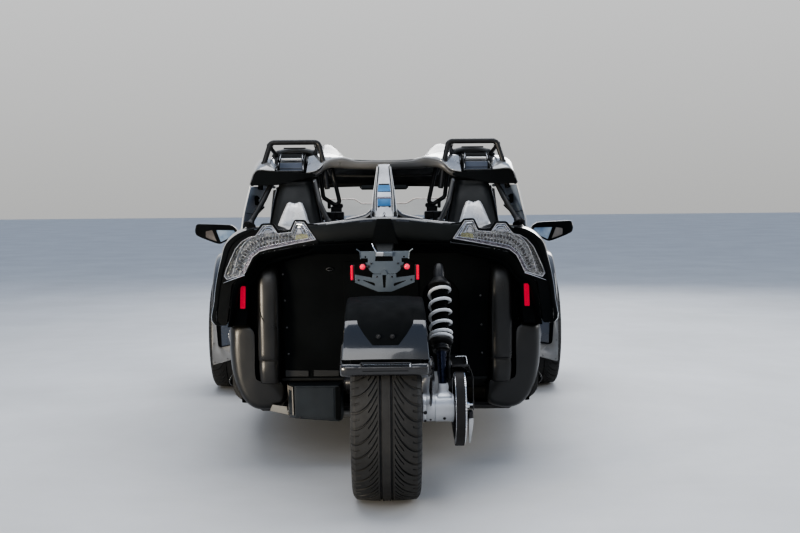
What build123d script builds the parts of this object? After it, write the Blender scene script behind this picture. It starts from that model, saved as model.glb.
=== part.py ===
"""Three wheeled open two-seat car: two steered front wheels, one driven rear wheel.

Frame: +Y forward, +X to the car's right, +Z up, origin on the ground at the centre of the
overall box. Millimetres. Pieces that come in pairs are drawn on the right and mirrored.
"""
from build123d import *

import os
from math import acos, atan2, cos, hypot, pi, radians, sin

os.makedirs("parts", exist_ok=True)

# ---------------------------------------------------------------- driving sizes
WHEELBASE = 2667.0
REAR_Y = -1557.0                 # rear axle
FRONT_Y = REAR_Y + WHEELBASE     # front axle
NOSE_Y = 1895.0                  # tip of the nose, so that the box is centred on the origin
TRACK_X = 877.0                  # half the front track
FRONT_R, FRONT_W, FRONT_RIM = 328.0, 225.0, 229.0    # tyre radius, width, bead radius
REAR_R, REAR_W, REAR_RIM = 338.0, 252.0, 254.0
KINGPIN_X = 820.0                # vertical steering axis
FIT = 0.4                        # gap between a turning piece and what carries it
SKIN = 12.0                      # body panel, outer and inner skin together
ARM_Y = 125.0                    # steering arm, ahead of the kingpin
RACK_Z = 250.0
HUB_X0, HUB_X1 = 134.0, 252.0    # swingarm hub housing
PULLEY_X0, PULLEY_X1 = 253.0, 293.0
PULLEY_R, BELT_T = 134.0, 6.0
DRIVE_Y, DRIVE_Z, DRIVE_R = -1012.0, 350.0, 52.0      # front pulley of the belt
SEAT_X = 322.0
TOP_Z = 1360.0                   # top of the roll hoops
WHEEL_TILT = 25.0                # steering wheel plane, from vertical
COLUMN = (-SEAT_X, 60.0, 770.0)  # centre of the steering wheel
PLATE_HOLES, PLATE_HOLE_R = 146.0, 3.5   # bolt holes for a number plate


# ---------------------------------------------------------------- sections
def ring_y(y, pts):
    """A closed outline of (x, z) points standing across the car at y."""
    with BuildSketch(Plane.XZ.offset(-y)) as s:
        with BuildLine():
            Polyline(*pts, close=True)
        make_face()
    return s.sketch


def ring_x(x, pts):
    """A closed outline of (y, z) points standing along the car at x."""
    with BuildSketch(Plane.YZ.offset(x)) as s:
        with BuildLine():
            Polyline(*pts, close=True)
        make_face()
    return s.sketch


def ring_z(z, pts):
    """A closed outline of (x, y) points lying at height z."""
    with BuildSketch(Plane.XY.offset(z)) as s:
        with BuildLine():
            Polyline(*pts, close=True)
        make_face()
    return s.sketch


def shell(pts, t):
    """An open polyline and its copy offset by t to its left, as one closed outline."""
    n = len(pts)
    normals = []
    for (ax, az), (bx, bz) in zip(pts, pts[1:]):
        d = hypot(bx - ax, bz - az)
        normals.append((-(bz - az) / d, (bx - ax) / d))
    inner = []
    for i, (x, z) in enumerate(pts):
        a = normals[max(i - 1, 0)]
        b = normals[min(i, n - 2)]
        mx, mz = a[0] + b[0], a[1] + b[1]
        k = t * 2 / (mx * mx + mz * mz)
        inner.append((x + mx * k, z + mz * k))
    return list(pts) + inner[::-1]


def arc_pts(cy, cz, r, a0, a1, n):
    """n + 1 points of an arc, angles in degrees."""
    return [(cy + r * cos(radians(a0 + (a1 - a0) * i / n)), cz + r * sin(radians(a0 + (a1 - a0) * i / n)))
            for i in range(n + 1)]


def tube(points, radii, r):
    """A round bar of radius r along straight runs joined by tangent arcs."""
    with BuildPart() as made:
        with BuildLine() as path:
            if len(points) > 2:
                FilletPolyline(*points, radius=radii)
            else:
                Line(*points)
        start = path.line @ 0
        with BuildSketch(Plane(origin=start, z_dir=path.line % 0)):
            Circle(r)
        sweep()
    return made.part


def write(part, label):
    part.label = label
    export_step(part, f"parts/{label}.step")


# ================================================================ wheels
# Tyre half outline, as (share of half width, height below the crown in mm, from the bead up)
def tyre(width, radius, bead, cx, cy):
    w = width / 2
    with BuildPart() as made:
        with BuildSketch(Plane.XY) as s:
            with BuildLine():
                Polyline((-w * 0.80, bead), (-w * 0.93, bead + 14), (-w, bead + (radius - bead) * 0.5))
                ThreePointArc((-w, bead + (radius - bead) * 0.5), (-w * 0.985, radius - 24), (-w * 0.86, radius - 6))
                ThreePointArc((-w * 0.86, radius - 6), (0, radius), (w * 0.86, radius - 6))
                ThreePointArc((w * 0.86, radius - 6), (w * 0.985, radius - 24), (w, bead + (radius - bead) * 0.5))
                Polyline((w, bead + (radius - bead) * 0.5), (w * 0.93, bead + 14), (w * 0.80, bead), (-w * 0.80, bead))
            make_face()
        revolve(axis=Axis.X)
    return made.part.moved(Location((cx, cy, radius)))


def rim(width, bead, hub_r, n_spokes, dish, side, bore):
    """A cast wheel about the X axis at the origin. dish: (x of the outer face at the hub, at the rim,
    thickness at the hub, at the rim). side is +1 when the outer face looks along +X."""
    w = width / 2
    xh, xr, th, tr = dish
    with BuildPart() as made:
        with BuildSketch(Plane.XY):
            with BuildLine():
                Polyline((-w * 0.90, bead - 0.3), (-w * 0.90, bead - 16), (-w * 0.55, bead - 26), (w * 0.60, bead - 26),
                         (w * 0.90, bead - 14), (w * 0.90, bead - 0.3), close=True)
            make_face()
        revolve(axis=Axis.X)
        with BuildPart(mode=Mode.PRIVATE) as spokes:
            with BuildSketch(Plane.XY):
                with BuildLine():
                    Polyline((xh - th, bore), (xh, bore), (xh, hub_r), (xr, bead - 20), (xr - tr, bead - 20),
                             (xh - th, hub_r), close=True)
                make_face()
            revolve(axis=Axis.X)
            with BuildSketch(Plane.YZ.offset(-w)):
                Circle(hub_r)
                Circle(bore, mode=Mode.SUBTRACT)
                with PolarLocations(0, n_spokes):
                    with BuildLine():
                        Polyline((hub_r * 0.6, 8), (bead - 16, 30), (bead - 16, 12), (hub_r, 2), (hub_r, -2),
                                 (bead - 16, -12), (bead - 16, -30), (hub_r * 0.6, -8), close=True)
                    make_face()
            extrude(amount=width, mode=Mode.INTERSECT)
        add(spokes.part)
    turned = made.part if side > 0 else made.part.mirror(Plane.YZ)
    return turned


front_rim = rim(215, FRONT_RIM, 62, 5, (22, 72, 22, 16), 1, 20)
rear_rim_shape = rim(240, REAR_RIM, 66, 5, (20, 84, 26, 18), -1, 20)

for name, s in (("right", 1), ("left", -1)):
    write(tyre(FRONT_W, FRONT_R, FRONT_RIM, s * TRACK_X, FRONT_Y), f"{name}_front_tyre")
    body = front_rim if s > 0 else front_rim.mirror(Plane.YZ)
    write(body.moved(Location((s * TRACK_X, FRONT_Y, FRONT_R))), f"{name}_front_rim")
    # disc with its hat and the hub that the rim bolts to; the bore carries the spindle
    with BuildPart() as disc:
        with BuildSketch(Plane.YZ):
            Circle(120)
        extrude(amount=12)
        with BuildSketch(Plane.YZ.offset(12)):
            Circle(58)
        extrude(amount=19)
        with BuildSketch(Plane.YZ):
            Circle(18)
        extrude(amount=40, mode=Mode.SUBTRACT)
    d = disc.part.moved(Location((-33, 0, 0)))
    d = d if s > 0 else d.mirror(Plane.YZ)
    write(d.moved(Location((s * TRACK_X, FRONT_Y, FRONT_R))), f"{name}_brake_disc")
    # upright: post on the kingpin, spindle, steering arm, caliper
    with BuildPart() as upright:
        with Locations((KINGPIN_X, FRONT_Y, FRONT_R)):
            Box(36, 52, 222)
            Cylinder(21, 250)
        with BuildSketch(Plane.YZ.offset(KINGPIN_X)):
            with Locations((FRONT_Y, FRONT_R)):
                Circle(44)
        extrude(amount=20)
        with BuildSketch(Plane.YZ.offset(KINGPIN_X)):
            with Locations((FRONT_Y, FRONT_R)):
                Circle(18 - FIT)
        extrude(amount=78)
        with BuildSketch(Plane.XY.offset(RACK_Z - 31)):
            with BuildLine():
                Polyline((KINGPIN_X - 18, FRONT_Y), (KINGPIN_X - 14, FRONT_Y + ARM_Y), (KINGPIN_X + 14, FRONT_Y + ARM_Y),
                         (KINGPIN_X + 18, FRONT_Y), close=True)
            make_face()
            with Locations((KINGPIN_X, FRONT_Y + ARM_Y)):
                Circle(15)
        extrude(amount=17)
        # caliper straddles the disc behind the axle
        with BuildSketch(Plane.YZ.offset(KINGPIN_X + 8)):
            with BuildLine():
                Polyline(*[(FRONT_Y + 134 * cos(radians(a)), FRONT_R + 134 * sin(radians(a))) for a in (153, 167, 180, 193, 207)],
                         *[(FRONT_Y + 84 * cos(radians(a)), FRONT_R + 84 * sin(radians(a))) for a in (207, 180, 153)], close=True)
            make_face()
        extrude(amount=48)
        with BuildSketch(Plane.YZ.offset(TRACK_X - 33 - 4)):
            with Locations((FRONT_Y, FRONT_R)):
                Circle(125)
        extrude(amount=20, mode=Mode.SUBTRACT)
        with Locations((KINGPIN_X + 6, FRONT_Y - 62, FRONT_R)):
            Box(30, 80, 60)
    u = upright.part if s > 0 else upright.part.mirror(Plane.YZ)
    write(u, f"{name}_steering_knuckle")

write(tyre(REAR_W, REAR_R, REAR_RIM, 0, REAR_Y), "rear_tyre")
write(rear_rim_shape.moved(Location((0, REAR_Y, REAR_R))), "rear_rim")
# axle with the disc, its hub flange and the driven pulley, all turning in the swingarm
with BuildPart() as rear_axle:
    for x0, x1, r in ((-45, 300, 20 - FIT), (6.4, 60, 58), (60, 98, 34), (98, 108, 130), (PULLEY_X0, PULLEY_X1, 60)):
        with BuildSketch(Plane.YZ.offset(x0)):
            Circle(r)
        extrude(amount=x1 - x0)
    with BuildSketch(Plane.YZ.offset(PULLEY_X0)):
        Circle(PULLEY_R)
        Circle(PULLEY_R - 16, mode=Mode.SUBTRACT)
    extrude(amount=PULLEY_X1 - PULLEY_X0)
    with BuildSketch(Plane.YZ.offset(PULLEY_X0 + 12)):
        with PolarLocations(0, 5):
            with Locations((88, 0)):
                Rectangle(76, 30)
    extrude(amount=16)
write(rear_axle.part.moved(Location((0, REAR_Y, REAR_R))), "rear_axle_pulley")

# ================================================================ rear suspension and drive
with BuildPart() as arm:
    # hub housing
    with BuildSketch(Plane.YZ.offset(HUB_X0)):
        with Locations((REAR_Y, REAR_R)):
            Circle(51)
    extrude(amount=HUB_X1 - HUB_X0)
    # beam from the hub to the pivot, clear of the tyre
    loft([
        ring_y(REAR_Y + 20, [(140, 296), (238, 296), (238, 382), (140, 382)]),
        ring_y(-1230, [(140, 262), (238, 262), (238, 410), (140, 410)]),
        ring_y(-1165, [(40, 262), (238, 262), (238, 415), (40, 415)]),
        ring_y(DRIVE_Y, [(-150, 305), (238, 305), (238, 395), (-150, 395)]),
    ], ruled=True)
    with BuildSketch(Plane.YZ.offset(-175)):
        with Locations((DRIVE_Y, DRIVE_Z)):
            Circle(48)
    extrude(amount=415)
    # lug that takes the damper's foot
    with BuildSketch(Plane.XZ.offset(1520)):
        with BuildLine():
            Polyline((176, 370), (246, 370), (232, 425), (190, 425), close=True)
        make_face()
    extrude(amount=40)
    with BuildSketch(Plane.YZ.offset(HUB_X0 - 20)):
        with Locations((REAR_Y, REAR_R)):
            Circle(21)
    extrude(amount=200, mode=Mode.SUBTRACT)
    # caliper bracket over the disc
    with Locations((129, REAR_Y + 110, REAR_R)):
        Box(38, 60, 70)
write(arm.part, "rear_swingarm")

DAMPER_FOOT, DAMPER_HEAD = (211, -1538, 426), (211, -1268, 850)
axis_len = hypot(DAMPER_HEAD[1] - DAMPER_FOOT[1], DAMPER_HEAD[2] - DAMPER_FOOT[2])
damper_dir = ((0, (DAMPER_HEAD[1] - DAMPER_FOOT[1]) / axis_len, (DAMPER_HEAD[2] - DAMPER_FOOT[2]) / axis_len))
damper_plane = Plane(origin=DAMPER_FOOT, x_dir=(1, 0, 0), z_dir=damper_dir)
with BuildPart() as damper:
    # along the damper: from, to, radius
    for a, b, r in ((0, 30, 15), (30, 150, 19), (132, 142, 33), (150, 430, 11), (150, 168, 36), (168, 182, 44),
                    (454, 470, 44), (430, axis_len, 22)):
        with BuildSketch(damper_plane.offset(a)):
            Circle(r)
        extrude(amount=b - a)
write(damper.part, "rear_damper")
with BuildPart() as spring:
    with BuildLine():
        Helix(pitch=47.5, height=250, radius=39.5, center=(0, 0, 0), direction=(0, 0, 1))
    with BuildSketch(Plane(origin=(39.5, 0, 0), z_dir=(0, 1, 0.1913))):
        Circle(6.6)
    sweep()
write(spring.part.moved(Location(damper_plane.offset(191))), "rear_spring")

# toothed belt, one closed loop round both pulleys
gap = 0.6
cy, cz = DRIVE_Y - REAR_Y, DRIVE_Z - REAR_R
span = hypot(cy, cz)


def belt_loop(r_rear, r_front):
    """Corners of the loop round both pulleys: tangent points and the far points of its arcs."""
    base, off = atan2(cz, cy), acos((r_rear - r_front) / span)
    rear = lambda a: (REAR_Y + r_rear * cos(a), REAR_R + r_rear * sin(a))
    front = lambda a: (DRIVE_Y + r_front * cos(a), DRIVE_Z + r_front * sin(a))
    return rear(base + off), front(base + off), front(base), front(base - off), rear(base - off), rear(base + pi)


with BuildPart() as belt:
    with BuildSketch(Plane.YZ.offset(PULLEY_X0 + 3)):
        for extra, mode in ((gap + BELT_T, Mode.ADD), (gap, Mode.SUBTRACT)):
            p0, p1, p2, p3, p4, p5 = belt_loop(PULLEY_R + extra, DRIVE_R + extra)
            with BuildLine():
                Line(p0, p1)
                ThreePointArc(p1, p2, p3)
                Line(p3, p4)
                ThreePointArc(p4, p5, p0)
            make_face(mode=mode)
    extrude(amount=PULLEY_X1 - PULLEY_X0 - 6)
write(belt.part, "drive_belt")
with BuildPart() as drive_pulley:
    with BuildSketch(Plane.YZ.offset(PULLEY_X0 + 3)):
        with Locations((DRIVE_Y, DRIVE_Z)):
            Circle(DRIVE_R)
    extrude(amount=PULLEY_X1 - PULLEY_X0 - 6)
    with BuildSketch(Plane.YZ.offset(240)):
        with Locations((DRIVE_Y, DRIVE_Z)):
            Circle(26)
    extrude(amount=PULLEY_X0 + 4 - 240)
write(drive_pulley.part, "front_pulley")
with BuildPart() as guard:
    # plate outside the belt, bent over its top run
    with BuildSketch(Plane.YZ.offset(304)):
        with BuildLine():
            Polyline(*arc_pts(REAR_Y, REAR_R, 158, 128, 60, 5), (-1180, 480), (-1180, 440), *arc_pts(REAR_Y, REAR_R, 118, 60, 128, 5), close=True)
        make_face()
    extrude(amount=6)
    with BuildSketch(Plane.YZ.offset(246)):
        with BuildLine():
            Polyline(*shell([(-1180, 480), *arc_pts(REAR_Y, REAR_R, 158, 60, 128, 5)], 5), close=True)
        make_face()
    extrude(amount=64)
    # blade that carries the guard and hangs beside the axle's end
    with BuildSketch(Plane.YZ.offset(304)):
        with BuildLine():
            Polyline((REAR_Y - 8, 486), (REAR_Y + 30, 486), (REAR_Y + 34, 330), (REAR_Y + 14, 190), (REAR_Y - 6, 190), (REAR_Y - 20, 330), close=True)
        make_face()
    extrude(amount=8)
write(guard.part, "belt_guard")

# rear mudguard: arch over the tyre with side cheeks, and its rear band
with BuildPart() as mudguard:
    outer = [(-1873, 556), (-1822, 655), (-1735, 728), (-1600, 752), (-1440, 742), (-1330, 690), (-1262, 600)]
    loft([ring_x(-152, shell(outer, -9)), ring_x(152, shell(outer, -9))], ruled=True)
    for x in (-158, 149):
        with BuildSketch(Plane.YZ.offset(x)):
            with BuildLine():
                Polyline(*outer, (-1290, 585), (-1355, 655), (-1450, 694), (-1595, 700), (-1715, 672), (-1784, 612), (-1822, 560), close=True)
            make_face()
        extrude(amount=9)
    # lower band across the back
    with BuildSketch(Plane.YZ.offset(-158)):
        with BuildLine():
            Polyline((-1888, 514), (-1895, 551), (-1874, 557), (-1847, 543), (-1856, 522), (-1872, 510), close=True)
        make_face()
    extrude(amount=316)
write(mudguard.part, "rear_mudguard")

# ================================================================ tub
# side sills: (y, outline of x, z). Their rear ends are the rounded pods beside the rear wheel.
SILLS = [
    # y, inner x, outer x, bottom z, top inner z, top outer z, bottom bevel
    (-960, 562, 655, 228, 604, 594, 84),
    (-700, 562, 660, 216, 585, 575, 84),
    (-300, 562, 690, 185, 545, 520, 56),
    (150, 562, 706, 168, 560, 528, 50),
    (560, 562, 690, 165, 620, 560, 46),
]
# rear end face of the pod behind the bulkhead: the inner shelf carries the rounded column
POD = [(421, 262), (436, 240), (505, 227), (560, 238), (600, 272), (632, 322), (648, 390), (652, 480), (648, 586), (618, 600), (562, 604), (562, 345), (421, 345)]
with BuildPart() as sills:
    loft([ring_y(y, [(xi, zb + 6), (xi + 6, zb), (xo - bv, zb), (xo - bv * 0.3, zb + bv * 0.3), (xo, zb + bv), (xo, zo - 70),
                     (xo - 34, zo), (xi, zt)])
          for y, xi, xo, zb, zt, zo, bv in SILLS], ruled=True)
    loft([ring_y(-960, POD), ring_y(-992, POD), ring_y(-1006, [(x + (535 - x) * 0.06, z + (420 - z) * 0.05) for x, z in POD])], ruled=True)
    mirror(about=Plane.YZ)
write(sills.part, "side_sills")

with BuildPart() as floor_pan:
    with BuildSketch(Plane.YZ.offset(-548)):
        with BuildLine():
            Polyline((574, 168), (574, 182), (-645, 182), (-880, 240), (-880, 226), (-645, 168), close=True)
        make_face()
    extrude(amount=1096)
    # tunnel between the seats, and the wall ahead of the footwells
    loft([ring_y(-640, [(-78, 180), (78, 180), (66, 430), (-66, 430)]),
          ring_y(0, [(-92, 180), (92, 180), (74, 470), (-74, 470)]),
          ring_y(330, [(-120, 180), (120, 180), (92, 598), (-92, 598)])], ruled=True)
    with BuildSketch(Plane.XZ.offset(-562)):
        with BuildLine():
            Polyline((-548, 175), (548, 175), (590, 640), (585, 820), (300, 858), (-300, 858), (-585, 820), (-590, 640), close=True)
        make_face()
    extrude(amount=-12)
write(floor_pan.part, "floor_and_tunnel")

with BuildPart() as bulkhead:
    # wall behind the seats with the two rounded columns beside the wheel well
    with BuildSketch(Plane.XY.offset(322)):
        with BuildLine():
            Polyline((-418, -960), (-418, -925), (418, -925), (418, -960), close=True)
        make_face()
    extrude(amount=560)
    with BuildSketch(Plane.XY.offset(346)):
        with Locations((0, -942.5)):
            Rectangle(1116, 35)
    extrude(amount=536)
    for s in (-1, 1):
        with BuildSketch(Plane.XY.offset(350)):
            with Locations((s * 480, -1000)):
                RectangleRounded(84, 82, 38)
        extrude(amount=96)
        with BuildSketch(Plane.XY.offset(446)):
            with Locations((s * 480, -1003)):
                RectangleRounded(92, 88, 40)
        extrude(amount=374)
    # arched recess behind the spring and the belt, and the low tunnel under the wall
    with BuildSketch(Plane.XZ.offset(920)):
        with Locations((0, 322)):
            Rectangle(840, 60)
        with Locations((234, 512)):
            Rectangle(150, 380)
        with Locations((234, 700)):
            Circle(75)
    extrude(amount=100, mode=Mode.SUBTRACT)
    # liner that closes the arched recess
    with BuildSketch(Plane.XZ.offset(919)):
        with Locations((234, 532)):
            Rectangle(146, 336)
        with Locations((234, 700)):
            Circle(73)
    extrude(amount=7)
write(bulkhead.part, "rear_bulkhead")

with BuildPart() as silencer:
    loft([ring_y(-1062, [(-377, 346), (-377, 212), (-192, 196), (-192, 346)]),
          ring_y(-1012, [(-402, 346), (-402, 208), (-180, 190), (-180, 346)]),
          ring_y(-890, [(-408, 346), (-408, 200), (-180, 188), (-180, 346)])], ruled=True)
write(silencer.part, "silencer_box")

# ---------------------------------------------------------------- rear deck and shoulders
# beam across the back: (x, outline of y, z), drawn on the right and mirrored
with BuildPart() as deck:
    loft([
        ring_x(0, [(-850, 965), (-850, 1010), (-1150, 1022), (-1205, 1008), (-1222, 958), (-1150, 925), (-965, 885)]),
        ring_x(60, [(-850, 965), (-850, 1012), (-1150, 1020), (-1205, 1008), (-1225, 962), (-1150, 925), (-965, 885)]),
        ring_x(284, [(-850, 950), (-850, 998), (-1130, 1004), (-1180, 992), (-1202, 945), (-1140, 905), (-965, 885)]),
    ], ruled=True)
    loft([ring_x(284, [(-850, 950), (-850, 998), (-1004, 1001), (-1004, 890), (-965, 885)]),
          ring_x(568, [(-850, 940), (-850, 986), (-1004, 986), (-1004, 885), (-965, 882)])], ruled=True)
    mirror(about=Plane.YZ)
    # notch under the centre fin
    with BuildSketch(Plane.XZ.offset(1180)):
        with BuildLine():
            Polyline((-30, 1040), (30, 1040), (44, 950), (-44, 950), close=True)
        make_face()
    extrude(amount=80, mode=Mode.SUBTRACT)
write(deck.part, "rear_deck")

# arch panel that carries the lamp: outline seen from behind, extruded and cut to a raked, swept rear face
CORNER = [(300, 1004), (330, 1012), (352, 1018), (385, 985), (432, 985), (462, 1012), (490, 1008), (560, 985), (632, 940), (672, 850), (694, 740),
          (712, 612), (628, 606), (606, 690), (592, 770), (560, 820), (470, 868), (300, 905)]
with BuildPart() as corner:
    with BuildSketch(Plane.XZ.offset(1006)):
        with BuildLine():
            Polyline(*CORNER, close=True)
        make_face()
    extrude(amount=220)
    # rear face swept forward towards the outside
    split(bisect_by=Plane(origin=(300, -1192, 900), x_dir=(0, 0, 1), z_dir=(-0.30, 1, -0.12)), keep=Keep.TOP)
    # tab for the reflector
    with Locations((592, -1040, 712)):
        Box(44, 8, 88)
    mirror(about=Plane.YZ)
write(corner.part, "rear_corner_panels")

LAMP = [(286, 951), (334, 1003), (354, 1004), (378, 968), (440, 970), (462, 998), (492, 994), (520, 966), (565, 940), (612, 885), (650, 790),
        (568, 812), (545, 868), (500, 906), (420, 930), (340, 940)]
with BuildPart() as lamps:
    with BuildSketch(Plane.XZ.offset(1006)):
        with BuildLine():
            Polyline(*LAMP, close=True)
        make_face()
    extrude(amount=300)
    split(bisect_by=Plane(origin=(300, -1212, 900), x_dir=(0, 0, 1), z_dir=(-0.30, 1, -0.12)), keep=Keep.TOP)
    split(bisect_by=Plane(origin=(300, -1192.3, 900), x_dir=(0, 0, 1), z_dir=(-0.30, 1, -0.12)), keep=Keep.BOTTOM)
    mirror(about=Plane.YZ)
write(lamps.part, "tail_lamps")

# glossy quarter panels from the cockpit to the lamps: y, inner x, top z, outer shoulder x and z, widest x and z, low z
QUARTERS = [
    (-1085, 640, 905, 672, 860, 726, 640, 600),
    (-950, 575, 985, 652, 925, 731, 650, 594),
    (-700, 580, 985, 650, 925, 736, 650, 588),
    (-420, 590, 905, 655, 860, 735, 650, 575),
    (-140, 600, 700, 660, 680, 724, 620, 562),
    (60, 610, 612, 655, 606, 712, 590, 548),
]
with BuildPart() as quarters:
    loft([ring_y(y, [(xi, zt), (xs, zs), (xw, zw), (xw - 14, zl), (xw - 60, zl), (xw - 52, zw), (xs - 40, zs - 30), (xi, zt - 34)])
          for y, xi, zt, xs, zs, xw, zw, zl in QUARTERS[1:]], ruled=True)
    mirror(about=Plane.YZ)
write(quarters.part, "rear_quarter_panels")

with BuildPart() as reflectors:
    with BuildSketch(Plane.XZ.offset(1045)):
        with Locations((580, 712)):
            Rectangle(22, 95)
    extrude(amount=14)
    mirror(about=Plane.YZ)
write(reflectors.part, "red_reflectors")

# ================================================================ roll hoops, fairings, roof
HOOP_X = 385.0
with BuildPart() as hoops:
    r = 11.0
    add(tube([(HOOP_X - 145, -835, 1150), (HOOP_X - 128, -815, 1265), (HOOP_X - 108, -800, TOP_Z - r), (HOOP_X + 96, -800, TOP_Z - r),
              (HOOP_X + 122, -815, 1265), (HOOP_X + 140, -835, 1150)], [60, 22, 22, 60], r))
    add(tube([(HOOP_X - 108, -632, 1250), (HOOP_X - 88, -625, 1308), (HOOP_X + 88, -625, 1308), (HOOP_X + 108, -632, 1250)],
             [24, 24], 14))
    for s in (-1, 1):
        add(tube([(HOOP_X + s * 104, -800, 1338), (HOOP_X + s * 84, -625, 1296)], None, 9))
        add(tube([(HOOP_X + s * 122, -815, 1268), (HOOP_X + s * 106, -632, 1256)], None, 9))
        # braces from the fairing's head out and back to the deck
    add(tube([(475, -850, 1176), (503, -895, 1110), (557, -975, 1008)], [60], 11))
    add(tube([(291, -884, 1184), (266, -972, 1090), (226, -1022, 1009)], [60], 11))
    # open loop beside each fairing, and the front posts of the roof, standing on the cowl
    add(tube([(230, -738, 1262), (186, -738, 1064), (262, -738, 1112), (278, -738, 1236)], [16, 20], 9))
    add(tube([(562, 350, 1138), (598, 440, 900)], None, 13))
    mirror(about=Plane.YZ)
write(hoops.part, "roof_tubes")

# fairing behind each seat: z, inner x, outer x, front y, rear y
FAIRING = [(1010, 258, 472, -760, -1000), (1090, 276, 460, -772, -950), (1150, 290, 450, -785, -900), (1182, 300, 440, -800, -866)]
with BuildPart() as fairings:
    loft([ring_z(z, [(xi, yf), (xo, yf), (xo, yr + 30), (xo - 26, yr), (xi + 26, yr), (xi, yr + 30)]) for z, xi, xo, yf, yr in FAIRING], ruled=True)
    mirror(about=Plane.YZ)
write(fairings.part, "headrest_fairings")

# roof: cross sections of the right half, (y, list of x, z of the outer skin, from the centre seam out)
ROOF = [
    (-835, [(176, 1278), (212, 1276), (250, 1256), (290, 1216), (330, 1218), (445, 1224), (536, 1231), (558, 1168)]),
    (-700, [(176, 1280), (212, 1284), (250, 1290), (285, 1291), (330, 1290), (470, 1288), (548, 1258), (576, 1178)]),
    (-350, [(176, 1284), (206, 1312), (244, 1348), (285, 1347), (325, 1314), (470, 1304), (562, 1262), (598, 1178)]),
    (50, [(176, 1262), (212, 1274), (250, 1290), (285, 1292), (325, 1288), (470, 1278), (562, 1236), (602, 1170)]),
    (400, [(176, 1196), (212, 1200), (250, 1204), (285, 1205), (330, 1206), (470, 1200), (552, 1184), (580, 1160)]),
]
with BuildPart() as roof:
    loft([ring_y(y, shell(pts, -SKIN)) for y, pts in ROOF], ruled=True)
    # openings that the hoops stand through
    with BuildSketch(Plane.XY.offset(1000)):
        with Locations((HOOP_X, -748)):
            Rectangle(330, 300)
    extrude(amount=500, mode=Mode.SUBTRACT)
    # band across the back of each opening, and the header beam under the front end
    with BuildSketch(Plane.XZ.offset(884)):
        with BuildLine():
            Polyline((290, 1203), (290, 1214), (445, 1224), (535, 1231), (555, 1168), (450, 1168), (380, 1184), close=True)
        make_face()
    extrude(amount=10)
    with Locations((542, -861, 1199)):
        Box(10, 66, 58)
    with Locations((214, 388, 1178)):
        Box(76, 24, 40)
    mirror(about=Plane.YZ)
write(roof.part, "roof_side_panels")
with BuildPart() as roof_centre:
    loft([ring_y(y, shell([(-173, z), (-60, z - d), (60, z - d), (173, z)], -SKIN)) for y, z, d in
          ((-835, 1276, 10), (-700, 1281, 12), (-350, 1282, 14), (50, 1260, 12), (400, 1196, 8))], ruled=True)
    with Locations((0, 388, 1170)):
        Box(346, 24, 40)
write(roof_centre.part, "roof_centre_panel")

with BuildPart() as fin:
    loft([
        ring_z(1024, [(-52, -1195), (52, -1195), (48, -900), (-48, -900)]),
        ring_z(1120, [(-42, -1110), (42, -1110), (38, -870), (-38, -870)]),
        ring_z(1250, [(-27, -985), (27, -985), (24, -850), (-24, -850)]),
    ], ruled=True)
write(fin.part, "centre_fin")

with BuildPart() as side_windows:
    # they run inwards going forward, and their lower edge rises with the hoop's brace
    loft([ring_y(-930, [(590, 992), (596, 992), (560, 1160), (554, 1160)]),
          ring_y(-656, [(526, 1072), (532, 1072), (520, 1163), (514, 1163)])], ruled=True)
    mirror(about=Plane.YZ)
write(side_windows.part, "roof_side_windows")

# ================================================================ cockpit
with BuildPart() as seats:
    # cushion and back of one seat, each with raised bolsters
    loft([ring_y(-215, [(SEAT_X - 225, 200), (SEAT_X + 225, 200), (SEAT_X + 215, 345), (SEAT_X + 165, 350), (SEAT_X + 120, 318), (SEAT_X - 120, 318),
                        (SEAT_X - 165, 350), (SEAT_X - 215, 345)]),
          ring_y(-640, [(SEAT_X - 215, 190), (SEAT_X + 215, 190), (SEAT_X + 215, 330), (SEAT_X + 165, 345), (SEAT_X + 120, 268), (SEAT_X - 120, 268),
                        (SEAT_X - 165, 345), (SEAT_X - 215, 330)])], ruled=True)
    mirror(about=Plane.YZ)
write(seats.part, "seat_cushions")
with BuildPart() as backs:
    loft([ring_z(275, [(SEAT_X - 215, -815), (SEAT_X + 215, -815), (SEAT_X + 222, -650), (SEAT_X + 165, -645), (SEAT_X + 130, -700), (SEAT_X - 130, -700),
                       (SEAT_X - 165, -645), (SEAT_X - 222, -650)]),
          ring_z(700, [(SEAT_X - 215, -895), (SEAT_X + 215, -895), (SEAT_X + 228, -690), (SEAT_X + 175, -680), (SEAT_X + 135, -795), (SEAT_X - 135, -795),
                       (SEAT_X - 175, -680), (SEAT_X - 228, -690)]),
          ring_z(860, [(SEAT_X - 150, -905), (SEAT_X + 150, -905), (SEAT_X + 150, -835), (SEAT_X + 120, -815), (SEAT_X + 100, -825), (SEAT_X - 100, -825),
                       (SEAT_X - 120, -815), (SEAT_X - 150, -835)])], ruled=True)
    mirror(about=Plane.YZ)
write(backs.part, "seat_backs")

tilt = radians(WHEEL_TILT)
wheel_plane = Plane(origin=COLUMN, x_dir=(1, 0, 0), z_dir=(0, -cos(tilt), sin(tilt)))
with BuildPart() as dash:
    loft([ring_x(-545, [(300, 640), (240, 700), (235, 790), (300, 850), (470, 880), (470, 640)]),
          ring_x(-150, [(290, 630), (225, 700), (215, 800), (290, 880), (470, 905), (470, 620)]),
          ring_x(0, [(300, 602), (235, 690), (225, 790), (300, 872), (470, 910), (470, 602)]),
          ring_x(150, [(290, 630), (225, 700), (215, 790), (290, 868), (470, 905), (470, 620)]),
          ring_x(545, [(300, 640), (240, 700), (235, 780), (300, 840), (470, 880), (470, 640)])], ruled=True)
    # column shroud and the steering shaft in it
    with BuildSketch(wheel_plane.offset(-23)):
        Circle(17)
    extrude(amount=-260)
    with BuildSketch(wheel_plane.offset(-40)):
        Circle(40)
    extrude(amount=-170)
write(dash.part, "dashboard")

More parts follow.
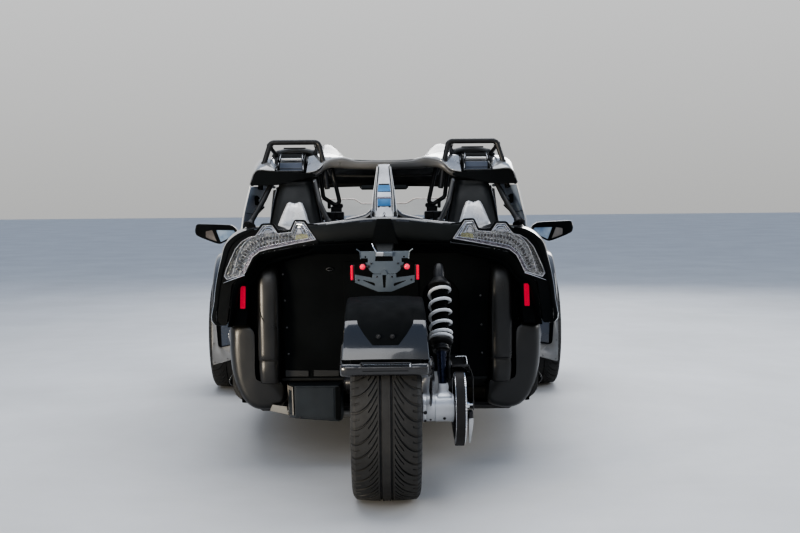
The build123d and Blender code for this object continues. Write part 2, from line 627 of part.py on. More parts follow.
with BuildPart() as steering_wheel:
    with BuildSketch(Plane(origin=wheel_plane.origin + wheel_plane.x_dir * 168, x_dir=wheel_plane.x_dir, z_dir=wheel_plane.y_dir)):
        Circle(14)
    revolve(axis=Axis(wheel_plane.origin, wheel_plane.z_dir))
    with BuildSketch(wheel_plane.offset(-22)):
        Circle(52)
    extrude(amount=30)
    with BuildSketch(wheel_plane.offset(-16)):
        for a in (0, 180, 270):
            with Locations(Location((0, 0, 0), (0, 0, a))):
                with Locations((100, 0)):
                    Rectangle(125, 30)
    extrude(amount=12)
write(steering_wheel.part, "steering_wheel")

# ================================================================ front body
# bonnet, right half: (y, outline of x, z from the centre line out)
BONNET = [
    (1880, [(0, 588), (70, 584), (150, 570), (245, 528)]),
    (1700, [(0, 660), (90, 652), (200, 628), (330, 560)]),
    (1400, [(0, 755), (110, 750), (260, 735), (430, 660)]),
    (1050, [(0, 835), (130, 838), (300, 840), (520, 760)]),
    (800, [(0, 882), (150, 884), (340, 876), (585, 815)]),
    (653, [(0, 905), (160, 899), (360, 880), (618, 838)]),
]
with BuildPart() as bonnet:
    loft([ring_y(y, shell([(-x, z) for x, z in pts[:0:-1]] + pts, -SKIN)) for y, pts in BONNET], ruled=True)
write(bonnet.part, "bonnet")

# cowl round the cockpit's front: from the bonnet back to the doors' front
COWL = [(0, 918), (300, 886), (625, 850)]
with BuildPart() as cowl:
    loft([ring_y(y, shell([(-x, z + dz) for x, z in COWL[::-1]] + [(x, z + dz) for x, z in COWL[1:]], -SKIN)) for y, dz in ((650, -8), (560, 2), (474, 6))], ruled=True)
    # sides of the cockpit under the cowl: y, outer x, top x, low z, top z
    for s in (-1, 1):
        loft([ring_y(y, [(s * a, b) for a, b in ((xo - 26, zl), (xo, zl), (xo + 6, (zl + zt) / 2), (xt, zt), (xt - 30, zt), (xo - 22, (zl + zt) / 2))])
              for y, xo, xt, zl, zt in ((700, 655, 630, 625, 812), (480, 672, 664, 610, 838), (300, 684, 666, 600, 800), (90, 690, 670, 600, 650))], ruled=True)
write(cowl.part, "cowl_panels")
with BuildPart() as windscreen:
    # low curved screen, each half standing on one slope of the cowl
    slope = atan2(68, 625)
    base = [(0, 626), (250, 606), (450, 550), (548, 484)]
    top = [(0, 480), (250, 468), (470, 428), (548, 380)]
    with BuildSketch(Plane(origin=(0, 0, 927), x_dir=(cos(slope), 0, -sin(slope)), z_dir=(sin(slope), 0, cos(slope)))) as foot_line:
        with BuildLine():
            Polyline(*shell(base, -5), close=True)
        make_face()
    loft([foot_line.sketch, ring_z(1092, shell(top, -5))], ruled=True)
    split(bisect_by=Plane.YZ, keep=Keep.TOP)
    mirror(about=Plane.YZ)
write(windscreen.part, "windscreen")

# nose: bumper beam with the grille mouth
with BuildPart() as nose:
    loft([ring_y(NOSE_Y, [(-250, 300), (250, 300), (300, 400), (240, 505), (0, 560), (-240, 505), (-300, 400)]),
          ring_y(1700, [(-330, 200), (330, 200), (400, 360), (330, 545), (0, 640), (-330, 545), (-400, 360)]),
          ring_y(1500, [(-330, 190), (330, 190), (420, 360), (350, 600), (0, 700), (-350, 600), (-420, 360)])], ruled=True)
    with BuildPart(mode=Mode.PRIVATE) as mouth:
        loft([ring_y(NOSE_Y + 5, [(-190, 315), (190, 315), (235, 400), (170, 470), (0, 500), (-170, 470), (-235, 400)]),
              ring_y(1495, [(-290, 215), (290, 215), (370, 360), (300, 560), (0, 640), (-300, 560), (-370, 360)])], ruled=True)
    add(mouth.part, mode=Mode.SUBTRACT)
    with BuildSketch(Plane.XY.offset(165)):
        with BuildLine():
            Polyline((-430, 1500), (-360, 1760), (0, 1860), (360, 1760), (430, 1500), close=True)
        make_face()
    extrude(amount=22)
write(nose.part, "nose_panels")
with BuildPart() as radiator:
    with Locations((0, 1590, 370)):
        Box(500, 50, 230)
write(radiator.part, "radiator")

# front wings: arched over the wheel, (x, list of y, z from the front end to the rear end)
cy, cz = FRONT_Y, FRONT_R
WING = [
    (640, [(1530, 560), (1440, 672), (1290, 750), (1110, 800), (930, 815), (790, 800), (712, 680), (690, 420)]),
    (820, [(1525, 520), (1436, 650), (1300, 755), (1110, 812), (920, 808), (790, 735), (718, 560), (700, 300)]),
    (960, [(1500, 506), (1420, 628), (1290, 720), (1110, 768), (930, 750), (800, 654), (726, 470), (715, 165)]),
]
with BuildPart() as wings:
    loft([ring_x(x, shell(pts, SKIN)) for x, pts in WING], ruled=True)
    mirror(about=Plane.YZ)
write(wings.part, "front_wings")
# panel between the bonnet's edge and the wing: y, inner x and z, outer x and z
BRIDGE = [(1500, 401, 628, 636, 590), (1400, 433, 662, 636, 690), (1290, 464, 698, 636, 748), (1110, 509, 746, 636, 798), (930, 554, 786, 636, 813), (800, 590, 812, 636, 804)]
with BuildPart() as bridge:
    loft([ring_y(y, [(xi, zi), (xo, zo), (xo, zo - SKIN), (xi, zi - SKIN)]) for y, xi, zi, xo, zo in BRIDGE], ruled=True)
    mirror(about=Plane.YZ)
write(bridge.part, "bonnet_side_panels")

with BuildPart() as headlamps:
    loft([ring_y(1540, [(396, 530), (498, 540), (500, 626), (398, 606)]), ring_y(1690, [(374, 480), (412, 498), (408, 536), (345, 552)])], ruled=True)
    mirror(about=Plane.YZ)
write(headlamps.part, "headlamps")

with BuildPart() as mirrors:
    loft([ring_y(300, [(760, 912), (800, 862), (905, 872), (975, 918), (980, 970), (790, 966)]),
          ring_y(420, [(790, 912), (815, 888), (905, 893), (955, 920), (955, 950), (812, 948)])], ruled=True)
    add(tube([(642, 400, 838), (700, 380, 870), (790, 360, 900)], [40], 10))
    mirror(about=Plane.YZ)
write(mirrors.part, "door_mirrors")

# ================================================================ front frame and suspension
with BuildPart() as frame:
    for s in (-1, 1):
        with Locations((s * 250, 1097, 200)):
            Box(60, 790, 50)
        with Locations((s * 262, 1110, 470)):
            Box(44, 420, 44)
        for y in (940, 1280):
            with Locations((s * 262, y, 340)):
                Box(40, 40, 250)
    with Locations((0, 1462, 200)):
        Box(440, 60, 50)
write(frame.part, "front_frame")
with BuildPart() as wishbones:
    for z, x_in, y_in in ((186, 285, 170), (466, 290, 150)):
        for s in (-1, 1):
            add(tube([(x_in, FRONT_Y + s * y_in, z), (KINGPIN_X - 30, FRONT_Y + s * 16, z)], None, 13))
        with BuildSketch(Plane.XY.offset(z - 12)):
            with Locations((KINGPIN_X - 14, FRONT_Y)):
                Circle(26)
        extrude(amount=24)
    mirror(about=Plane.YZ)
write(wishbones.part, "front_wishbones")
with BuildPart() as dampers:
    foot, head = (640, 1110, 206), (330, 1110, 640)
    n = hypot(head[0] - foot[0], head[2] - foot[2])
    p = Plane(origin=foot, x_dir=(0, 1, 0), z_dir=((head[0] - foot[0]) / n, 0, (head[2] - foot[2]) / n))
    for a, b, r in ((0, 240, 22), (150, 168, 44), (168, 430, 34), (430, 448, 44), (430, n, 16)):
        with BuildSketch(p.offset(a)):
            Circle(r)
        extrude(amount=b - a)
    mirror(about=Plane.YZ)
write(dampers.part, "front_dampers")
with BuildPart() as rack:
    add(tube([(-KINGPIN_X + 14, FRONT_Y + ARM_Y, RACK_Z), (KINGPIN_X - 14, FRONT_Y + ARM_Y, RACK_Z)], None, 9))
    add(tube([(-330, FRONT_Y + ARM_Y, RACK_Z), (330, FRONT_Y + ARM_Y, RACK_Z)], None, 16))
    for s in (-1, 1):
        with BuildSketch(Plane.XY.offset(RACK_Z - 12)):
            with Locations((s * KINGPIN_X, FRONT_Y + ARM_Y)):
                Circle(13)
        extrude(amount=21)
write(rack.part, "steering_rack")

with BuildPart() as engine:
    with Locations((0, 872, 470)):
        Box(400, 560, 470)
write(engine.part, "engine_block")

# ================================================================ plate bracket
with BuildPart() as bracket:
    # flat plate facing back, outline seen from behind
    with BuildSketch(Plane(origin=(0, -1420, 835), x_dir=(1, 0, 0), z_dir=(0, -1, 0))):
        with BuildLine():
            Polyline((-108, 72), (108, 72), (100, 44), (66, 44), (66, 26), (100, 26), (100, -2), (74, -14), (42, -22), (42, -34), (122, -24), (120, -58),
                     (26, -92), (-26, -92), (-120, -58), (-122, -24), (-42, -34), (-42, -22), (-74, -14), (-100, -2), (-100, 26), (-66, 26), (-66, 44),
                     (-100, 44), close=True)
        make_face()
        with BuildLine():
            Polyline((-9, -12), (9, -12), (6, -74), (-6, -74), close=True)
        make_face(mode=Mode.SUBTRACT)
        with GridLocations(PLATE_HOLES, 0, 2, 1):
            with Locations((0, 58)):
                Circle(PLATE_HOLE_R, mode=Mode.SUBTRACT)
    extrude(amount=4)
    # arm to the deck
    loft([ring_z(893, [(-26, -1424), (26, -1424), (26, -1404), (-26, -1404)]),
          ring_z(921, [(-40, -1190), (40, -1190), (40, -1150), (-40, -1150)])], ruled=True)
write(bracket.part, "plate_bracket")
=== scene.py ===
"""Looks of the three wheeled car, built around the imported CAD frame. Metres, +Y forward, +X right, +Z up."""

import math
import random
from math import cos, pi, radians, sin

import bmesh
import bpy
from mathutils import Matrix, Vector
from mathutils.geometry import tessellate_polygon


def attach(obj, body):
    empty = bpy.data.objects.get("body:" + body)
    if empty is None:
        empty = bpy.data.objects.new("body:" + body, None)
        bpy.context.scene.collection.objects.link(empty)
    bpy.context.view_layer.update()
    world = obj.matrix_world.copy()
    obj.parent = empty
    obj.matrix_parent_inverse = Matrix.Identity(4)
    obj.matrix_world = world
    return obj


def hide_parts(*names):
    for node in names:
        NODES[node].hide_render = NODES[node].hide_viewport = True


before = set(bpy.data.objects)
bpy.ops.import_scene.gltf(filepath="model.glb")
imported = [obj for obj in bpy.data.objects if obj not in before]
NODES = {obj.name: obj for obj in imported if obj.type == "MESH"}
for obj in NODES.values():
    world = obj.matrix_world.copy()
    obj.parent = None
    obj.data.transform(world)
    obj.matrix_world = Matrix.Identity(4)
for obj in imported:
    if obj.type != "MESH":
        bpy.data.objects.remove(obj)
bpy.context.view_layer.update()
random.seed(3751)
MM = 0.001

REAR_Y, REAR_R = -1557.0, 338.0
FRONT_Y, FRONT_R, TRACK_X, KINGPIN_X = 1110.0, 328.0, 877.0, 820.0


# ------------------------------------------------------------------ materials
class Nodes:
    """A material under construction: node tree, Principled shader and object coordinates."""

    def __init__(self, name):
        self.m = bpy.data.materials.new(name)
        self.m.use_nodes = True
        self.t = self.m.node_tree
        self.b = next(n for n in self.t.nodes if n.type == "BSDF_PRINCIPLED")
        self.co = self.t.nodes.new("ShaderNodeTexCoord").outputs["Object"]

    def new(self, kind, **values):
        n = self.t.nodes.new(kind)
        for k, v in values.items():
            if k in n.inputs:
                n.inputs[k].default_value = v
            else:
                setattr(n, k, v)
        return n

    def link(self, a, b):
        self.t.links.new(a, b)

    def set(self, **values):
        for k, v in values.items():
            self.b.inputs[k.replace("_", " ")].default_value = v

    def noise(self, scale, detail=4.0, rough=0.55, stretch=None):
        n = self.new("ShaderNodeTexNoise", Scale=scale, Detail=detail, Roughness=rough)
        src = self.co
        if stretch:
            m = self.new("ShaderNodeMapping")
            m.inputs["Scale"].default_value = stretch
            self.link(self.co, m.inputs["Vector"])
            src = m.outputs["Vector"]
        self.link(src, n.inputs["Vector"])
        return n.outputs["Fac"]

    def ramp(self, fac, stops):
        r = self.new("ShaderNodeValToRGB")
        e = r.color_ramp.elements
        e[0].position, e[0].color = stops[0][0], stops[0][1]
        e[1].position, e[1].color = stops[-1][0], stops[-1][1]
        for p, c in stops[1:-1]:
            x = e.new(p)
            x.color = c
        self.link(fac, r.inputs["Fac"])
        return r.outputs["Color"]

    def colour(self, fac, a, b, lo=0.35, hi=0.65):
        c = self.ramp(fac, [(lo, (*a, 1)), (hi, (*b, 1))])
        self.link(c, self.b.inputs["Base Color"])
        return c

    def rough(self, fac, a, b, lo=0.3, hi=0.7):
        m = self.new("ShaderNodeMapRange")
        m.inputs["From Min"].default_value, m.inputs["From Max"].default_value = lo, hi
        m.inputs["To Min"].default_value, m.inputs["To Max"].default_value = a, b
        self.link(fac, m.inputs["Value"])
        self.link(m.outputs["Result"], self.b.inputs["Roughness"])

    def bump(self, fac, strength, distance, under=None):
        n = self.new("ShaderNodeBump", Strength=strength, Distance=distance)
        self.link(fac, n.inputs["Height"])
        if under is not None:
            self.link(under, n.inputs["Normal"])
        self.link(n.outputs["Normal"], self.b.inputs["Normal"])
        return n.outputs["Normal"]

    def edge_wear(self):
        """Brighter where the mesh is convex: a worn or dusty edge."""
        g = self.new("ShaderNodeNewGeometry")
        return g.outputs["Pointiness"]


def gloss_paint(name, a, b, coat=1.0, rough=(0.10, 0.2)):
    n = Nodes(name)
    f = n.noise(3.2, 5)
    n.colour(f, a, b)
    n.rough(n.noise(11, 6), *rough)
    n.set(Metallic=0.0, Coat_Weight=coat, Coat_Roughness=0.03, Specular_IOR_Level=0.5)
    n.bump(n.noise(420, 2), 0.05, 0.0004)
    return n.m


def moulded(name, a, b, grain=900, depth=0.0004, strength=0.35, rough=(0.45, 0.62), big=6, spec=0.3):
    n = Nodes(name)
    n.colour(n.noise(big, 6), a, b)
    n.rough(n.noise(big * 3, 5), *rough)
    n.set(Specular_IOR_Level=spec)
    n.bump(n.noise(grain, 3, 0.7), strength, depth)
    return n.m


def metal(name, a, b, rough=(0.25, 0.4), grain=350, depth=0.0003, strength=0.25, stretch=None, metallic=1.0):
    n = Nodes(name)
    f = n.noise(9, 6, stretch=stretch)
    n.colour(f, a, b)
    n.rough(n.noise(24, 6, stretch=stretch), *rough)
    n.set(Metallic=metallic)
    n.bump(n.noise(grain, 3, stretch=stretch), strength, depth)
    return n.m


def glassy(name, colour, rough=0.02, ior=1.45, alpha=1.0, dust=0.04):
    n = Nodes(name)
    f = n.noise(5, 6)
    n.colour(f, colour, tuple(min(1.0, c * 1.12 + 0.004) for c in colour))
    n.rough(n.noise(16, 6), rough, rough + dust)
    n.set(Transmission_Weight=1.0, IOR=ior, Alpha=alpha)
    n.bump(n.noise(60, 2), 0.03, 0.0002)
    return n.m


M = {}
M["gloss"] = gloss_paint("gloss_black_paint", (0.0045, 0.0045, 0.005), (0.0075, 0.0075, 0.0085))
M["gloss_soft"] = gloss_paint("gloss_black_plastic", (0.006, 0.006, 0.007), (0.010, 0.010, 0.011), coat=0.6, rough=(0.18, 0.3))
M["matte"] = moulded("grained_black_plastic", (0.006, 0.0068, 0.007), (0.010, 0.0112, 0.0115), spec=0.22)
M["matte_deep"] = moulded("deep_black_plastic", (0.003, 0.0036, 0.004), (0.0052, 0.0062, 0.007), rough=(0.55, 0.75), spec=0.05)
M["satin"] = moulded("satin_black_plastic", (0.012, 0.012, 0.0125), (0.019, 0.019, 0.0195), grain=1400, strength=0.12, rough=(0.28, 0.42))
M["tube"] = moulded("powder_coated_tube", (0.008, 0.008, 0.0085), (0.014, 0.014, 0.0145), grain=1200, strength=0.18, rough=(0.26, 0.4))
M["pod"] = moulded("pod_grey_black_plastic", (0.016, 0.0155, 0.0145), (0.026, 0.025, 0.0235), grain=700, strength=0.3, rough=(0.4, 0.55))
M["cast_silver"] = metal("silver_painted_casting", (0.62, 0.63, 0.65), (0.74, 0.75, 0.77), rough=(0.3, 0.46), metallic=0.35, grain=260, strength=0.3)
M["alloy_black"] = metal("black_alloy", (0.012, 0.012, 0.013), (0.022, 0.022, 0.024), rough=(0.2, 0.34), metallic=0.6)
M["machined"] = metal("machined_alloy", (0.55, 0.55, 0.56), (0.72, 0.72, 0.73), rough=(0.16, 0.3), stretch=(1, 30, 30))
M["steel"] = metal("zinc_plated_steel", (0.35, 0.36, 0.37), (0.5, 0.5, 0.5), rough=(0.25, 0.45))
M["dark_steel"] = metal("blackened_steel", (0.03, 0.03, 0.033), (0.06, 0.06, 0.064), rough=(0.35, 0.55))
M["plate"] = metal("blue_grey_plate_steel", (0.075, 0.095, 0.118), (0.105, 0.127, 0.15), rough=(0.42, 0.58), metallic=0.45, grain=600)
M["chrome"] = metal("bright_chrome", (0.7, 0.72, 0.75), (0.85, 0.86, 0.88), rough=(0.03, 0.09), grain=80, strength=0.04)
M["disc"] = metal("ground_disc_iron", (0.28, 0.27, 0.26), (0.4, 0.39, 0.38), rough=(0.22, 0.38), stretch=(1, 6, 6))
M["spring"] = gloss_paint("white_spring_coating", (0.5, 0.51, 0.52), (0.62, 0.63, 0.64), coat=0.4, rough=(0.3, 0.45))
M["damper_blue"] = metal("dark_blue_anodised", (0.008, 0.011, 0.026), (0.014, 0.018, 0.038), rough=(0.22, 0.34), metallic=0.7)
M["rubber"] = moulded("black_rubber", (0.011, 0.011, 0.011), (0.02, 0.02, 0.019), grain=500, strength=0.3, rough=(0.6, 0.8))
M["belt"] = moulded("belt_rubber", (0.016, 0.0145, 0.014), (0.026, 0.0235, 0.0225), grain=300, strength=0.4, rough=(0.6, 0.8))
M["tint"] = glassy("tinted_sheet", (0.10, 0.115, 0.13), rough=0.02)
M["screen"] = glassy("clear_sheet", (0.86, 0.88, 0.9), rough=0.005, dust=0.015)
M["lens"] = glassy("clear_lamp_lens", (0.86, 0.87, 0.9), rough=0.015, ior=1.25)
M["lens_dark"] = glassy("smoked_strip_lens", (0.16, 0.2, 0.26), rough=0.04, ior=1.45)
# soft pale edge material: a painted highlight for edges that catch the light
M["lit_edge_soft"] = moulded("painted_soft_highlight_edge", (0.16, 0.165, 0.17), (0.25, 0.255, 0.26), grain=500, strength=0.15, rough=(0.25, 0.4), spec=0.5)
M["mirror"] = metal("mirror_glass", (0.8, 0.82, 0.84), (0.86, 0.88, 0.9), rough=(0.01, 0.03), grain=40, strength=0.01)
M["vinyl"] = moulded("black_seat_vinyl", (0.011, 0.011, 0.0115), (0.018, 0.018, 0.0185), grain=420, depth=0.0006, strength=0.5, rough=(0.38, 0.55))
M["vinyl_panel"] = moulded("perforated_seat_insert", (0.014, 0.014, 0.0145), (0.022, 0.022, 0.0225), grain=1100, strength=0.6, rough=(0.5, 0.66))
M["carpet"] = moulded("floor_liner", (0.010, 0.010, 0.0105), (0.02, 0.02, 0.0205), grain=260, depth=0.002, strength=0.6, rough=(0.75, 0.9))
M["engine"] = metal("cast_engine_alloy", (0.2, 0.2, 0.2), (0.34, 0.34, 0.33), rough=(0.4, 0.6), metallic=0.7)


def tyre_material():
    n = Nodes("tyre_rubber")
    f = n.noise(7, 8)
    n.colour(f, (0.0105, 0.0108, 0.011), (0.021, 0.0208, 0.0203))
    n.rough(n.noise(40, 6), 0.55, 0.8)
    n.set(Specular_IOR_Level=0.4)
    n.bump(n.noise(650, 4, 0.7), 0.4, 0.0006)
    return n.m


M["tyre"] = tyre_material()


def red_reflector():
    n = Nodes("red_prismatic_reflector")
    v = n.new("ShaderNodeTexVoronoi", Scale=420.0)
    n.link(n.co, v.inputs["Vector"])
    n.colour(v.outputs["Distance"], (0.46, 0.001, 0.022), (0.66, 0.004, 0.04), 0.1, 0.6)
    n.rough(n.noise(60, 4), 0.12, 0.25)
    n.set(Coat_Weight=0.15, Coat_Roughness=0.2, Specular_IOR_Level=0.15)
    # painted glow: the emission stands in for light the reflector sends back; it is no lamp
    n.b.inputs["Emission Color"].default_value = (0.85, 0.002, 0.045, 1)
    n.b.inputs["Emission Strength"].default_value = 0.30
    n.bump(v.outputs["Distance"], 0.5, 0.0008)
    return n.m


M["red"] = red_reflector()


def lamp_back():
    """Bright metallised inside of a lamp, with fine vertical flutes."""
    n = Nodes("metallised_lamp_inside")
    w = n.new("ShaderNodeTexWave", Scale=90.0, Distortion=1.5)
    w.bands_direction = "X"
    n.link(n.co, w.inputs["Vector"])
    n.colour(n.noise(60, 5), (0.15, 0.152, 0.148), (0.36, 0.362, 0.36), 0.3, 0.7)
    n.rough(n.noise(90, 4), 0.16, 0.36)
    n.set(Metallic=0.85)
    n.bump(w.outputs["Fac"], 0.5, 0.002)
    return n.m


M["lamp_back"] = lamp_back()


def slot_insert(name, a, b):
    n = Nodes(name)
    w = n.new("ShaderNodeTexWave", Scale=60.0)
    n.link(n.co, w.inputs["Vector"])
    n.colour(w.outputs["Fac"], a, b)
    n.rough(n.noise(50, 4), 0.3, 0.5)
    n.bump(w.outputs["Fac"], 0.4, 0.001)
    return n.m


# ------------------------------------------------------------------ mesh helpers (millimetres in, metres out)
def piece(name, verts, faces, mat, slot, body="chassis", sharp=35, mirror=False, parent=None):
    if mirror:
        n = len(verts)
        verts = list(verts) + [(-x, y, z) for x, y, z in verts]
        faces = list(faces) + [tuple(i + n for i in reversed(f)) for f in faces]
    mesh = bpy.data.meshes.new(name)
    mesh.from_pydata([(x * MM, y * MM, z * MM) for x, y, z in verts], [], [tuple(f) for f in faces])
    mesh.validate()
    o = bpy.data.objects.new(name, mesh)
    bpy.context.scene.collection.objects.link(o)
    mats = mat if isinstance(mat, (list, tuple)) else [mat]
    for m in mats:
        mesh.materials.append(M[m] if isinstance(m, str) else m)
    bm = bmesh.new()
    bm.from_mesh(mesh)
    bmesh.ops.recalc_face_normals(bm, faces=bm.faces)
    bm.to_mesh(mesh)
    bm.free()
    mesh.polygons.foreach_set("use_smooth", [True] * len(mesh.polygons))
    mesh.set_sharp_from_angle(angle=radians(sharp))
    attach(o, body)
    return o


def bevel(o, width, segments=2, angle=32, profile=0.5):
    m = o.modifiers.new("bevel", "BEVEL")
    m.width, m.segments, m.limit_method, m.angle_limit, m.profile = width * MM, segments, "ANGLE", radians(angle), profile
    m.use_clamp_overlap = True
    m.harden_normals = False
    w = o.modifiers.new("normals", "WEIGHTED_NORMAL")
    w.keep_sharp = False
    o.data.polygons.foreach_set("use_smooth", [True] * len(o.data.polygons))
    for e in o.data.edges:
        e.use_edge_sharp = False
    return o


def cad(node, mat, width=0.0, segments=2, angle=32):
    """A CAD node that stays: better material, soft edges by modifier."""
    o = NODES[node]
    o.data.materials.clear()
    o.data.materials.append(M[mat] if isinstance(mat, str) else mat)
    if width:
        w = o.modifiers.new("weld", "WELD")
        w.merge_threshold = 0.00005
        b = o.modifiers.new("bevel", "BEVEL")
        b.width, b.segments, b.limit_method, b.angle_limit = width * MM, segments, "ANGLE", radians(angle)
        n = o.modifiers.new("normals", "WEIGHTED_NORMAL")
        n.keep_sharp = False
    return o


def catmull(points, k, corners=(), closed=False):
    """Smooth line through the points, k steps a run; it keeps a corner at each index in corners."""
    pts = [Vector(p) for p in points]
    n = len(pts)
    out = []
    runs = n if closed else n - 1
    for i in range(runs):
        p1, p2 = pts[i], pts[(i + 1) % n]
        p0 = pts[i - 1] if (closed or i > 0) else p1 * 2 - p2
        p3 = pts[(i + 2) % n] if (closed or i + 2 < n) else p2 * 2 - p1
        if i in corners:
            p0 = p1 * 2 - p2
        if (i + 1) % n in corners:
            p3 = p2 * 2 - p1
        # centripetal-like tangents, limited so that uneven runs don't overshoot
        d1 = max((p2 - p1).length, 1e-6)
        d0 = max((p1 - p0).length, 1e-6)
        d2 = max((p3 - p2).length, 1e-6)
        m1 = ((p1 - p0) / d0 * d1 + (p2 - p1) / d1 * d0) / (d0 + d1) * d1
        m2 = ((p2 - p1) / d1 * d2 + (p3 - p2) / d2 * d1) / (d1 + d2) * d1
        for j in range(k):
            t = j / k
            t2, t3 = t * t, t * t * t
            out.append(p1 * (2 * t3 - 3 * t2 + 1) + m1 * (t3 - 2 * t2 + t) + p2 * (-2 * t3 + 3 * t2) + m2 * (t3 - t2))
    if not closed:
        out.append(pts[-1].copy())
    return out


def grid_from(rows, ku, kv, cu=(), cv=(), closed=False):
    """Smooth grid through rows of points: ku steps along each row, kv from row to row."""
    rows = [catmull(r, ku, cu, closed) for r in rows]
    cols = [catmull([r[i] for r in rows], kv, cv) for i in range(len(rows[0]))]
    return [[cols[i][j] for i in range(len(cols))] for j in range(len(cols[0]))]


def grid_normals(g, closed=False):
    nv, nu = len(g), len(g[0])
    out = []
    for j in range(nv):
        row = []
        for i in range(nu):
            if closed:
                a, b = g[j][(i - 1) % nu], g[j][(i + 1) % nu]
            else:
                a, b = g[j][max(i - 1, 0)], g[j][min(i + 1, nu - 1)]
            c, d = g[max(j - 1, 0)][i], g[min(j + 1, nv - 1)][i]
            n = (b - a).cross(d - c)
            row.append(n.normalized() if n.length > 1e-9 else Vector((0, 0, 1)))
        out.append(row)
    return out


def sheet_mesh(g, t, closed=False):
    """Closed solid from a grid: the grid itself and its copy moved by t against its normals."""
    nv, nu = len(g), len(g[0])
    nrm = grid_normals(g, closed)
    verts = [tuple(p) for r in g for p in r] + [tuple(g[j][i] - nrm[j][i] * t) for j in range(nv) for i in range(nu)]
    off = nv * nu
    at = lambda j, i: j * nu + (i % nu)
    faces = []
    cols = nu if closed else nu - 1
    for j in range(nv - 1):
        for i in range(cols):
            a, b, c, d = at(j, i), at(j, i + 1), at(j + 1, i + 1), at(j + 1, i)
            faces.append((a, b, c, d))
            faces.append((off + d, off + c, off + b, off + a))
    for i in range(cols):
        a, b = at(0, i), at(0, i + 1)
        faces.append((b, a, off + a, off + b))
        a, b = at(nv - 1, i), at(nv - 1, i + 1)
        faces.append((a, b, off + b, off + a))
    if not closed:
        for j in range(nv - 1):
            a, b = at(j, 0), at(j + 1, 0)
            faces.append((a, b, off + b, off + a))
            a, b = at(j, nu - 1), at(j + 1, nu - 1)
            faces.append((b, a, off + a, off + b))
    return verts, faces


def skin(name, rows, mat, slot, t=4.0, ku=5, kv=5, cu=(), cv=(), body="chassis", mirror=False, closed=False, edge=1.2, sharp=35):
    v, f = sheet_mesh(grid_from(rows, ku, kv, cu, cv, closed), t, closed)
    o = piece(name, v, f, mat, slot, body, sharp, mirror)
    if edge:
        bevel(o, edge, 2, 50)
    return o


def solid_loft(name, rings, mat, slot, ku=4, kv=4, cu=(), cv=(), body="chassis", mirror=False, edge=0.0, sharp=35, cap=True):
    """Closed rings of points, lofted smoothly and capped."""
    g = grid_from(rings, ku, kv, cu, cv, closed=True)
    nv, nu = len(g), len(g[0])
    verts = [tuple(p) for r in g for p in r]
    faces = []
    for j in range(nv - 1):
        for i in range(nu):
            a, b = j * nu + i, j * nu + (i + 1) % nu
            faces.append((a, b, b + nu, a + nu))
    if cap:
        for j, rev in ((0, True), (nv - 1, False)):
            c = sum((g[j][i] for i in range(nu)), Vector()) / nu
            verts.append(tuple(c))
            ci = len(verts) - 1
            for i in range(nu):
                a, b = j * nu + i, j * nu + (i + 1) % nu
                faces.append((ci, b, a) if rev else (ci, a, b))
    o = piece(name, verts, faces, mat, slot, body, sharp, mirror)
    if edge:
        bevel(o, edge, 3, 40)
    return o


def tube_mesh(points, r, sides=12, closed=False, ends=True):
    """Round bar of radius r (or a list of radii) along points; frames carried along without twist."""
    pts = [Vector(p) for p in points]
    n = len(pts)
    rr = r if isinstance(r, (list, tuple)) else [r] * n
    verts, faces = [], []
    up = None
    for i, p in enumerate(pts):
        a = pts[i - 1] if (closed or i > 0) else p
        b = pts[(i + 1) % n] if (closed or i < n - 1) else p
        d = (b - a).normalized()
        if up is None:
            up = d.orthogonal().normalized()
        up = (up - d * up.dot(d)).normalized()
        side = d.cross(up)
        for k in range(sides):
            t = 2 * pi * k / sides
            verts.append(tuple(p + (up * cos(t) + side * sin(t)) * rr[i]))
    rows = n if closed else n - 1
    for i in range(rows):
        for k in range(sides):
            a, b = i * sides + k, i * sides + (k + 1) % sides
            c, d = ((i + 1) % n) * sides + (k + 1) % sides, ((i + 1) % n) * sides + k
            faces.append((a, b, c, d))
    if ends and not closed:
        faces.append(tuple(range(sides))[::-1])
        faces.append(tuple((n - 1) * sides + k for k in range(sides)))
    return verts, faces


def join(parts):
    verts, faces = [], []
    for v, f in parts:
        n = len(verts)
        verts += list(v)
        faces += [tuple(i + n for i in q) for q in f]
    return verts, faces


def mirrored(part):
    v, f = part
    return [(-x, y, z) for x, y, z in v], [tuple(reversed(q)) for q in f]


def bent(points, radius, steps=6):
    """Polyline with its corners rounded to the radius."""
    pts = [Vector(p) for p in points]
    out = [pts[0]]
    for i in range(1, len(pts) - 1):
        a, b, c = pts[i - 1], pts[i], pts[i + 1]
        u, v = (a - b).normalized(), (c - b).normalized()
        r = radius[i - 1] if isinstance(radius, (list, tuple)) else radius
        ang = u.angle(v)
        cut = min(r / math.tan(ang / 2), (a - b).length * 0.48, (c - b).length * 0.48)
        p, q = b + u * cut, b + v * cut
        for k in range(steps + 1):
            t = k / steps
            out.append(p * (1 - t) ** 2 + b * 2 * t * (1 - t) + q * t * t)
    out.append(pts[-1])
    return out


def lathe(profile, axis_o, axis_d, n=48, close=False):
    """Turns (along, radius) points about an axis."""
    o, d = Vector(axis_o), Vector(axis_d).normalized()
    u = d.orthogonal().normalized()
    w = d.cross(u)
    verts, faces = [], []
    m = len(profile)
    for k in range(n):
        t = 2 * pi * k / n
        for a, r in profile:
            verts.append(tuple(o + d * a + (u * cos(t) + w * sin(t)) * r))
    for k in range(n):
        for i in range(m if close else m - 1):
            a, b = k * m + i, k * m + (i + 1) % m
            c, e = ((k + 1) % n) * m + (i + 1) % m, ((k + 1) % n) * m + i
            faces.append((a, b, c, e))
    return verts, faces


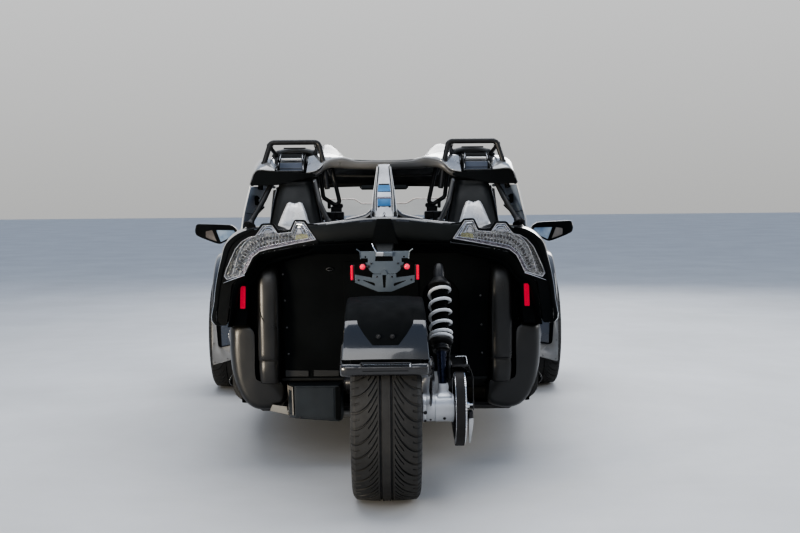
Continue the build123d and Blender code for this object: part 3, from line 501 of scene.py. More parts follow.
def slab(outline, place, depth, holes=()):
    """Flat outline (2-D points) with holes, pushed back by depth. place(u, v, w) gives the 3-D point, w the depth."""
    loops = [list(outline)] + [list(h) for h in holes]
    flat = [p for l in loops for p in l]
    tris = tessellate_polygon([[Vector((x, y, 0)) for x, y in l] for l in loops])
    n = len(flat)
    verts = [place(x, y, 0) for x, y in flat] + [place(x, y, depth) for x, y in flat]
    faces = [tuple(t) for t in tris] + [tuple(i + n for i in reversed(t)) for t in tris]
    s = 0
    for l in loops:
        m = len(l)
        for i in range(m):
            a, b = s + i, s + (i + 1) % m
            faces.append((a, b, b + n, a + n))
        s += m
    return verts, faces


def dissolve_flat(o):
    """Clears the triangulation of flat faces so that bevels run cleanly."""
    bm = bmesh.new()
    bm.from_mesh(o.data)
    bmesh.ops.dissolve_limit(bm, angle_limit=radians(1.0), verts=bm.verts, edges=bm.edges)
    bm.to_mesh(o.data)
    bm.free()
    o.data.polygons.foreach_set("use_smooth", [True] * len(o.data.polygons))
    return o


def plate(name, outline, place, depth, mat, slot, holes=(), edge=1.0, body="chassis", mirror=False, segments=2):
    v, f = slab(outline, place, depth, holes)
    o = piece(name, v, f, mat, slot, body, mirror=mirror)
    dissolve_flat(o)
    if edge:
        bevel(o, edge, segments, 30)
    return o


def frame_at(o, d, up=(0, 0, 1)):
    """place function for a local frame: u to the side, v up, w along d."""
    o, d = Vector(o), Vector(d).normalized()
    up = Vector(up)
    v = (up - d * up.dot(d)).normalized()
    u = v.cross(d) * -1
    return lambda a, b, w=0.0: tuple(o + u * a + v * b + d * w)


def block(c, s, r=0.0):
    """Box of centre c and size s with chamfered edges, as plain geometry for joining."""
    x, y, z = (k / 2 for k in s)
    r = min(r, x * 0.9, y * 0.9, z * 0.9)
    if r <= 0:
        v = [(c[0] + i * x, c[1] + j * y, c[2] + k * z) for i in (-1, 1) for j in (-1, 1) for k in (-1, 1)]
        return v, [(0, 1, 3, 2), (4, 6, 7, 5), (0, 4, 5, 1), (2, 3, 7, 6), (0, 2, 6, 4), (1, 5, 7, 3)]
    v, idx = [], {}
    for i in (-1, 1):
        for j in (-1, 1):
            for k in (-1, 1):
                for a in range(3):
                    p = [i * x, j * y, k * z]
                    for b in range(3):
                        if b != a:
                            p[b] -= (i, j, k)[b] * r
                    idx[(i, j, k, a)] = len(v)
                    v.append(tuple(c[q] + p[q] for q in range(3)))
    f = []
    for a in range(3):
        b, d = [q for q in range(3) if q != a]
        for s1 in (-1, 1):
            loop = []
            for s2, s3 in ((-1, -1), (1, -1), (1, 1), (-1, 1)):
                key = [0, 0, 0]
                key[a], key[b], key[d] = s1, s2, s3
                loop.append(idx[(*key, a)])
            f.append(tuple(loop))
    for a in range(3):
        b, d = [q for q in range(3) if q != a]
        for s2 in (-1, 1):
            for s3 in (-1, 1):
                k0, k1 = [0, 0, 0], [0, 0, 0]
                k0[a], k0[b], k0[d] = -1, s2, s3
                k1[a], k1[b], k1[d] = 1, s2, s3
                f.append((idx[(*k0, b)], idx[(*k1, b)], idx[(*k1, d)], idx[(*k0, d)]))
    for i in (-1, 1):
        for j in (-1, 1):
            for k in (-1, 1):
                f.append((idx[(i, j, k, 0)], idx[(i, j, k, 1)], idx[(i, j, k, 2)]))
    return v, f


def screw(p, d, r=5.0, h=3.0, head="hex"):
    """Screw head at p looking along d: hexagon, or a domed rivet."""
    if head == "hex":
        prof = [(0, 0.01), (0, r * 1.25), (h * 0.25, r * 1.25), (h * 0.3, r), (h * 0.9, r), (h, r * 0.85), (h, 0.01)]
        return lathe(prof, p, d, 6)
    prof = [(0, r), (h * 0.45, r * 0.92), (h * 0.8, r * 0.66), (h, r * 0.3), (h * 1.04, 0.01)]
    return lathe(prof, p, d, 14)


# ------------------------------------------------------------------ camera, floor, light
def set_camera():
    yaw, pitch, roll = radians(0.70), radians(3.76), radians(-0.5)
    fwd = Vector((sin(yaw) * cos(pitch), cos(yaw) * cos(pitch), -sin(pitch)))
    right = Vector((cos(yaw), -sin(yaw), 0.0))
    up = right.cross(fwd)
    r2 = right * cos(roll) + up * sin(roll)
    u2 = r2.cross(fwd)
    cam = bpy.data.cameras.new("camera")
    cam.sensor_width, cam.lens = 36.0, 1251.0 / 800 * 36.0
    cam.clip_start, cam.clip_end = 0.05, 200
    o = bpy.data.objects.new("camera", cam)
    m = Matrix((r2, u2, -fwd)).transposed().to_4x4()
    m.translation = Vector((0.0, -6.157, 1.167))
    o.matrix_world = m
    bpy.context.scene.collection.objects.link(o)
    bpy.context.scene.camera = o


def set_stage():
    s = 40.0
    mesh = bpy.data.meshes.new("floor")
    mesh.from_pydata([(-s, -s, 0), (s, -s, 0), (s, s, 0), (-s, s, 0)], [], [(0, 1, 2, 3)])
    o = bpy.data.objects.new("floor", mesh)
    bpy.context.scene.collection.objects.link(o)
    n = Nodes("pale_floor")
    n.colour(n.noise(1.2, 8), (0.50, 0.50, 0.495), (0.56, 0.56, 0.555))
    n.rough(n.noise(5, 6), 0.6, 0.8)
    n.bump(n.noise(140, 5), 0.15, 0.001)
    mesh.materials.append(n.m)
    w = bpy.data.worlds.new("world")
    bpy.context.scene.world = w
    w.use_nodes = True
    t = w.node_tree
    bg = t.nodes["Background"]
    co = t.nodes.new("ShaderNodeTexCoord")
    sep = t.nodes.new("ShaderNodeSeparateXYZ")
    t.links.new(co.outputs["Generated"], sep.inputs[0])
    ramp = t.nodes.new("ShaderNodeValToRGB")
    e = ramp.color_ramp.elements
    e[0].position, e[0].color = 0.42, (0.40, 0.40, 0.40, 1)
    e[1].position, e[1].color = 1.0, (0.38, 0.50, 0.72, 1)
    for p, c in ((0.50, (0.62, 0.62, 0.61, 1)), (0.60, (0.90, 0.905, 0.91, 1)), (0.78, (0.52, 0.62, 0.80, 1))):
        x = e.new(p)
        x.color = c
    mr = t.nodes.new("ShaderNodeMapRange")
    mr.inputs["From Min"].default_value, mr.inputs["From Max"].default_value = -1, 1
    t.links.new(sep.outputs["Z"], mr.inputs["Value"])
    t.links.new(mr.outputs["Result"], ramp.inputs["Fac"])
    t.links.new(ramp.outputs["Color"], bg.inputs["Color"])
    bg.inputs["Strength"].default_value = 0.75
    for name, loc, size, power, aim in (
        ("top", (0, 0.2, 5.5), (6, 5), 260, (0, 0, 0.5)),
        ("rear", (-2.0, -8.0, 4.2), (4.5, 2.5), 85, (0, -1.2, 0.6)),
        ("left", (-4.6, -5.7, 0.70), (1.5, 0.9), 330, (-0.6, -1.0, 0.45)),
        ("right", (6, 0.5, 2.6), (4, 2.2), 110, (0, 0, 0.6)),
        ("front", (1.5, 7, 3.5), (5, 2.5), 150, (0, 1, 0.5)),
    ):
        lamp = bpy.data.lights.new(name, "AREA")
        lamp.shape, lamp.size, lamp.size_y, lamp.energy = "RECTANGLE", size[0], size[1], power
        if name == "left":
            lamp.color = (1.0, 0.88, 0.70)
        ob = bpy.data.objects.new("light_" + name, lamp)
        ob.location = loc
        ob.rotation_euler = (Vector(aim) - Vector(loc)).to_track_quat("-Z", "Y").to_euler()
        bpy.context.scene.collection.objects.link(ob)
    bpy.context.scene.view_settings.view_transform = "AgX"
    bpy.context.scene.view_settings.look = "AgX - Medium High Contrast"
    bpy.context.scene.view_settings.exposure = 0.15


set_camera()
set_stage()

# ------------------------------------------------------------------ CAD nodes that stay
KEEP = {
    "floor_and_tunnel": ("carpet", 2.0), "side_sills": ("pod", 8.0), "rear_bulkhead": ("matte_deep", 2.0), "rear_deck": ("gloss", 3.0),
    "rear_corner_panels": ("gloss", 3.0), "rear_quarter_panels": ("gloss", 3.0), "tail_lamps": ("lens", 1.5), "red_reflectors": ("red", 1.0),
    "roof_tubes": ("tube", 0), "headrest_fairings": ("matte", 6.0), "roof_side_panels": ("gloss", 3.0), "roof_centre_panel": ("gloss", 2.0),
    "roof_side_windows": ("tint", 0.8), "centre_fin": ("gloss", 3.0), "seat_cushions": ("vinyl", 10), "seat_backs": ("vinyl", 10),
    "dashboard": ("satin", 6.0), "windscreen": ("screen", 0.8), "cowl_panels": ("gloss", 2.0), "bonnet": ("gloss", 2.0),
    "bonnet_side_panels": ("gloss", 2.0), "nose_panels": ("satin", 3.0), "radiator": ("dark_steel", 2.0), "front_wings": ("gloss", 2.0),
    "headlamps": ("lens", 2.0), "door_mirrors": ("gloss", 2.0), "engine_block": ("engine", 6.0), "front_frame": ("tube", 3.0),
    "front_wishbones": ("tube", 0), "front_dampers": ("dark_steel", 0.8), "steering_rack": ("dark_steel", 0.8), "rear_swingarm": ("cast_silver", 4.0),
    "rear_damper": ("damper_blue", 1.0), "rear_spring": ("spring", 0), "drive_belt": ("belt", 0.6), "front_pulley": ("dark_steel", 1.0),
    "belt_guard": ("matte", 1.5), "rear_mudguard": ("gloss", 2.0), "plate_bracket": ("plate", 0.6), "silencer_box": ("dark_steel", 4.0),
    "steering_wheel": ("vinyl", 0), "left_steering_knuckle": ("alloy_black", 2.0), "right_steering_knuckle": ("alloy_black", 2.0),
    "left_front_tyre": ("tyre", 0), "right_front_tyre": ("tyre", 0), "rear_tyre": ("tyre", 0), "left_front_rim": ("alloy_black", 2.0),
    "right_front_rim": ("alloy_black", 2.0), "rear_rim": ("alloy_black", 2.0), "left_brake_disc": ("disc", 1.0), "right_brake_disc": ("disc", 1.0),
    "rear_axle_pulley": ("dark_steel", 1.0),
}
for node, (mat, w) in KEEP.items():
    cad(node, mat, w)

# ------------------------------------------------------------------ tyres
def tread_tyre(name, node, body, cx, cy, width, radius, bead, pitches, depth=6.5):
    """Tyre with a cut tread: smooth centre rib, two straight grooves and swept main grooves to each shoulder.
    The grid is sheared so that its columns run along the swept grooves."""
    w = width / 2
    k = w / 126.0
    f = lambda a: -92.0 * k * (1 - (1 - min(max((a / k - 26) / 90, 0), 1)) ** 2.3)
    crown = [0, 8, 14.5, 16, 22.5, 24, 29, 31.5, 40, 50, 60, 62, 72, 82, 92, 94, 102, 108.4]
    crown = [c * k for c in crown]
    half = []
    rise = lambda x: radius - 6.0 * (x / (w * 0.86)) ** 2
    for c in crown:
        half.append((c, rise(c)))
    edge = w * 0.86
    half += [(edge + 3, radius - 8.5), (w * 0.93, radius - 15), (w * 0.965, radius - 22), (w * 0.985, radius - 32)]
    mid = bead + (radius - bead) * 0.5
    half += [(w * 0.992, radius - 38), (w * 0.985, radius - 40), (w * 0.99, mid + 4), (w * 0.995, mid - 2), (w * 0.985, bead + 32), (w * 0.992, bead + 28), (w * 0.992, bead + 24),
             (w * 0.95, bead + 17), (w * 0.93, bead + 10), (w * 0.87, bead + 7), (w * 0.86, bead + 2), (w * 0.80, bead)]
    prof = [(-x, r) for x, r in half[:0:-1]] + half
    inner = [(w * 0.76, bead - 1), (w * 0.7, bead + 6), (0, bead + 8), (-w * 0.7, bead + 6), (-w * 0.76, bead - 1)]
    prof = prof + inner
    pitch = 2 * pi / pitches
    # stations along one pitch: share of the pitch, main groove open, half-pitch sipe open
    st = [(0.0, 0, 0), (0.395, 0, 0), (0.42, 0, 1), (0.50, 0, 1), (0.525, 0, 0), (0.80, 0, 0), (0.83, 1, 0), (0.965, 1, 0)]
    verts, faces = [], []
    rows = pitches * len(st)
    cols = len(prof)
    for p in range(pitches):
        for share, main, sipe in st:
            for x, r in prof:
                a = abs(x)
                shear = f(a) if a < w and r > radius - 45 else f(w)
                if r < radius - 45:
                    shear = f(w)
                half_turn = (0.5 if x < 0 else 0.0)
                phi = (p + share + half_turn) * pitch + shear / radius
                rr = r
                on_crown = r > radius - 24
                if on_crown:
                    if 15.0 * k < a < 23.5 * k:
                        rr -= depth
                    elif main and a > 31 * k:
                        rr -= depth * (0.85 if r < radius - 12 else 1.0)
                    elif sipe and (31 * k < a < 61 * k):
                        rr -= depth * 0.8
                    elif sipe and a > 93 * k:
                        rr -= depth * 0.55
                verts.append((cx + x, cy - rr * cos(phi), radius + rr * sin(phi)))
    for i in range(rows):
        for j in range(cols):
            a, b = i * cols + j, i * cols + (j + 1) % cols
            c, d = ((i + 1) % rows) * cols + (j + 1) % cols, ((i + 1) % rows) * cols + j
            faces.append((a, b, c, d))
    o = piece(name, verts, faces, "tyre", "tyre", body, sharp=30)
    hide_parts(node)
    return o


tread_tyre("rear_tyre_treaded", "rear_tyre", "rear_wheel", 0, REAR_Y, 252, REAR_R, 254, 38)
for side, s in (("left", -1), ("right", 1)):
    tread_tyre(side + "_front_tyre_treaded", side + "_front_tyre", side + "_front_wheel", s * TRACK_X, FRONT_Y, 225, FRONT_R, 229, 38, 6.0)

# ------------------------------------------------------------------ rear mudguard
def mudguard():
    top = [(-1866, 563), (-1858, 590), (-1838, 632), (-1812, 668), (-1780, 698), (-1735, 726), (-1672, 745), (-1600, 751), (-1520, 749), (-1440, 740), (-1380, 716), (-1330, 685), (-1290, 640), (-1262, 600)]
    low = [(-1822, 560), (-1812, 576), (-1792, 604), (-1764, 634), (-1730, 660), (-1690, 680), (-1640, 692), (-1590, 698), (-1530, 697), (-1460, 694), (-1400, 676), (-1352, 652), (-1316, 622), (-1290, 585)]
    rows = []
    for i, ((y, z), (yl, zl)) in enumerate(zip(top, low)):
        flare = max(0.0, 1 - i / 6.0)
        xo = 139 + 11 * flare
        xi = 129 + 2 * flare
        row = []
        for s in (-1, 1):
            part = [(s * (xo + 7 * flare), yl, zl), (s * (xo + 5 * flare), (y + 2 * yl) / 3, (z + 2 * zl) / 3), (s * (xo + 2), (3 * y + yl) / 4, (3 * z + zl) / 4), (s * (xo - 1), y + (yl - y) * 0.07, z + (zl - z) * 0.07),
                    (s * (xi + 3), y + (yl - y) * 0.012, z + (zl - z) * 0.012), (s * (xi - 10), y, z), (s * 70, y, z + 1.0)]
            row.append(part)
        rows.append(row[0] + [(0, top[i][0], top[i][1] + 1.5)] + row[1][::-1])
    rows = [catmull(r, 4, (3, 4, 10, 11)) for r in rows]
    cols = [catmull([r[i] for r in rows], 4) for i in range(len(rows[0]))]
    g = [[cols[i][j] for i in range(len(cols))] for j in range(len(cols[0]))]
    v, f = sheet_mesh(g, 4.0)
    o = piece("mudguard_shell", v, f, "gloss", "gloss_black", sharp=40)
    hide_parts("rear_mudguard")
    # satin crown over the glossy lower part
    o.data.materials.append(M["matte_deep"])
    for p in o.data.polygons:
        if p.center.z / MM > 690 and p.center.y / MM < -1180:
            p.material_index = 1
    bevel(o, 1.2, 2, 50)

    # grained insert let into the back and top: half width along the profile
    dense = catmull([(0, y, z) for y, z in top], 12)
    table = [(563, 0), (610, 44), (611, 45), (645, 73), (680, 97), (694, 100), (697, 100), (760, 100)]
    use = []
    for i, p in enumerate(dense):
        if p.z < 610 and p.y < -1700:
            continue
        if p.y > -1290:
            break
        z = p.z if p.y < -1600 else 760
        for (z0, w0), (z1, w1) in zip(table, table[1:]):
            if z0 <= z <= z1:
                w = w0 + (w1 - w0) * (z - z0) / (z1 - z0)
                break
        d = (dense[i + 1] - dense[i - 1]).normalized()
        n = Vector((0, -d.z, d.y))
        if n.z < 0 and p.y > -1600:
            n = -n
        if n.y > 0 and p.y < -1700:
            n = -n
        use.append((p, w, n))
    verts, faces = [], []
    m = 17
    for p, w, n in use:
        for lift, pull in ((2.6, 0), (-1.0, 0)):
            for j in range(m):
                u = -1 + 2 * j / (m - 1)
                q = p + n * (lift + 1.4 * (1 - u * u) - (1.2 if abs(u) == 1 else 0))
                verts.append((u * w, q.y, q.z))
    r = 2 * m
    for i in range(len(use) - 1):
        for j in range(m - 1):
            a, b = i * r + j, i * r + j + 1
            faces.append((a, b, b + r, a + r))
            faces.append((a + m, a + m + r, b + m + r, b + m))
        for j in (0, m - 1):
            a = i * r + j
            faces.append((a, a + r, a + r + m, a + m))
    for i in (0, len(use) - 1):
        for j in range(m - 1):
            a = i * r + j
            faces.append((a, a + 1, a + 1 + m, a + m))
    o = piece("mudguard_insert", verts, faces, "matte_deep", "matte_black", sharp=50)
    screws = []
    for x in (-25, 24):
        screws.append(screw((x, -1845, 641), (0, -0.85, 0.52), 4.2, 3.2, "dome"))
        screws.append(lathe([(0, 8.5), (1.2, 8.2), (1.4, 6.0), (0.4, 4.4)], (x, -1844.2, 641), (0, -0.85, 0.52), 20))
    v, f = join(screws)
    piece("mudguard_screws", v, f, "satin", "matte_black")

    # inner splash arch under the shell
    arch = [[(x, y + 10 * (1 if y < -1600 else -0.4), z - 14) for x in (-122, -60, 0, 60, 122)] for y, z in top]
    skin("mudguard_liner", arch, "matte_deep", "matte_black", t=3, ku=2, kv=2, edge=0)


mudguard()


def mudguard_band():
    """Lower band across the back: moulded bar with rounded ends, a raised centre and a strip lens."""
    def ring(x, drop=0.0, grow=0.0, fwd=0.0):
        pts = [(-1871, 507), (-1886, 512), (-1893, 522), (-1895, 538), (-1890, 548), (-1877, 551), (-1856, 546), (-1852, 530), (-1858, 514)]
        c = (-1874, 530)
        return [(x, c[0] + (y - c[0]) * (1 - grow) + fwd, c[1] + (z - c[1]) * (1 - grow * 0.6) - drop) for y, z in pts]
    xs = [(-158, 0.5, 9), (-156, 0.16, 3), (-150, 0, 0), (-95, 0, 0), (-90, 0, 0), (0, 0, 0), (90, 0, 0), (95, 0, 0), (142, 0, 0), (147, 0.16, 3), (149, 0.5, 9)]
    rings = [ring(x, 0, g, f) for x, g, f in xs]
    solid_loft("mudguard_band", rings, "gloss_soft", "gloss_black", ku=3, kv=2, edge=0)
    # raised housing of the strip lens
    hx = 90
    outline = [(-hx, 4), (-hx + 5, -14), (-hx + 12, -21), (hx - 12, -21), (hx - 5, -14), (hx, 4), (hx - 4, 7), (-hx + 4, 7)]
    face = lambda a, b, w=0: (a, -1896.0 - 0.10 * b + w, 550 + b)
    plate("band_lamp_frame", outline, lambda a, b, w=0: (a, min(-1894.6 + w, -1880.0), 550 + b), 9, "gloss_soft", "gloss_black",
          holes=[[(-84, 4), (84, 4), (80, -14), (-80, -14)]], edge=1.6)
    v, f = join([block((-80 + 10 * i, -1889.0, 545.4), (8.6, 3.0, 15.0), 1.2) for i in range(17)])
    piece("band_lamp_cells", v, f, "lamp_back", "clear_lens")
    rows = [[(x, -1894.4 + 2.2 * (abs(t) ** 3), 545 + 8.6 * t) for x in (-83 + abs(t - 1) * 1.6, -50, 0, 50, 83 - abs(t - 1) * 1.6)] for t in (-1, -0.5, 0, 0.5, 1)]
    v, f = sheet_mesh(grid_from(rows, 5, 3), 1.6)
    piece("band_lamp_lens", v, f, "lens_dark", "smoked_glass")
    v, f = join([block((84.5, -1893.2, 546), (7, 3.4, 13), 1.5)])
    piece("band_lamp_end", v, f, "chrome", "clear_lens")
    v, f = join([block((-1, -1894.2, 527.6), (158, 2.4, 2.6), 0.6)])
    piece("band_lamp_shadow_gap", v, f, "matte_deep", "matte_black")
    # stay from the band to the arm, on the belt's side
    g = []
    for t, (y, z0, z1, x) in enumerate(((-1872, 503, 556, 151), (-1840, 500, 566, 158), (-1780, 470, 560, 166), (-1690, 420, 500, 168), (-1610, 352, 420, 166))):
        g.append([(x - 3, y, z0), (x + 1, y, z0 + 3), (x + 3, y, (z0 + z1) / 2), (x + 1, y, z1 - 3), (x - 3, y, z1), (x - 6, y, (z0 + z1) / 2)])
    solid_loft("mudguard_stay", g, "gloss_soft", "gloss_black", ku=2, kv=4)
    v, f = tube_mesh(bent([(-150, -1868, 540), (-152, -1840, 548), (-150, -1760, 600)], 20, 5), 6.5, 10)
    piece("mudguard_stay_left", v, f, "satin", "matte_black")


mudguard_band()


# ------------------------------------------------------------------ plate bracket
def plate_bracket():
    y0 = -1420.0
    place = lambda a, b, w=0.0: (a, y0 - 4 + w, b)
    half = [(0, 915), (96, 915), (93, 888), (64, 888), (64, 872), (73, 872), (70, 864), (66, 860), (58, 842), (46, 832), (40, 829), (0, 829)]
    outline = half[1:-1] + [(-x, z) for x, z in half[-2:0:-1]]
    holes = [[(73 + 3.5 * cos(t * pi / 6), 893 + 3.5 * sin(t * pi / 6)) for t in range(12)], [(-73 + 3.5 * cos(t * pi / 6), 893 + 3.5 * sin(t * pi / 6)) for t in range(12)],
             [(-34, 895), (30, 895), (32, 877), (-36, 877)]]
    o = plate("bracket_upper_sheet", outline, place, 3.2, "plate", "plate_steel", holes, edge=0.7)
    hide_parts("plate_bracket")
    low = [(-113, 827), (-48, 814.5), (-47, 828), (-20, 828), (-14, 827), (-8, 842), (-2, 844), (4, 842), (10, 827), (16, 828), (43, 828), (44, 814.5), (113, 823), (113, 796), (24, 760.5), (-26, 760.5), (-113, 796)]
    holes = [[(-9, 824), (5, 824), (2, 776), (-6, 776)],
             [(-82, 806), (-80, 803), (-40, 784), (-37, 785), (-38, 793), (-44, 796)],
             [(80, 804), (78, 801), (36, 782), (33, 783), (34, 791), (40, 794)]]
    plate("bracket_lower_sheet", low, lambda a, b, w=0.0: (a, y0 - 8.5 + w + (828 - b) * 0.03, b), 3.2, "plate", "plate_steel", holes, edge=0.7)
    # turned ears of the top bar, bent back from the sheet
    ears = []
    for s in (-1, 1):
        v, f = slab([(0, 0), (13, 10), (11, 14), (-2, 4), (-6, -26), (-2, -28)], lambda a, b, w, s=s: (s * (95 + a), y0 - 7 - a * 0.4 + w, 912 + b), 3.0)
        ears.append((v, f))
    v, f = join(ears)
    o = piece("bracket_ears", v, f, "plate", "plate_steel")
    dissolve_flat(o)
    bevel(o, 0.6)
    # a second, deeper sheet behind the openings
    plate("bracket_back_sheet", [(-62, 884), (62, 884), (58, 836), (30, 818), (-30, 818), (-58, 836)], lambda a, b, w=0.0: (a, y0 + 8 + w, b), 3.0, "matte_deep", "matte_black", edge=0.6)
    # small plate lamp in two shades, with its dark recess
    v, f = join([block((-18, y0 - 9, 903), (30, 16, 16), 2.0)])
    piece("plate_lamp_left", v, f, "steel", "clear_lens")
    v, f = join([block((14, y0 - 9, 903), (33, 16, 16), 2.0)])
    piece("plate_lamp_right", v, f, "plate", "plate_steel")
    v, f = join([block((-2, y0 + 4, 886), (62, 12, 18), 1.5)])
    piece("plate_lamp_recess", v, f, "matte_deep", "matte_black")
    v, f = tube_mesh([(-49, y0 + 6, 944), (-44, y0 - 2, 932), (-32, y0 - 8, 912)], [1.5, 2.4, 3.0], 8)
    piece("bracket_brace_strip", v, f, "chrome", "silver_alloy")
    v, f = join([block((-60, y0 - 5.5, 903), (2.0, 1.6, 26), 0.4)])
    # round red lamps on stalks
    lamps, rims, stalks = [], [], []
    for x in (-84, 84):
        lamps.append(lathe([(0, 11.0), (5, 10.8), (8, 9.2), (10, 5.8), (10.8, 0.01)], (x, y0 - 8, 856), (0, -1, 0), 28))
        rims.append(lathe([(-6, 0.01), (-6, 12.5), (3, 13.2), (6, 13.0), (6.2, 11.4), (3, 11.0)], (x, y0 - 6, 856), (0, -1, 0), 28))
        s = 1 if x > 0 else -1
        stalks.append(tube_mesh([(x - s * 10, y0 - 4, 856), (x - s * 24, y0 - 3, 857)], 3.4, 10))
        stalks.append(lathe([(0, 5.5), (4, 5.5), (4.5, 4.6), (4.5, 0.01)], (x - s * 21, y0 - 5, 857), (0, -1, 0), 6))
    v, f = join(lamps)
    piece("bracket_round_lamps", v, f, M["red_lamp"], "red_lens")
    v, f = join(rims + stalks)
    piece("bracket_lamp_rims", v, f, "satin", "matte_black")
    # upright red reflectors at both sides
    v, f = join([block((s * 125, y0 - 6, 834), (10, 7, 56), 2.2) for s in (-1, 1)])
    piece("bracket_side_reflectors", v, f, "red", "red_lens")
    v, f = join([block((s * 121, y0 - 1, 833), (15, 4, 60), 1.5) for s in (-1, 1)] + [block((s * 112, y0 - 2, 818), (16, 3, 8), 1.0) for s in (-1, 1)])
    piece("bracket_reflector_backs", v, f, "satin", "matte_black")
    # bolts and the arm that runs forward to the deck
    heads = [screw((x, y0 - 8.5, z), (0, -1, 0), 3.6, 3.0, "dome") for x, z in ((-30, 818), (27, 818), (-52, 868), (50, 868), (-100, 806), (100, 806))]
    v, f = join(heads)
    piece("bracket_bolts", v, f, "dark_steel", "dark_steel")
    rings = [[(s * w, y, z + t) for s, t in ((-1, h), (1, h), (1, -h), (-1, -h))] for y, z, w, h in ((y0 + 2, 893, 24, 10), (-1380, 898, 26, 12), (-1290, 912, 32, 13), (-1190, 926, 38, 14), (-1150, 930, 38, 14))]
    solid_loft("bracket_arm", rings, "matte", "matte_black", ku=1, kv=4, edge=3)


def red_lamp_material():
    n = Nodes("red_lamp_lens")
    v = n.new("ShaderNodeTexVoronoi", Scale=300.0)
    n.link(n.co, v.inputs["Vector"])
    n.colour(v.outputs["Distance"], (0.55, 0.006, 0.03), (0.85, 0.03, 0.07), 0.1, 0.5)
    n.rough(n.noise(60, 4), 0.1, 0.2)
    n.b.inputs["Emission Color"].default_value = (1.0, 0.03, 0.09, 1)
    n.b.inputs["Emission Strength"].default_value = 0.38
    n.set(Coat_Weight=1.0)
    n.bump(v.outputs["Distance"], 0.4, 0.0008)
    return n.m


M["red_lamp"] = red_lamp_material()
plate_bracket()


# ------------------------------------------------------------------ damper and spring
FOOT, HEAD = Vector((211, -1538, 426)), Vector((211, -1268, 850))
DAMP = (HEAD - FOOT).normalized()


def rear_suspension():
    def at(p, ang, r, side=Vector((1, 0, 0))):
        w = DAMP.cross(side)
        return FOOT + DAMP * p + (side * cos(ang) + w * sin(ang)) * r
    # spring: open turns above, nearly closed below, ends ground flat
    pts = []
    turns, steps = 6.0, 44
    stations = [(0, 181), (0.9, 186), (1.8, 204), (2.8, 246), (3.8, 292), (4.8, 341), (5.6, 382), (6.0, 396)]
    for i in range(int(turns * steps) + 1):
        t = i / steps
        for (t0, p0), (t1, p1) in zip(stations, stations[1:]):
            if t0 <= t <= t1 + 1e-6:
                u = (t - t0) / (t1 - t0)
                p = p0 + (p1 - p0) * u
                break
        pts.append((t, p))
    # smooth the pitch so that turns flow into one another
    ps = [p for t, p in pts]
    for _ in range(60):
        ps = [ps[0]] + [(a + b + c) / 3 for a, b, c in zip(ps, ps[1:], ps[2:])] + [ps[-1]]
    line = [at(p, 2 * pi * t + 0.6, 40.0) for (t, _), p in zip(pts, ps)]
    v, f = tube_mesh(line, 6.5, 14)
    o = piece("coil_spring", v, f, "spring", "white_spring", sharp=60)
    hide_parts("rear_spring")
    # damper: eye, body with adjuster rings, collars, rod and bump stop
    body = lathe([(-4, 0.01), (-4, 15), (20, 15.5), (32, 17), (36, 18), (112, 18), (116, 20), (128, 20), (128, 0.01)], FOOT, DAMP, 32)
    o = piece("damper_body", *body, "damper_blue", "dark_steel")
    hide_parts("rear_damper")
    thread = [(124, 0.01), (124, 20.5)]
    for i in range(13):
        thread += [(125 + i * 4.4, 20.5), (127 + i * 4.4, 22.2), (128 + i * 4.4, 22.2), (129 + i * 4.4, 20.5)]
    thread += [(182, 20.5), (182, 0.01)]
    v, f = join([lathe(thread, FOOT, DAMP, 32)])
    piece("damper_thread", v, f, "dark_steel", "dark_steel", sharp=50)
    rings = [lathe([(133, 22), (133, 32), (135, 34), (140, 34), (142, 32), (142, 22)], FOOT, DAMP, 18), lathe([(145, 22), (145, 30), (149, 31), (152, 30), (152, 22)], FOOT, DAMP, 40),
             lathe([(158, 20), (160, 34), (166, 44), (172, 46.5), (175, 45), (175, 33), (184, 31), (186, 18)], FOOT, DAMP, 40),
             lathe([(404, 12), (404, 33), (406, 44), (412, 45), (418, 40), (430, 33), (440, 26)], FOOT, DAMP, 40)]
    v, f = join(rings)
    piece("spring_seats", v, f, "satin", "matte_black")
    cover = [(182, 0.01), (182, 29), (188, 31)]
    for i in range(20):
        cover += [(192 + i * 10, 31.5), (197 + i * 10, 31.5), (198 + i * 10, 29.5), (201 + i * 10, 29.5)]
    cover += [(396, 28), (402, 22), (402, 0.01)]
    v, f = lathe(cover, FOOT, DAMP, 32)
    piece("damper_dust_cover", v, f, "matte_deep", "matte_black")
    v, f = join([lathe([(410, 0.01), (410, 24), (470, 22), (495, 18), (503, 14), (503, 0.01)], FOOT, DAMP, 24)])
    piece("damper_head", v, f, "satin", "matte_black")
    # reservoir, and the hose with clips up the body
    v, f = lathe([(14, 0.01), (14, 8), (18, 10), (84, 10), (88, 8), (92, 5), (92, 0.01)], FOOT + Vector((29, 0, 0)), DAMP, 24)
    piece("damper_reservoir", v, f, "satin", "matte_black")
    hose = bent([tuple(FOOT + DAMP * 8 + Vector((26, -6, 0))), tuple(FOOT + DAMP * 60 + Vector((30, -8, 0))), tuple(FOOT + DAMP * 110 + Vector((27, -6, 0))), tuple(FOOT + DAMP * 150 + Vector((36, 20, 6)))], 20, 6)
    v, f = tube_mesh(hose, 3.6, 10)
    v2, f2 = join([(v, f)] + [lathe([(-2, 0.01), (-2, 6), (2, 6), (2, 0.01)], tuple(hose[i]), tuple(hose[i + 1] - hose[i]), 12) for i in (3, 8, 12)])
    piece("damper_line", v2, f2, "rubber", "matte_black")


rear_suspension()


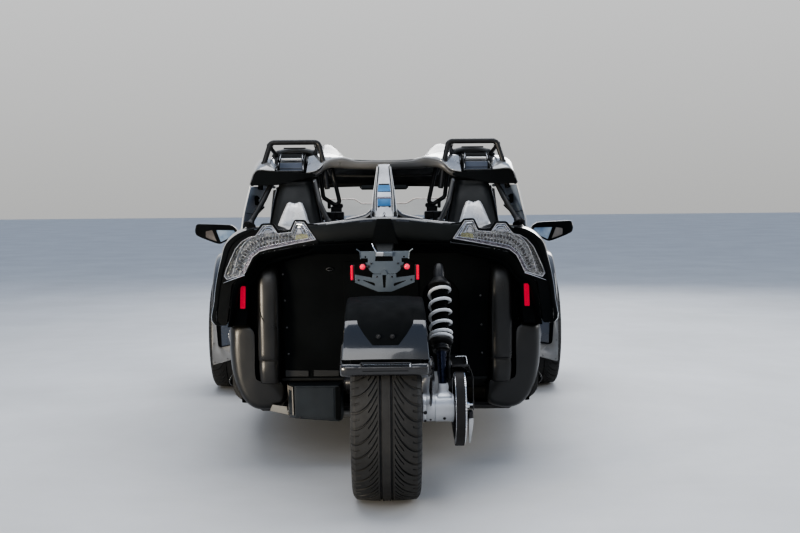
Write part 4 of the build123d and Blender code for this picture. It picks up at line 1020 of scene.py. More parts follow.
# ------------------------------------------------------------------ swingarm, hub, belt drive
def swingarm():
    hub = lathe([(134, 21), (134, 49), (136, 51), (146, 51), (148, 50), (150, 50.4), (176, 50.4), (177.5, 48.6), (180, 48.6), (181.5, 51.2), (249, 51.2), (252, 48.5), (252, 21)], (0, REAR_Y, REAR_R), (1, 0, 0), 64, close=True)
    v, f = hub
    o = piece("swingarm_hub", v, f, "cast_silver", "silver_alloy", sharp=30)
    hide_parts("rear_swingarm")
    # post over the hub that takes the damper's foot
    rings = []
    for z, x0, x1, y0, y1 in ((372, 182, 249, -1592, -1512), (384, 184, 246, -1586, -1514), (392, 190, 240, -1576, -1518), (398, 194, 233, -1570, -1520), (422, 195, 232, -1567, -1522), (427, 197, 230, -1565, -1524)):
        rings.append([(x0, y0, z), (x1, y0, z), (x1, y1, z), (x0, y1, z)])
    g = []
    for r in rings:
        c = [Vector(p) for p in r]
        ring = []
        for i in range(4):
            a, b, d = c[i - 1], c[i], c[(i + 1) % 4]
            u, w = (a - b).normalized() * 8, (d - b).normalized() * 8
            ring += [b + u, b + (u + w) * 0.3, b + w]
        g.append(ring)
    solid_loft("swingarm_post", g, "cast_silver", "silver_alloy", ku=1, kv=3, edge=0, sharp=50)
    # boxed beam from the hub round the tyre to the pivot
    sections = [(-1545, 142, 236, 300, 378), (-1480, 141, 238, 286, 392), (-1380, 140, 238, 272, 404), (-1270, 140, 238, 264, 410), (-1215, 120, 238, 263, 413), (-1165, 40, 238, 264, 413), (-1110, -40, 238, 278, 408), (-1012, -150, 236, 306, 394)]
    rings = []
    for y, x0, x1, z0, z1 in sections:
        r = 13
        rings.append([(x0 + r, y, z0), (x1 - r, y, z0), (x1, y, z0 + r), (x1, y, z1 - r), (x1 - r, y, z1), (x0 + r, y, z1), (x0, y, z1 - r), (x0, y, z0 + r)])
    g = []
    for r in rings:
        g.append(r)
    o = solid_loft("swingarm_beam", g, "cast_silver", "silver_alloy", ku=1, kv=5, edge=0, sharp=50)
    beam = o
    v, f = lathe([(-175, 0.01), (-175, 30), (-172, 34), (-168, 34), (-166, 46), (-163, 48), (236, 48), (240, 46), (240, 0.01)], (0, -1012, 350), (1, 0, 0), 48)
    o = piece("swingarm_pivot", v, f, "cast_silver", "silver_alloy")
    # the part of the arm ahead of the tyre stays dark
    for q in (beam, o):
        q.data.materials.append(M["alloy_black"])
        for p in q.data.polygons:
            if p.center.x / MM < 112:
                p.material_index = 1
    bevel(beam, 4, 3, 30)
    # bolts on the hub's face and pinch, casting ribs
    bolts = [screw((x, REAR_Y - 51 * cos(radians(a)), REAR_R + 51 * sin(radians(a))), (0, -cos(radians(a)), sin(radians(a))), r, 4, h) for x, a, r, h in
             ((143, -10, 6.5, "hex"), (143, -55, 5, "hex"), (164, -48, 4.2, "dome"), (215, -40, 5, "hex"), (164, 40, 4.2, "dome"))]
    v, f = join(bolts)
    piece("hub_bolts", v, f, "dark_steel", "dark_steel")
    ribs = [lathe([(x, 50), (x, 53), (x + 5, 53), (x + 5, 50)], (0, REAR_Y, REAR_R), (1, 0, 0), 64, close=True) for x in (137, 184, 243)]
    v, f = join(ribs)
    piece("hub_ribs", v, f, "cast_silver", "silver_alloy")
    # caliper and its bracket in front of the disc
    v, f = join([block((116, REAR_Y + 118, REAR_R + 4), (46, 66, 84), 10), block((116, REAR_Y + 118, REAR_R + 4), (58, 40, 60), 8), block((140, REAR_Y + 96, REAR_R), (24, 70, 44), 6)])
    piece("rear_caliper", v, f, "alloy_black", "dark_steel")


swingarm()


def belt_drive():
    # toothed belt: inside teeth on the closed loop round both pulleys
    cy, cz = -1012 - REAR_Y, 350 - REAR_R
    span = math.hypot(cy, cz)
    r1, r2 = 134.6, 52.6
    base, off = math.atan2(cz, cy), math.acos((r1 - r2) / span)
    path = []
    n1, n2, nl = 60, 22, 60
    for i in range(n2 + 1):
        a = base + off - 2 * off * i / n2
        path.append((Vector((0, -1012 + r2 * cos(a), 350 + r2 * sin(a))), Vector((0, cos(a), sin(a)))))
    a_end = base - off
    p0 = path[-1][0]
    p1 = Vector((0, REAR_Y + r1 * cos(a_end), REAR_R + r1 * sin(a_end)))
    for i in range(1, nl):
        path.append((p0.lerp(p1, i / nl), Vector((0, cos(a_end), sin(a_end)))))
    for i in range(n1 + 1):
        a = a_end - (2 * pi - 2 * off) * i / n1
        path.append((Vector((0, REAR_Y + r1 * cos(a), REAR_R + r1 * sin(a))), Vector((0, cos(a), sin(a)))))
    a_up = base + off
    p0 = path[-1][0]
    p1 = Vector((0, -1012 + r2 * cos(a_up), 350 + r2 * sin(a_up)))
    for i in range(1, nl):
        path.append((p0.lerp(p1, i / nl), Vector((0, cos(a_up), sin(a_up)))))
    # even stations along the loop: a tooth every 11 mm
    pts = [p for p, n in path]
    L = [0.0]
    for i in range(len(pts)):
        L.append(L[-1] + (pts[(i + 1) % len(pts)] - pts[i]).length)
    total = L[-1]
    teeth = int(total / 11)
    verts, faces = [], []
    st = []
    for k in range(teeth):
        for share, t in ((0.0, 0), (0.42, 0), (0.5, 1), (0.92, 1)):
            st.append(((k + share) / teeth * total, t))
    x0, x1 = 255, 287
    j = 0
    for s, t in st:
        while L[j + 1] < s:
            j += 1
        u = (s - L[j]) / max(L[j + 1] - L[j], 1e-6)
        p = pts[j].lerp(pts[(j + 1) % len(pts)], u)
        n = path[j][1].lerp(path[(j + 1) % len(path)][1], u).normalized()
        inn = p + n * (0.6 if t else 2.8)
        out = p + n * 6.0
        for x in (x0, x1):
            verts.append((x, inn.y, inn.z))
            verts.append((x, out.y, out.z))
    m = len(st)
    for i in range(m):
        a = i * 4
        b = ((i + 1) % m) * 4
        faces += [(a, b, b + 2, a + 2), (a + 1, a + 3, b + 3, b + 1), (a, a + 1, b + 1, b), (a + 2, b + 2, b + 3, a + 3)]
    o = piece("toothed_belt", verts, faces, "belt", "belt_rubber", sharp=30)
    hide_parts("drive_belt")
    # driven pulley: toothed rim with flanges, web of five arms, hub nut
    ax = (0, REAR_Y, REAR_R)
    rim = []
    n = 76
    for k in range(n * 4):
        a = 2 * pi * k / (n * 4)
        r = 131.5 if k % 4 in (0, 1) else 134.0
        for x, rr in ((254, r), (292, r)):
            rim.append((x, REAR_Y + rr * cos(a), REAR_R + rr * sin(a)))
    faces = []
    m = n * 4
    for k in range(m):
        a, b = k * 2, ((k + 1) % m) * 2
        faces.append((a, b, b + 1, a + 1))
    v, f = join([(rim, faces), lathe([(253, 119), (253, 131.4), (292.4, 131.4), (292.4, 119)], ax, (1, 0, 0), 96)])
    piece("driven_pulley_teeth", v, f, "machined", "dark_steel", body="rear_wheel", sharp=20)
    parts = [lathe([(253.5, 118.5), (292, 118.5), (273, 114), (253.5, 118.5)], ax, (1, 0, 0), 96)]
    for k in range(5):
        a0 = 2 * pi * k / 5 + 0.3
        outline = []
        for r, wd in ((48, 0.36), (62, 0.26), (90, 0.15), (112, 0.2), (119, 0.34)):
            outline.append((r * cos(wd), r * sin(wd)))
        outline = outline + [(x, -y) for x, y in outline[::-1]]
        rot = lambda a, b, w, a0=a0: (264 + w, REAR_Y + a * cos(a0) - b * sin(a0), REAR_R + a * sin(a0) + b * cos(a0))
        parts.append(slab(outline, rot, 18))
    parts.append(lathe([(258, 20), (258, 50), (262, 56), (284, 56), (288, 50), (288, 34), (292, 30), (299, 30), (299, 19)], ax, (1, 0, 0), 48))
    parts.append(lathe([(98, 20), (98, 30), (100, 34), (134, 34), (134, 20)], ax, (1, 0, 0), 40))
    v, f = join(parts)
    o = piece("driven_pulley", v, f, "dark_steel", "dark_steel", body="rear_wheel", sharp=30)
    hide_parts("rear_axle_pulley")
    # axle with its nut, and the rear disc
    v, f = join([lathe([(-45, 0.01), (-45, 19.6), (298, 19.6), (300, 18), (300, 0.01)], ax, (1, 0, 0), 40), screw((296, REAR_Y, REAR_R), (1, 0, 0), 24, 4, "hex")])
    piece("rear_axle", v, f, "steel", "dark_steel", body="rear_wheel")
    disc = []
    holes = []
    for ring, r, cnt, ph in ((0, 84, 15, 0.0), (1, 97, 15, 0.14), (2, 110, 15, 0.28)):
        for k in range(cnt):
            a = 2 * pi * k / cnt + ph
            holes.append([(r * cos(a) + 3.2 * cos(t * pi / 4), r * sin(a) + 3.2 * sin(t * pi / 4)) for t in range(8)])
    wave = [((127.5 + 2.5 * cos(10 * t)) * cos(t), (127.5 + 2.5 * cos(10 * t)) * sin(t)) for t in (2 * pi * i / 120 for i in range(120))]
    holes.append([(60 * cos(2 * pi * t / 48), 60 * sin(2 * pi * t / 48)) for t in range(48)])
    o = plate("rear_brake_disc", wave, lambda a, b, w=0.0: (100 + w, REAR_Y + a, REAR_R + b), 5.5, "disc", "disc_iron", holes, edge=0.5, body="rear_wheel")
    v, f = join([lathe([(6.4, 20), (6.4, 56), (12, 58), (60, 58), (62, 52), (62, 40), (97, 40), (97, 64), (101, 64), (106, 62), (106, 20)], ax, (1, 0, 0), 48)] +
                [screw((106, REAR_Y + 52 * cos(2 * pi * k / 6), REAR_R + 52 * sin(2 * pi * k / 6)), (1, 0, 0), 5, 3, "dome") for k in range(6)])
    piece("rear_disc_hat", v, f, "alloy_black", "black_alloy", body="rear_wheel")


belt_drive()


def belt_guard():
    """Thin guard over the top of the pulley, its bent outer strap and the metal blade below the axle's end."""
    arc = lambda r, a: (REAR_Y + r * cos(radians(a)), REAR_R + r * sin(radians(a)))
    line = [(-1180, 481)] + [arc(158, a) for a in (62, 70, 78, 86, 94, 100)]
    rows = [[(x, y, z - (2.5 if x in (247, 309) else 0)) for x in (247, 251, 280, 305, 309)] for y, z in line]
    v, f = sheet_mesh(grid_from(rows, 2, 3, (1, 3)), 3.0)
    o = piece("belt_guard_top", v, f, "satin", "matte_black")
    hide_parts("belt_guard")
    side = [(-1180, 478)] + [arc(157, a) for a in (62, 70, 78, 86, 94, 100)] + [arc(134, a) for a in (100, 92, 80, 68)] + [(-1180, 446)]
    plate("belt_guard_side", side, lambda a, b, w=0.0: (306 + w, a, b), 3.0, "satin", "matte_black", edge=0.8)
    path = [(306, -1584, 497), (318, -1582, 470), (322, -1576, 400), (324, -1570, 330)]
    rows = [[(x, y - 9, z), (x + 1.6, y - 3, z), (x + 1.6, y + 16, z), (x, y + 22, z), (x - 2, y + 16, z), (x - 2, y - 3, z)] for x, y, z in catmull(path, 6)]
    solid_loft("belt_guard_strap", rows, "satin", "matte_black", ku=1, kv=1)
    v, f = join([block((313, REAR_Y, 312), (18, 40, 30), 4), lathe([(296, 0.01), (296, 13), (304, 13), (305, 9), (320, 9), (321, 6), (321, 0.01)], (0, REAR_Y, REAR_R + 8), (1, 0, 0), 6)])
    piece("axle_adjuster", v, f, "dark_steel", "dark_steel")
    v, f = join([lathe([(300, 0.01), (300, 15), (309, 15), (311, 12), (311, 0.01)], (0, REAR_Y - 2, REAR_R + 12), (1, 0, 0), 6), block((312, REAR_Y - 20, 352), (20, 3, 7), 1)])
    piece("axle_nut", v, f, "chrome", "dark_steel")
    g = []
    for z, x0, x1, y0, y1 in ((300, 306, 324, -1580, -1536), (270, 306, 322, -1577, -1538), (235, 307, 317, -1571, -1544), (206, 308, 312, -1565, -1550)):
        g.append([(x0, y0, z), (x1, y0 + 3, z), (x1, y1 - 3, z), (x0, y1, z)])
    solid_loft("axle_blade", g, "steel", "dark_steel", ku=1, kv=4, edge=1)
    # line above the guard
    v, f = tube_mesh(bent([(262, -1500, 520), (300, -1505, 522), (303, -1520, 508), (303, -1540, 496)], 6, 4), 2.2, 8)
    piece("guard_wire", v, f, "steel", "dark_steel")


belt_guard()

# ------------------------------------------------------------------ back of the body
LAMP = [(270.5, 951.5), (319, 1021), (354.5, 1022), (372, 981), (426, 975.5), (449, 1008), (487, 1007), (519, 965), (545, 961), (575, 944), (602, 914), (622, 872),
        (640, 830), (649, 803), (637, 789), (564, 811), (558, 821), (545, 849), (529, 880), (500, 903), (465, 912), (424, 920), (366, 932)]


def lens_y(x, z):
    return -1212 + 0.30 * (abs(x) - 300) + 0.12 * (z - 900)


def raked(u, v, w=0.0):
    return (u, lens_y(u, v) + w, v)


def inset(outline, d):
    """Outline moved inwards by d (clockwise or not), with mitred corners."""
    n = len(outline)
    area = sum(outline[i][0] * outline[(i + 1) % n][1] - outline[(i + 1) % n][0] * outline[i][1] for i in range(n))
    s = 1 if area > 0 else -1
    out = []
    for i in range(n):
        (ax, ay), (bx, by), (cx, cy) = outline[i - 1], outline[i], outline[(i + 1) % n]
        d1, d2 = math.hypot(bx - ax, by - ay), math.hypot(cx - bx, cy - by)
        n1, n2 = (-(by - ay) / d1 * s, (bx - ax) / d1 * s), (-(cy - by) / d2 * s, (cx - bx) / d2 * s)
        mx, my = n1[0] + n2[0], n1[1] + n2[1]
        k = d * 2 / max(mx * mx + my * my, 0.9)
        out.append((bx + mx * k, by + my * k))
    return out


def rounded(outline, r, steps=3):
    """Closed 2-D outline with its corners rounded."""
    n = len(outline)
    out = []
    for i in range(n):
        a, b, c = (Vector((*outline[j % n], 0)) for j in (i - 1, i, i + 1))
        u, v = (a - b), (c - b)
        cut = min(r, u.length * 0.45, v.length * 0.45)
        p, q = b + u.normalized() * cut, b + v.normalized() * cut
        for k in range(steps + 1):
            t = k / steps
            w = p * (1 - t) ** 2 + b * 2 * t * (1 - t) + q * t * t
            out.append((w.x, w.y))
    return out


def along(points, step, start=0.0):
    """Points and directions every step along a polyline of (x, z)."""
    out, left = [], start
    for (ax, ay), (bx, by) in zip(points, points[1:]):
        d = math.hypot(bx - ax, by - ay)
        t = left
        while t < d:
            out.append(((ax + (bx - ax) * t / d, ay + (by - ay) * t / d), ((bx - ax) / d, (by - ay) / d)))
            t += step
        left = t - d
    return out


def lamp_materials():
    n = Nodes("violet_grey_lamp_lip")
    f = n.noise(55, 4)
    n.colour(f, (0.085, 0.075, 0.095), (0.20, 0.18, 0.215), 0.3, 0.7)
    n.rough(n.noise(80, 3), 0.18, 0.34)
    n.set(Metallic=0.5)
    n.bump(n.noise(240, 3), 0.3, 0.001)
    M["lamp_lip"] = n.m
    n = Nodes("lamp_diode_block")
    f = n.noise(70, 3)
    n.colour(f, (0.010, 0.010, 0.011), (0.045, 0.04, 0.04), 0.3, 0.7)
    n.rough(n.noise(90, 3), 0.15, 0.3)
    n.set(Coat_Weight=0.6, Coat_Roughness=0.05)
    n.bump(n.noise(300, 2), 0.1, 0.0005)
    M["diode"] = n.m
    n = Nodes("white_lamp_reflector")
    w = n.new("ShaderNodeTexWave", Scale=75.0, Distortion=0.6)
    w.bands_direction = "X"
    n.link(n.co, w.inputs["Vector"])
    n.colour(n.noise(45, 4), (0.40, 0.40, 0.41), (0.66, 0.66, 0.68), 0.3, 0.7)
    n.rough(n.noise(70, 3), 0.12, 0.26)
    n.set(Metallic=0.25)
    n.bump(w.outputs["Fac"], 0.45, 0.0018)
    M["lamp_white"] = n.m
    n = Nodes("amber_lamp_insert")
    v = n.new("ShaderNodeTexVoronoi", Scale=160.0)
    n.link(n.co, v.inputs["Vector"])
    n.colour(v.outputs["Distance"], (0.035, 0.03, 0.010), (0.26, 0.25, 0.11), 0.05, 0.5)
    n.rough(n.noise(60, 3), 0.15, 0.3)
    n.set(Coat_Weight=0.8, Coat_Roughness=0.04)
    n.bump(v.outputs["Distance"], 0.5, 0.0015)
    M["amber"] = n.m


lamp_materials()


def tail_lamps():
    mir = lambda part: join([part, mirrored(part)])
    # metallised tray with raised walls, behind the clear cover
    tray = plate("lamp_tray", inset(LAMP, 1.5), lambda u, v, w: raked(u, v, 13 + w), 6, "lamp_back", "silver_alloy", edge=0.8, mirror=True)
    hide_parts("tail_lamps")
    wall = plate("lamp_tray_wall", LAMP, lambda u, v, w: raked(u, v, 2.5 + w), 14, "lamp_white", "silver_alloy", holes=[inset(LAMP, 3.2)], edge=0.8, mirror=True)
    cover = plate("lamp_cover", inset(LAMP, 0.4), lambda u, v, w: raked(u, v, -1.5 + w), 3.0, "lens", "clear_lens", edge=0.9, mirror=True)
    # lip along the lower edge: two stepped bands
    low = [(273, 946.5), (366, 932), (424, 920), (465, 912), (500, 903), (529, 880), (545, 849), (558, 821), (566, 811)]
    for k, (d0, d1, depth, mat) in enumerate(((2.0, 7.5, 4.0, "lamp_lip"), (8.5, 13.0, 7.0, "lamp_lip"), (13.6, 15.4, 5.5, "chrome"))):
        up = [(low[0][0] + 8 + d * 0.4, low[0][1] + d) if i == 0 else None for i, d in enumerate((d0,))]
        def off(d):
            out = []
            for i, (x, z) in enumerate(low):
                a, b = low[max(i - 1, 0)], low[min(i + 1, len(low) - 1)]
                l = math.hypot(b[0] - a[0], b[1] - a[1])
                nx, nz = -(b[1] - a[1]) / l, (b[0] - a[0]) / l
                out.append((x + nx * d, z + nz * d))
            return out
        a, b = off(d0), off(d1)
        plate("lamp_lip_%d" % k, a + b[::-1], lambda u, v, w: raked(u, v, depth + w), 8, mat, "silver_alloy", edge=0.7, mirror=True)
    # diodes: two rows of blocks set in a pale egg-crate
    parts, frames = [], []
    for row, n_rows in (([(372, 964), (424, 960), (470, 955), (505, 946), (533, 928), (556, 901), (573, 866), (589, 828)], 26),
                        ([(360, 949), (424, 941.5), (465, 933), (500, 923), (522, 905), (542, 878), (556, 849), (570, 822)], 24)):
        line = [(p.x, p.y) for p in catmull([(x, z, 0) for x, z in row], 6)]
        for (x, z), (dx, dz) in along(line, 13.2, 4):
            rot = lambda a, b: (x + dx * a - dz * b, z + dz * a + dx * b)
            ring = [rot(a, b) for a, b in ((-4.4, -5.0), (4.4, -5.0), (4.4, 5.0), (-4.4, 5.0))]
            v = [raked(u, w, 8.5) for u, w in ring] + [raked(u, w, 15) for u, w in ring]
            parts.append((v, [(0, 1, 2, 3), (7, 6, 5, 4), (0, 4, 5, 1), (1, 5, 6, 2), (2, 6, 7, 3), (3, 7, 4, 0)]))
            post = [rot(a, b) for a, b in ((6.0, -6.2), (7.3, -6.2), (7.3, 6.2), (6.0, 6.2))]
            v = [raked(u, w, 6.0) for u, w in post] + [raked(u, w, 15) for u, w in post]
            frames.append((v, [(0, 1, 2, 3), (7, 6, 5, 4), (0, 4, 5, 1), (1, 5, 6, 2), (2, 6, 7, 3), (3, 7, 4, 0)]))
    v, f = join(parts)
    bevel(piece("lamp_diodes", v, f, "diode", "smoked_glass", mirror=True), 0.8, 2)
    v, f = join(frames)
    bevel(piece("lamp_egg_crate", v, f, "lamp_white", "silver_alloy", mirror=True), 0.3, 1)
    # bright daylight line: follows the outer edge and runs in under the peaks
    day = catmull([(x, z, 0) for x, z in [(398, 981), (440, 985), (490, 978), (519, 966), (546, 951), (570, 927), (588, 893), (601, 853), (612, 812)]], 6)
    v, f = tube_mesh([raked(p.x, p.y, 6.5) for p in day], 2.1, 8)
    piece("lamp_daylight_line", v, f, "lamp_white", "silver_alloy", mirror=True)
    # nested frames in the two peaks, and the double line down to the inner tip
    lines = [
        bent([raked(x, z, 4.5) for x, z in ((300, 966), (326, 1011), (350, 1012), (366, 977))], 4),
        bent([raked(x, z, 6.5) for x, z in ((318, 972), (333, 1001), (345, 1001), (356, 975))], 3),
        bent([raked(x, z, 4.5) for x, z in ((434, 980), (455, 1000), (482, 999), (504, 968))], 4),
        bent([raked(x, z, 6.5) for x, z in ((447, 979), (460, 991), (477, 990), (489, 973))], 3),
        [raked(281, 952, 3.5), raked(323, 1013, 3.5)],
    ]
    v, f = join([tube_mesh(l, 1.9, 8) for l in lines])
    piece("lamp_peak_lines", v, f, "chrome", "silver_alloy", mirror=True)
    for k, o in enumerate((((326, 975), (336, 996), (343, 996), (351, 975)), ((452, 977), (462, 987), (475, 987), (484, 973)))):
        plate("lamp_peak_reflector_%d" % k, list(o), lambda u, v, w: raked(u, v, 7.5 + w), 5, "lamp_white", "silver_alloy", edge=0.8, mirror=True)
    plate("lamp_turn_insert", [(300, 953), (306, 972), (330, 973), (352, 968), (356, 948)], lambda u, v, w: raked(u, v, 9 + w), 5, "amber", "clear_lens", edge=1.0, mirror=True)
    # wide reversing window at the lower outer end: plain tray with an amber-tinted strip along the outside
    outer = [(548, 955), (576, 938), (600, 908), (619, 868), (636, 829), (643, 806), (626, 812), (612, 850), (596, 890), (575, 922), (549, 944)]
    plate("lamp_outer_strip", outer, lambda u, v, w: raked(u, v, 9.5 + w), 4, "amber_dark", "clear_lens", edge=0.8, mirror=True)
    # silver trim under the lamp's outer end
    v, f = tube_mesh([raked(562, 809, 0), raked(610, 792, 0), raked(652, 776, 2)], [2.2, 1.7, 0.6], 8)
    piece("lamp_spike_trim", v, f, "chrome", "silver_alloy", mirror=True)


def amber_dark():
    n = Nodes("dim_lamp_window")
    n.colour(n.noise(30, 5), (0.014, 0.0155, 0.014), (0.055, 0.058, 0.052), 0.3, 0.7)
    n.rough(n.noise(60, 3), 0.12, 0.28)
    n.set(Metallic=0.3, Coat_Weight=0.6)
    n.bump(n.noise(120, 3), 0.3, 0.0015)
    M["amber_dark"] = n.m


amber_dark()
tail_lamps()


def corner_surround():
    out = [(262, 1012), (306, 1014), (315, 1029), (358, 1030), (377, 990), (421, 984.5), (443, 1016), (492, 1015), (512, 989), (545, 983), (590, 964), (630, 928),
           (652, 868), (670, 784), (680, 700), (679, 612), (662, 605), (638, 606), (626, 690), (616, 770), (574, 806), (552, 822), (524, 874), (498, 894), (462, 903), (422, 911), (364, 922), (262, 937)]
    hole = inset(LAMP, -0.8)
    o = plate("corner_surround", rounded(out, 7, 3), lambda u, v, w: raked(u, v, 3.5 + w), 26, "matte_deep", "matte_black", holes=[hole], edge=2.2, mirror=True, segments=3)
    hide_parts("rear_corner_panels")
    # throat from the lamp's lower edge forward to the wall, with the ledge that carries the reflector
    T = [
        [(262, 935), (300, 929), (364, 920), (422, 909), (462, 901), (497, 891), (521, 871), (556, 822), (610, 768), (622, 690), (628, 640), (636, 598)],
        [(262, 922), (300, 917), (362, 907), (419, 896), (458, 887), (491, 876), (514, 856), (545, 808), (594, 762), (610, 690), (618, 640), (628, 597)],
        [(262, 908), (300, 903), (360, 892), (416, 880), (454, 870), (486, 858), (508, 838), (541, 794), (590, 756), (606, 690), (614, 640), (624, 596)],
        [(262, 898), (300, 892), (358, 880), (413, 867), (450, 856), (482, 843), (504, 823), (538, 780), (562, 748), (566, 690), (568, 640), (574, 595)],
        [(262, 887), (300, 883), (356, 870), (411, 856), (448, 844), (479, 831), (500, 810), (532, 772), (556, 742), (558, 690), (558, 640), (560, 594)],
    ]
    rows = []
    for r, (row, y) in enumerate(zip(T, (None, -1110, -1052, -1040, -962))):
        rows.append([(x, lens_y(x, z) + 12 if y is None else y - (18 if r == 1 and x < 480 else 0), z) for x, z in row])
    skin("corner_throat", rows, "matte_deep", "matte_black", t=4, ku=4, kv=4, cv=(2, 3), edge=2.5, mirror=True)
    # gloss band round the outside of the lamp, turning forward into the quarter panel
    a0 = [(520, 988), (545, 977), (584, 957), (620, 922), (642, 862), (661, 781), (673, 698), (672, 614)]
    a1 = [(521, 991), (546, 985), (591, 967), (633, 930), (653, 868), (672, 785), (681, 700), (680, 612)]
    a2 = [(522, 990), (548, 986), (594, 968), (638, 930), (658, 867), (677, 784), (687, 699), (686, 611)]
    b = [(540, 990), (562, 990), (611, 970), (652, 925), (668, 860), (684, 775), (693, 690), (692, 606)]
    c = [(560, 986), (580, 985), (622, 966), (661, 915), (678, 850), (695, 765), (704, 680), (701, 598)]
    d = [(565, 986), (582, 985), (624, 966), (664, 915), (688, 850), (710, 765), (722, 680), (714, 592)]
    e = [(575, 908), (592, 905), (626, 891), (662, 858), (690, 810), (716, 750), (735, 670), (722, 580)]
    ee = [(582, 826), (598, 822), (628, 808), (662, 784), (690, 748), (715, 704), (732, 648), (718, 574)]
    f_ = [(590, 704), (606, 700), (630, 694), (662, 680), (690, 664), (712, 645), (724, 615), (712, 566)]
    g = [(598, 614), (612, 612), (634, 609), (656, 604), (680, 600), (700, 594), (712, 584), (702, 552)]
    rows = [[(x, lens_y(x, z) + 2.5, z) for x, z in a0], [(x, lens_y(x, z) + 0.5, z) for x, z in a1], [(x, lens_y(x, z) + 12, z) for x, z in a2],
            [(x, -1040, z) for x, z in b], [(x, -950, z) for x, z in c], [(x, -700, z) for x, z in d], [(x, -420, z) for x, z in e],
            [(x, -280, z) for x, z in ee], [(x, -140, z) for x, z in f_], [(x, 60, z) for x, z in g]]
    under = [(660, 611), (668, 606), (672, 606), (674, 598), (674, 590), (676, 582), (674, 572), (672, 566), (664, 558), (654, 545)]
    for r, (x, z) in zip(rows, under):
        r.append((x, r[-1][1] + 1, z))
    o = skin("quarter_skin", rows, ["gloss", "matte_deep"], "gloss_black", t=-4, ku=5, kv=5, cu=(), cv=(), edge=1.5, mirror=True)
    for q in o.data.polygons:
        c = q.center / MM
        if c.y < lens_y(c.x, c.z) + 8 and c.y < -1020:
            q.material_index = 1
    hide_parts("rear_quarter_panels")
    # thin pale line round the outside of that band: a painted highlight along the edge
    line = [(x + 1.5, lens_y(x, z) + 7, z) for x, z in a2]
    v, f = tube_mesh([(p.x, p.y, p.z) for p in catmull(line, 6)], 1.7, 8)
    piece("quarter_edge_line", v, f, "lit_edge_soft", "gloss_black", mirror=True)
    # inner flange of the quarter along the cockpit
    inner = [[(x, y, z) for x, z in ((xx + 2, zz - 2), (xx - 1, zz - 8), (xx + 3, zz - 44))] for xx, y, zz in
             ((560, -950, 986), (565, -700, 986), (575, -420, 908), (582, -280, 826), (590, -140, 704), (598, 60, 614))]
    skin("quarter_inner_flange", inner, "matte", "matte_black", t=4, ku=3, kv=5, edge=1.0, mirror=True)


corner_surround()


def reflectors():
    for s, tilt in ((-1, 0.02), (1, 0.02)):
        pass
    out = rounded([(-10.5, -46), (10.5, -46), (10.5, 46), (-10.5, 46)], 4, 3)
    lean = radians(3.0)
    place = lambda u, v, w: (580 + u * cos(lean) - v * sin(lean) * 0.6, -1066 + w, 712 + v)
    o = plate("side_reflector", out, place, 9, "red", "red_lens", edge=1.4, mirror=True, segments=3)
    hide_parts("red_reflectors")
    rim = rounded([(-13, -49), (13, -49), (13, 49), (-13, 49)], 5, 3)
    plate("side_reflector_frame", rim, lambda u, v, w: place(u, v, w + 4), 9, "matte", "matte_black", edge=1.2, mirror=True)


reflectors()


# pale line material: a painted highlight on gloss edges
M["deck_edge"] = moulded("painted_highlight_line", (0.42, 0.42, 0.43), (0.62, 0.62, 0.63), grain=700, strength=0.1, rough=(0.25, 0.4), spec=0.5)


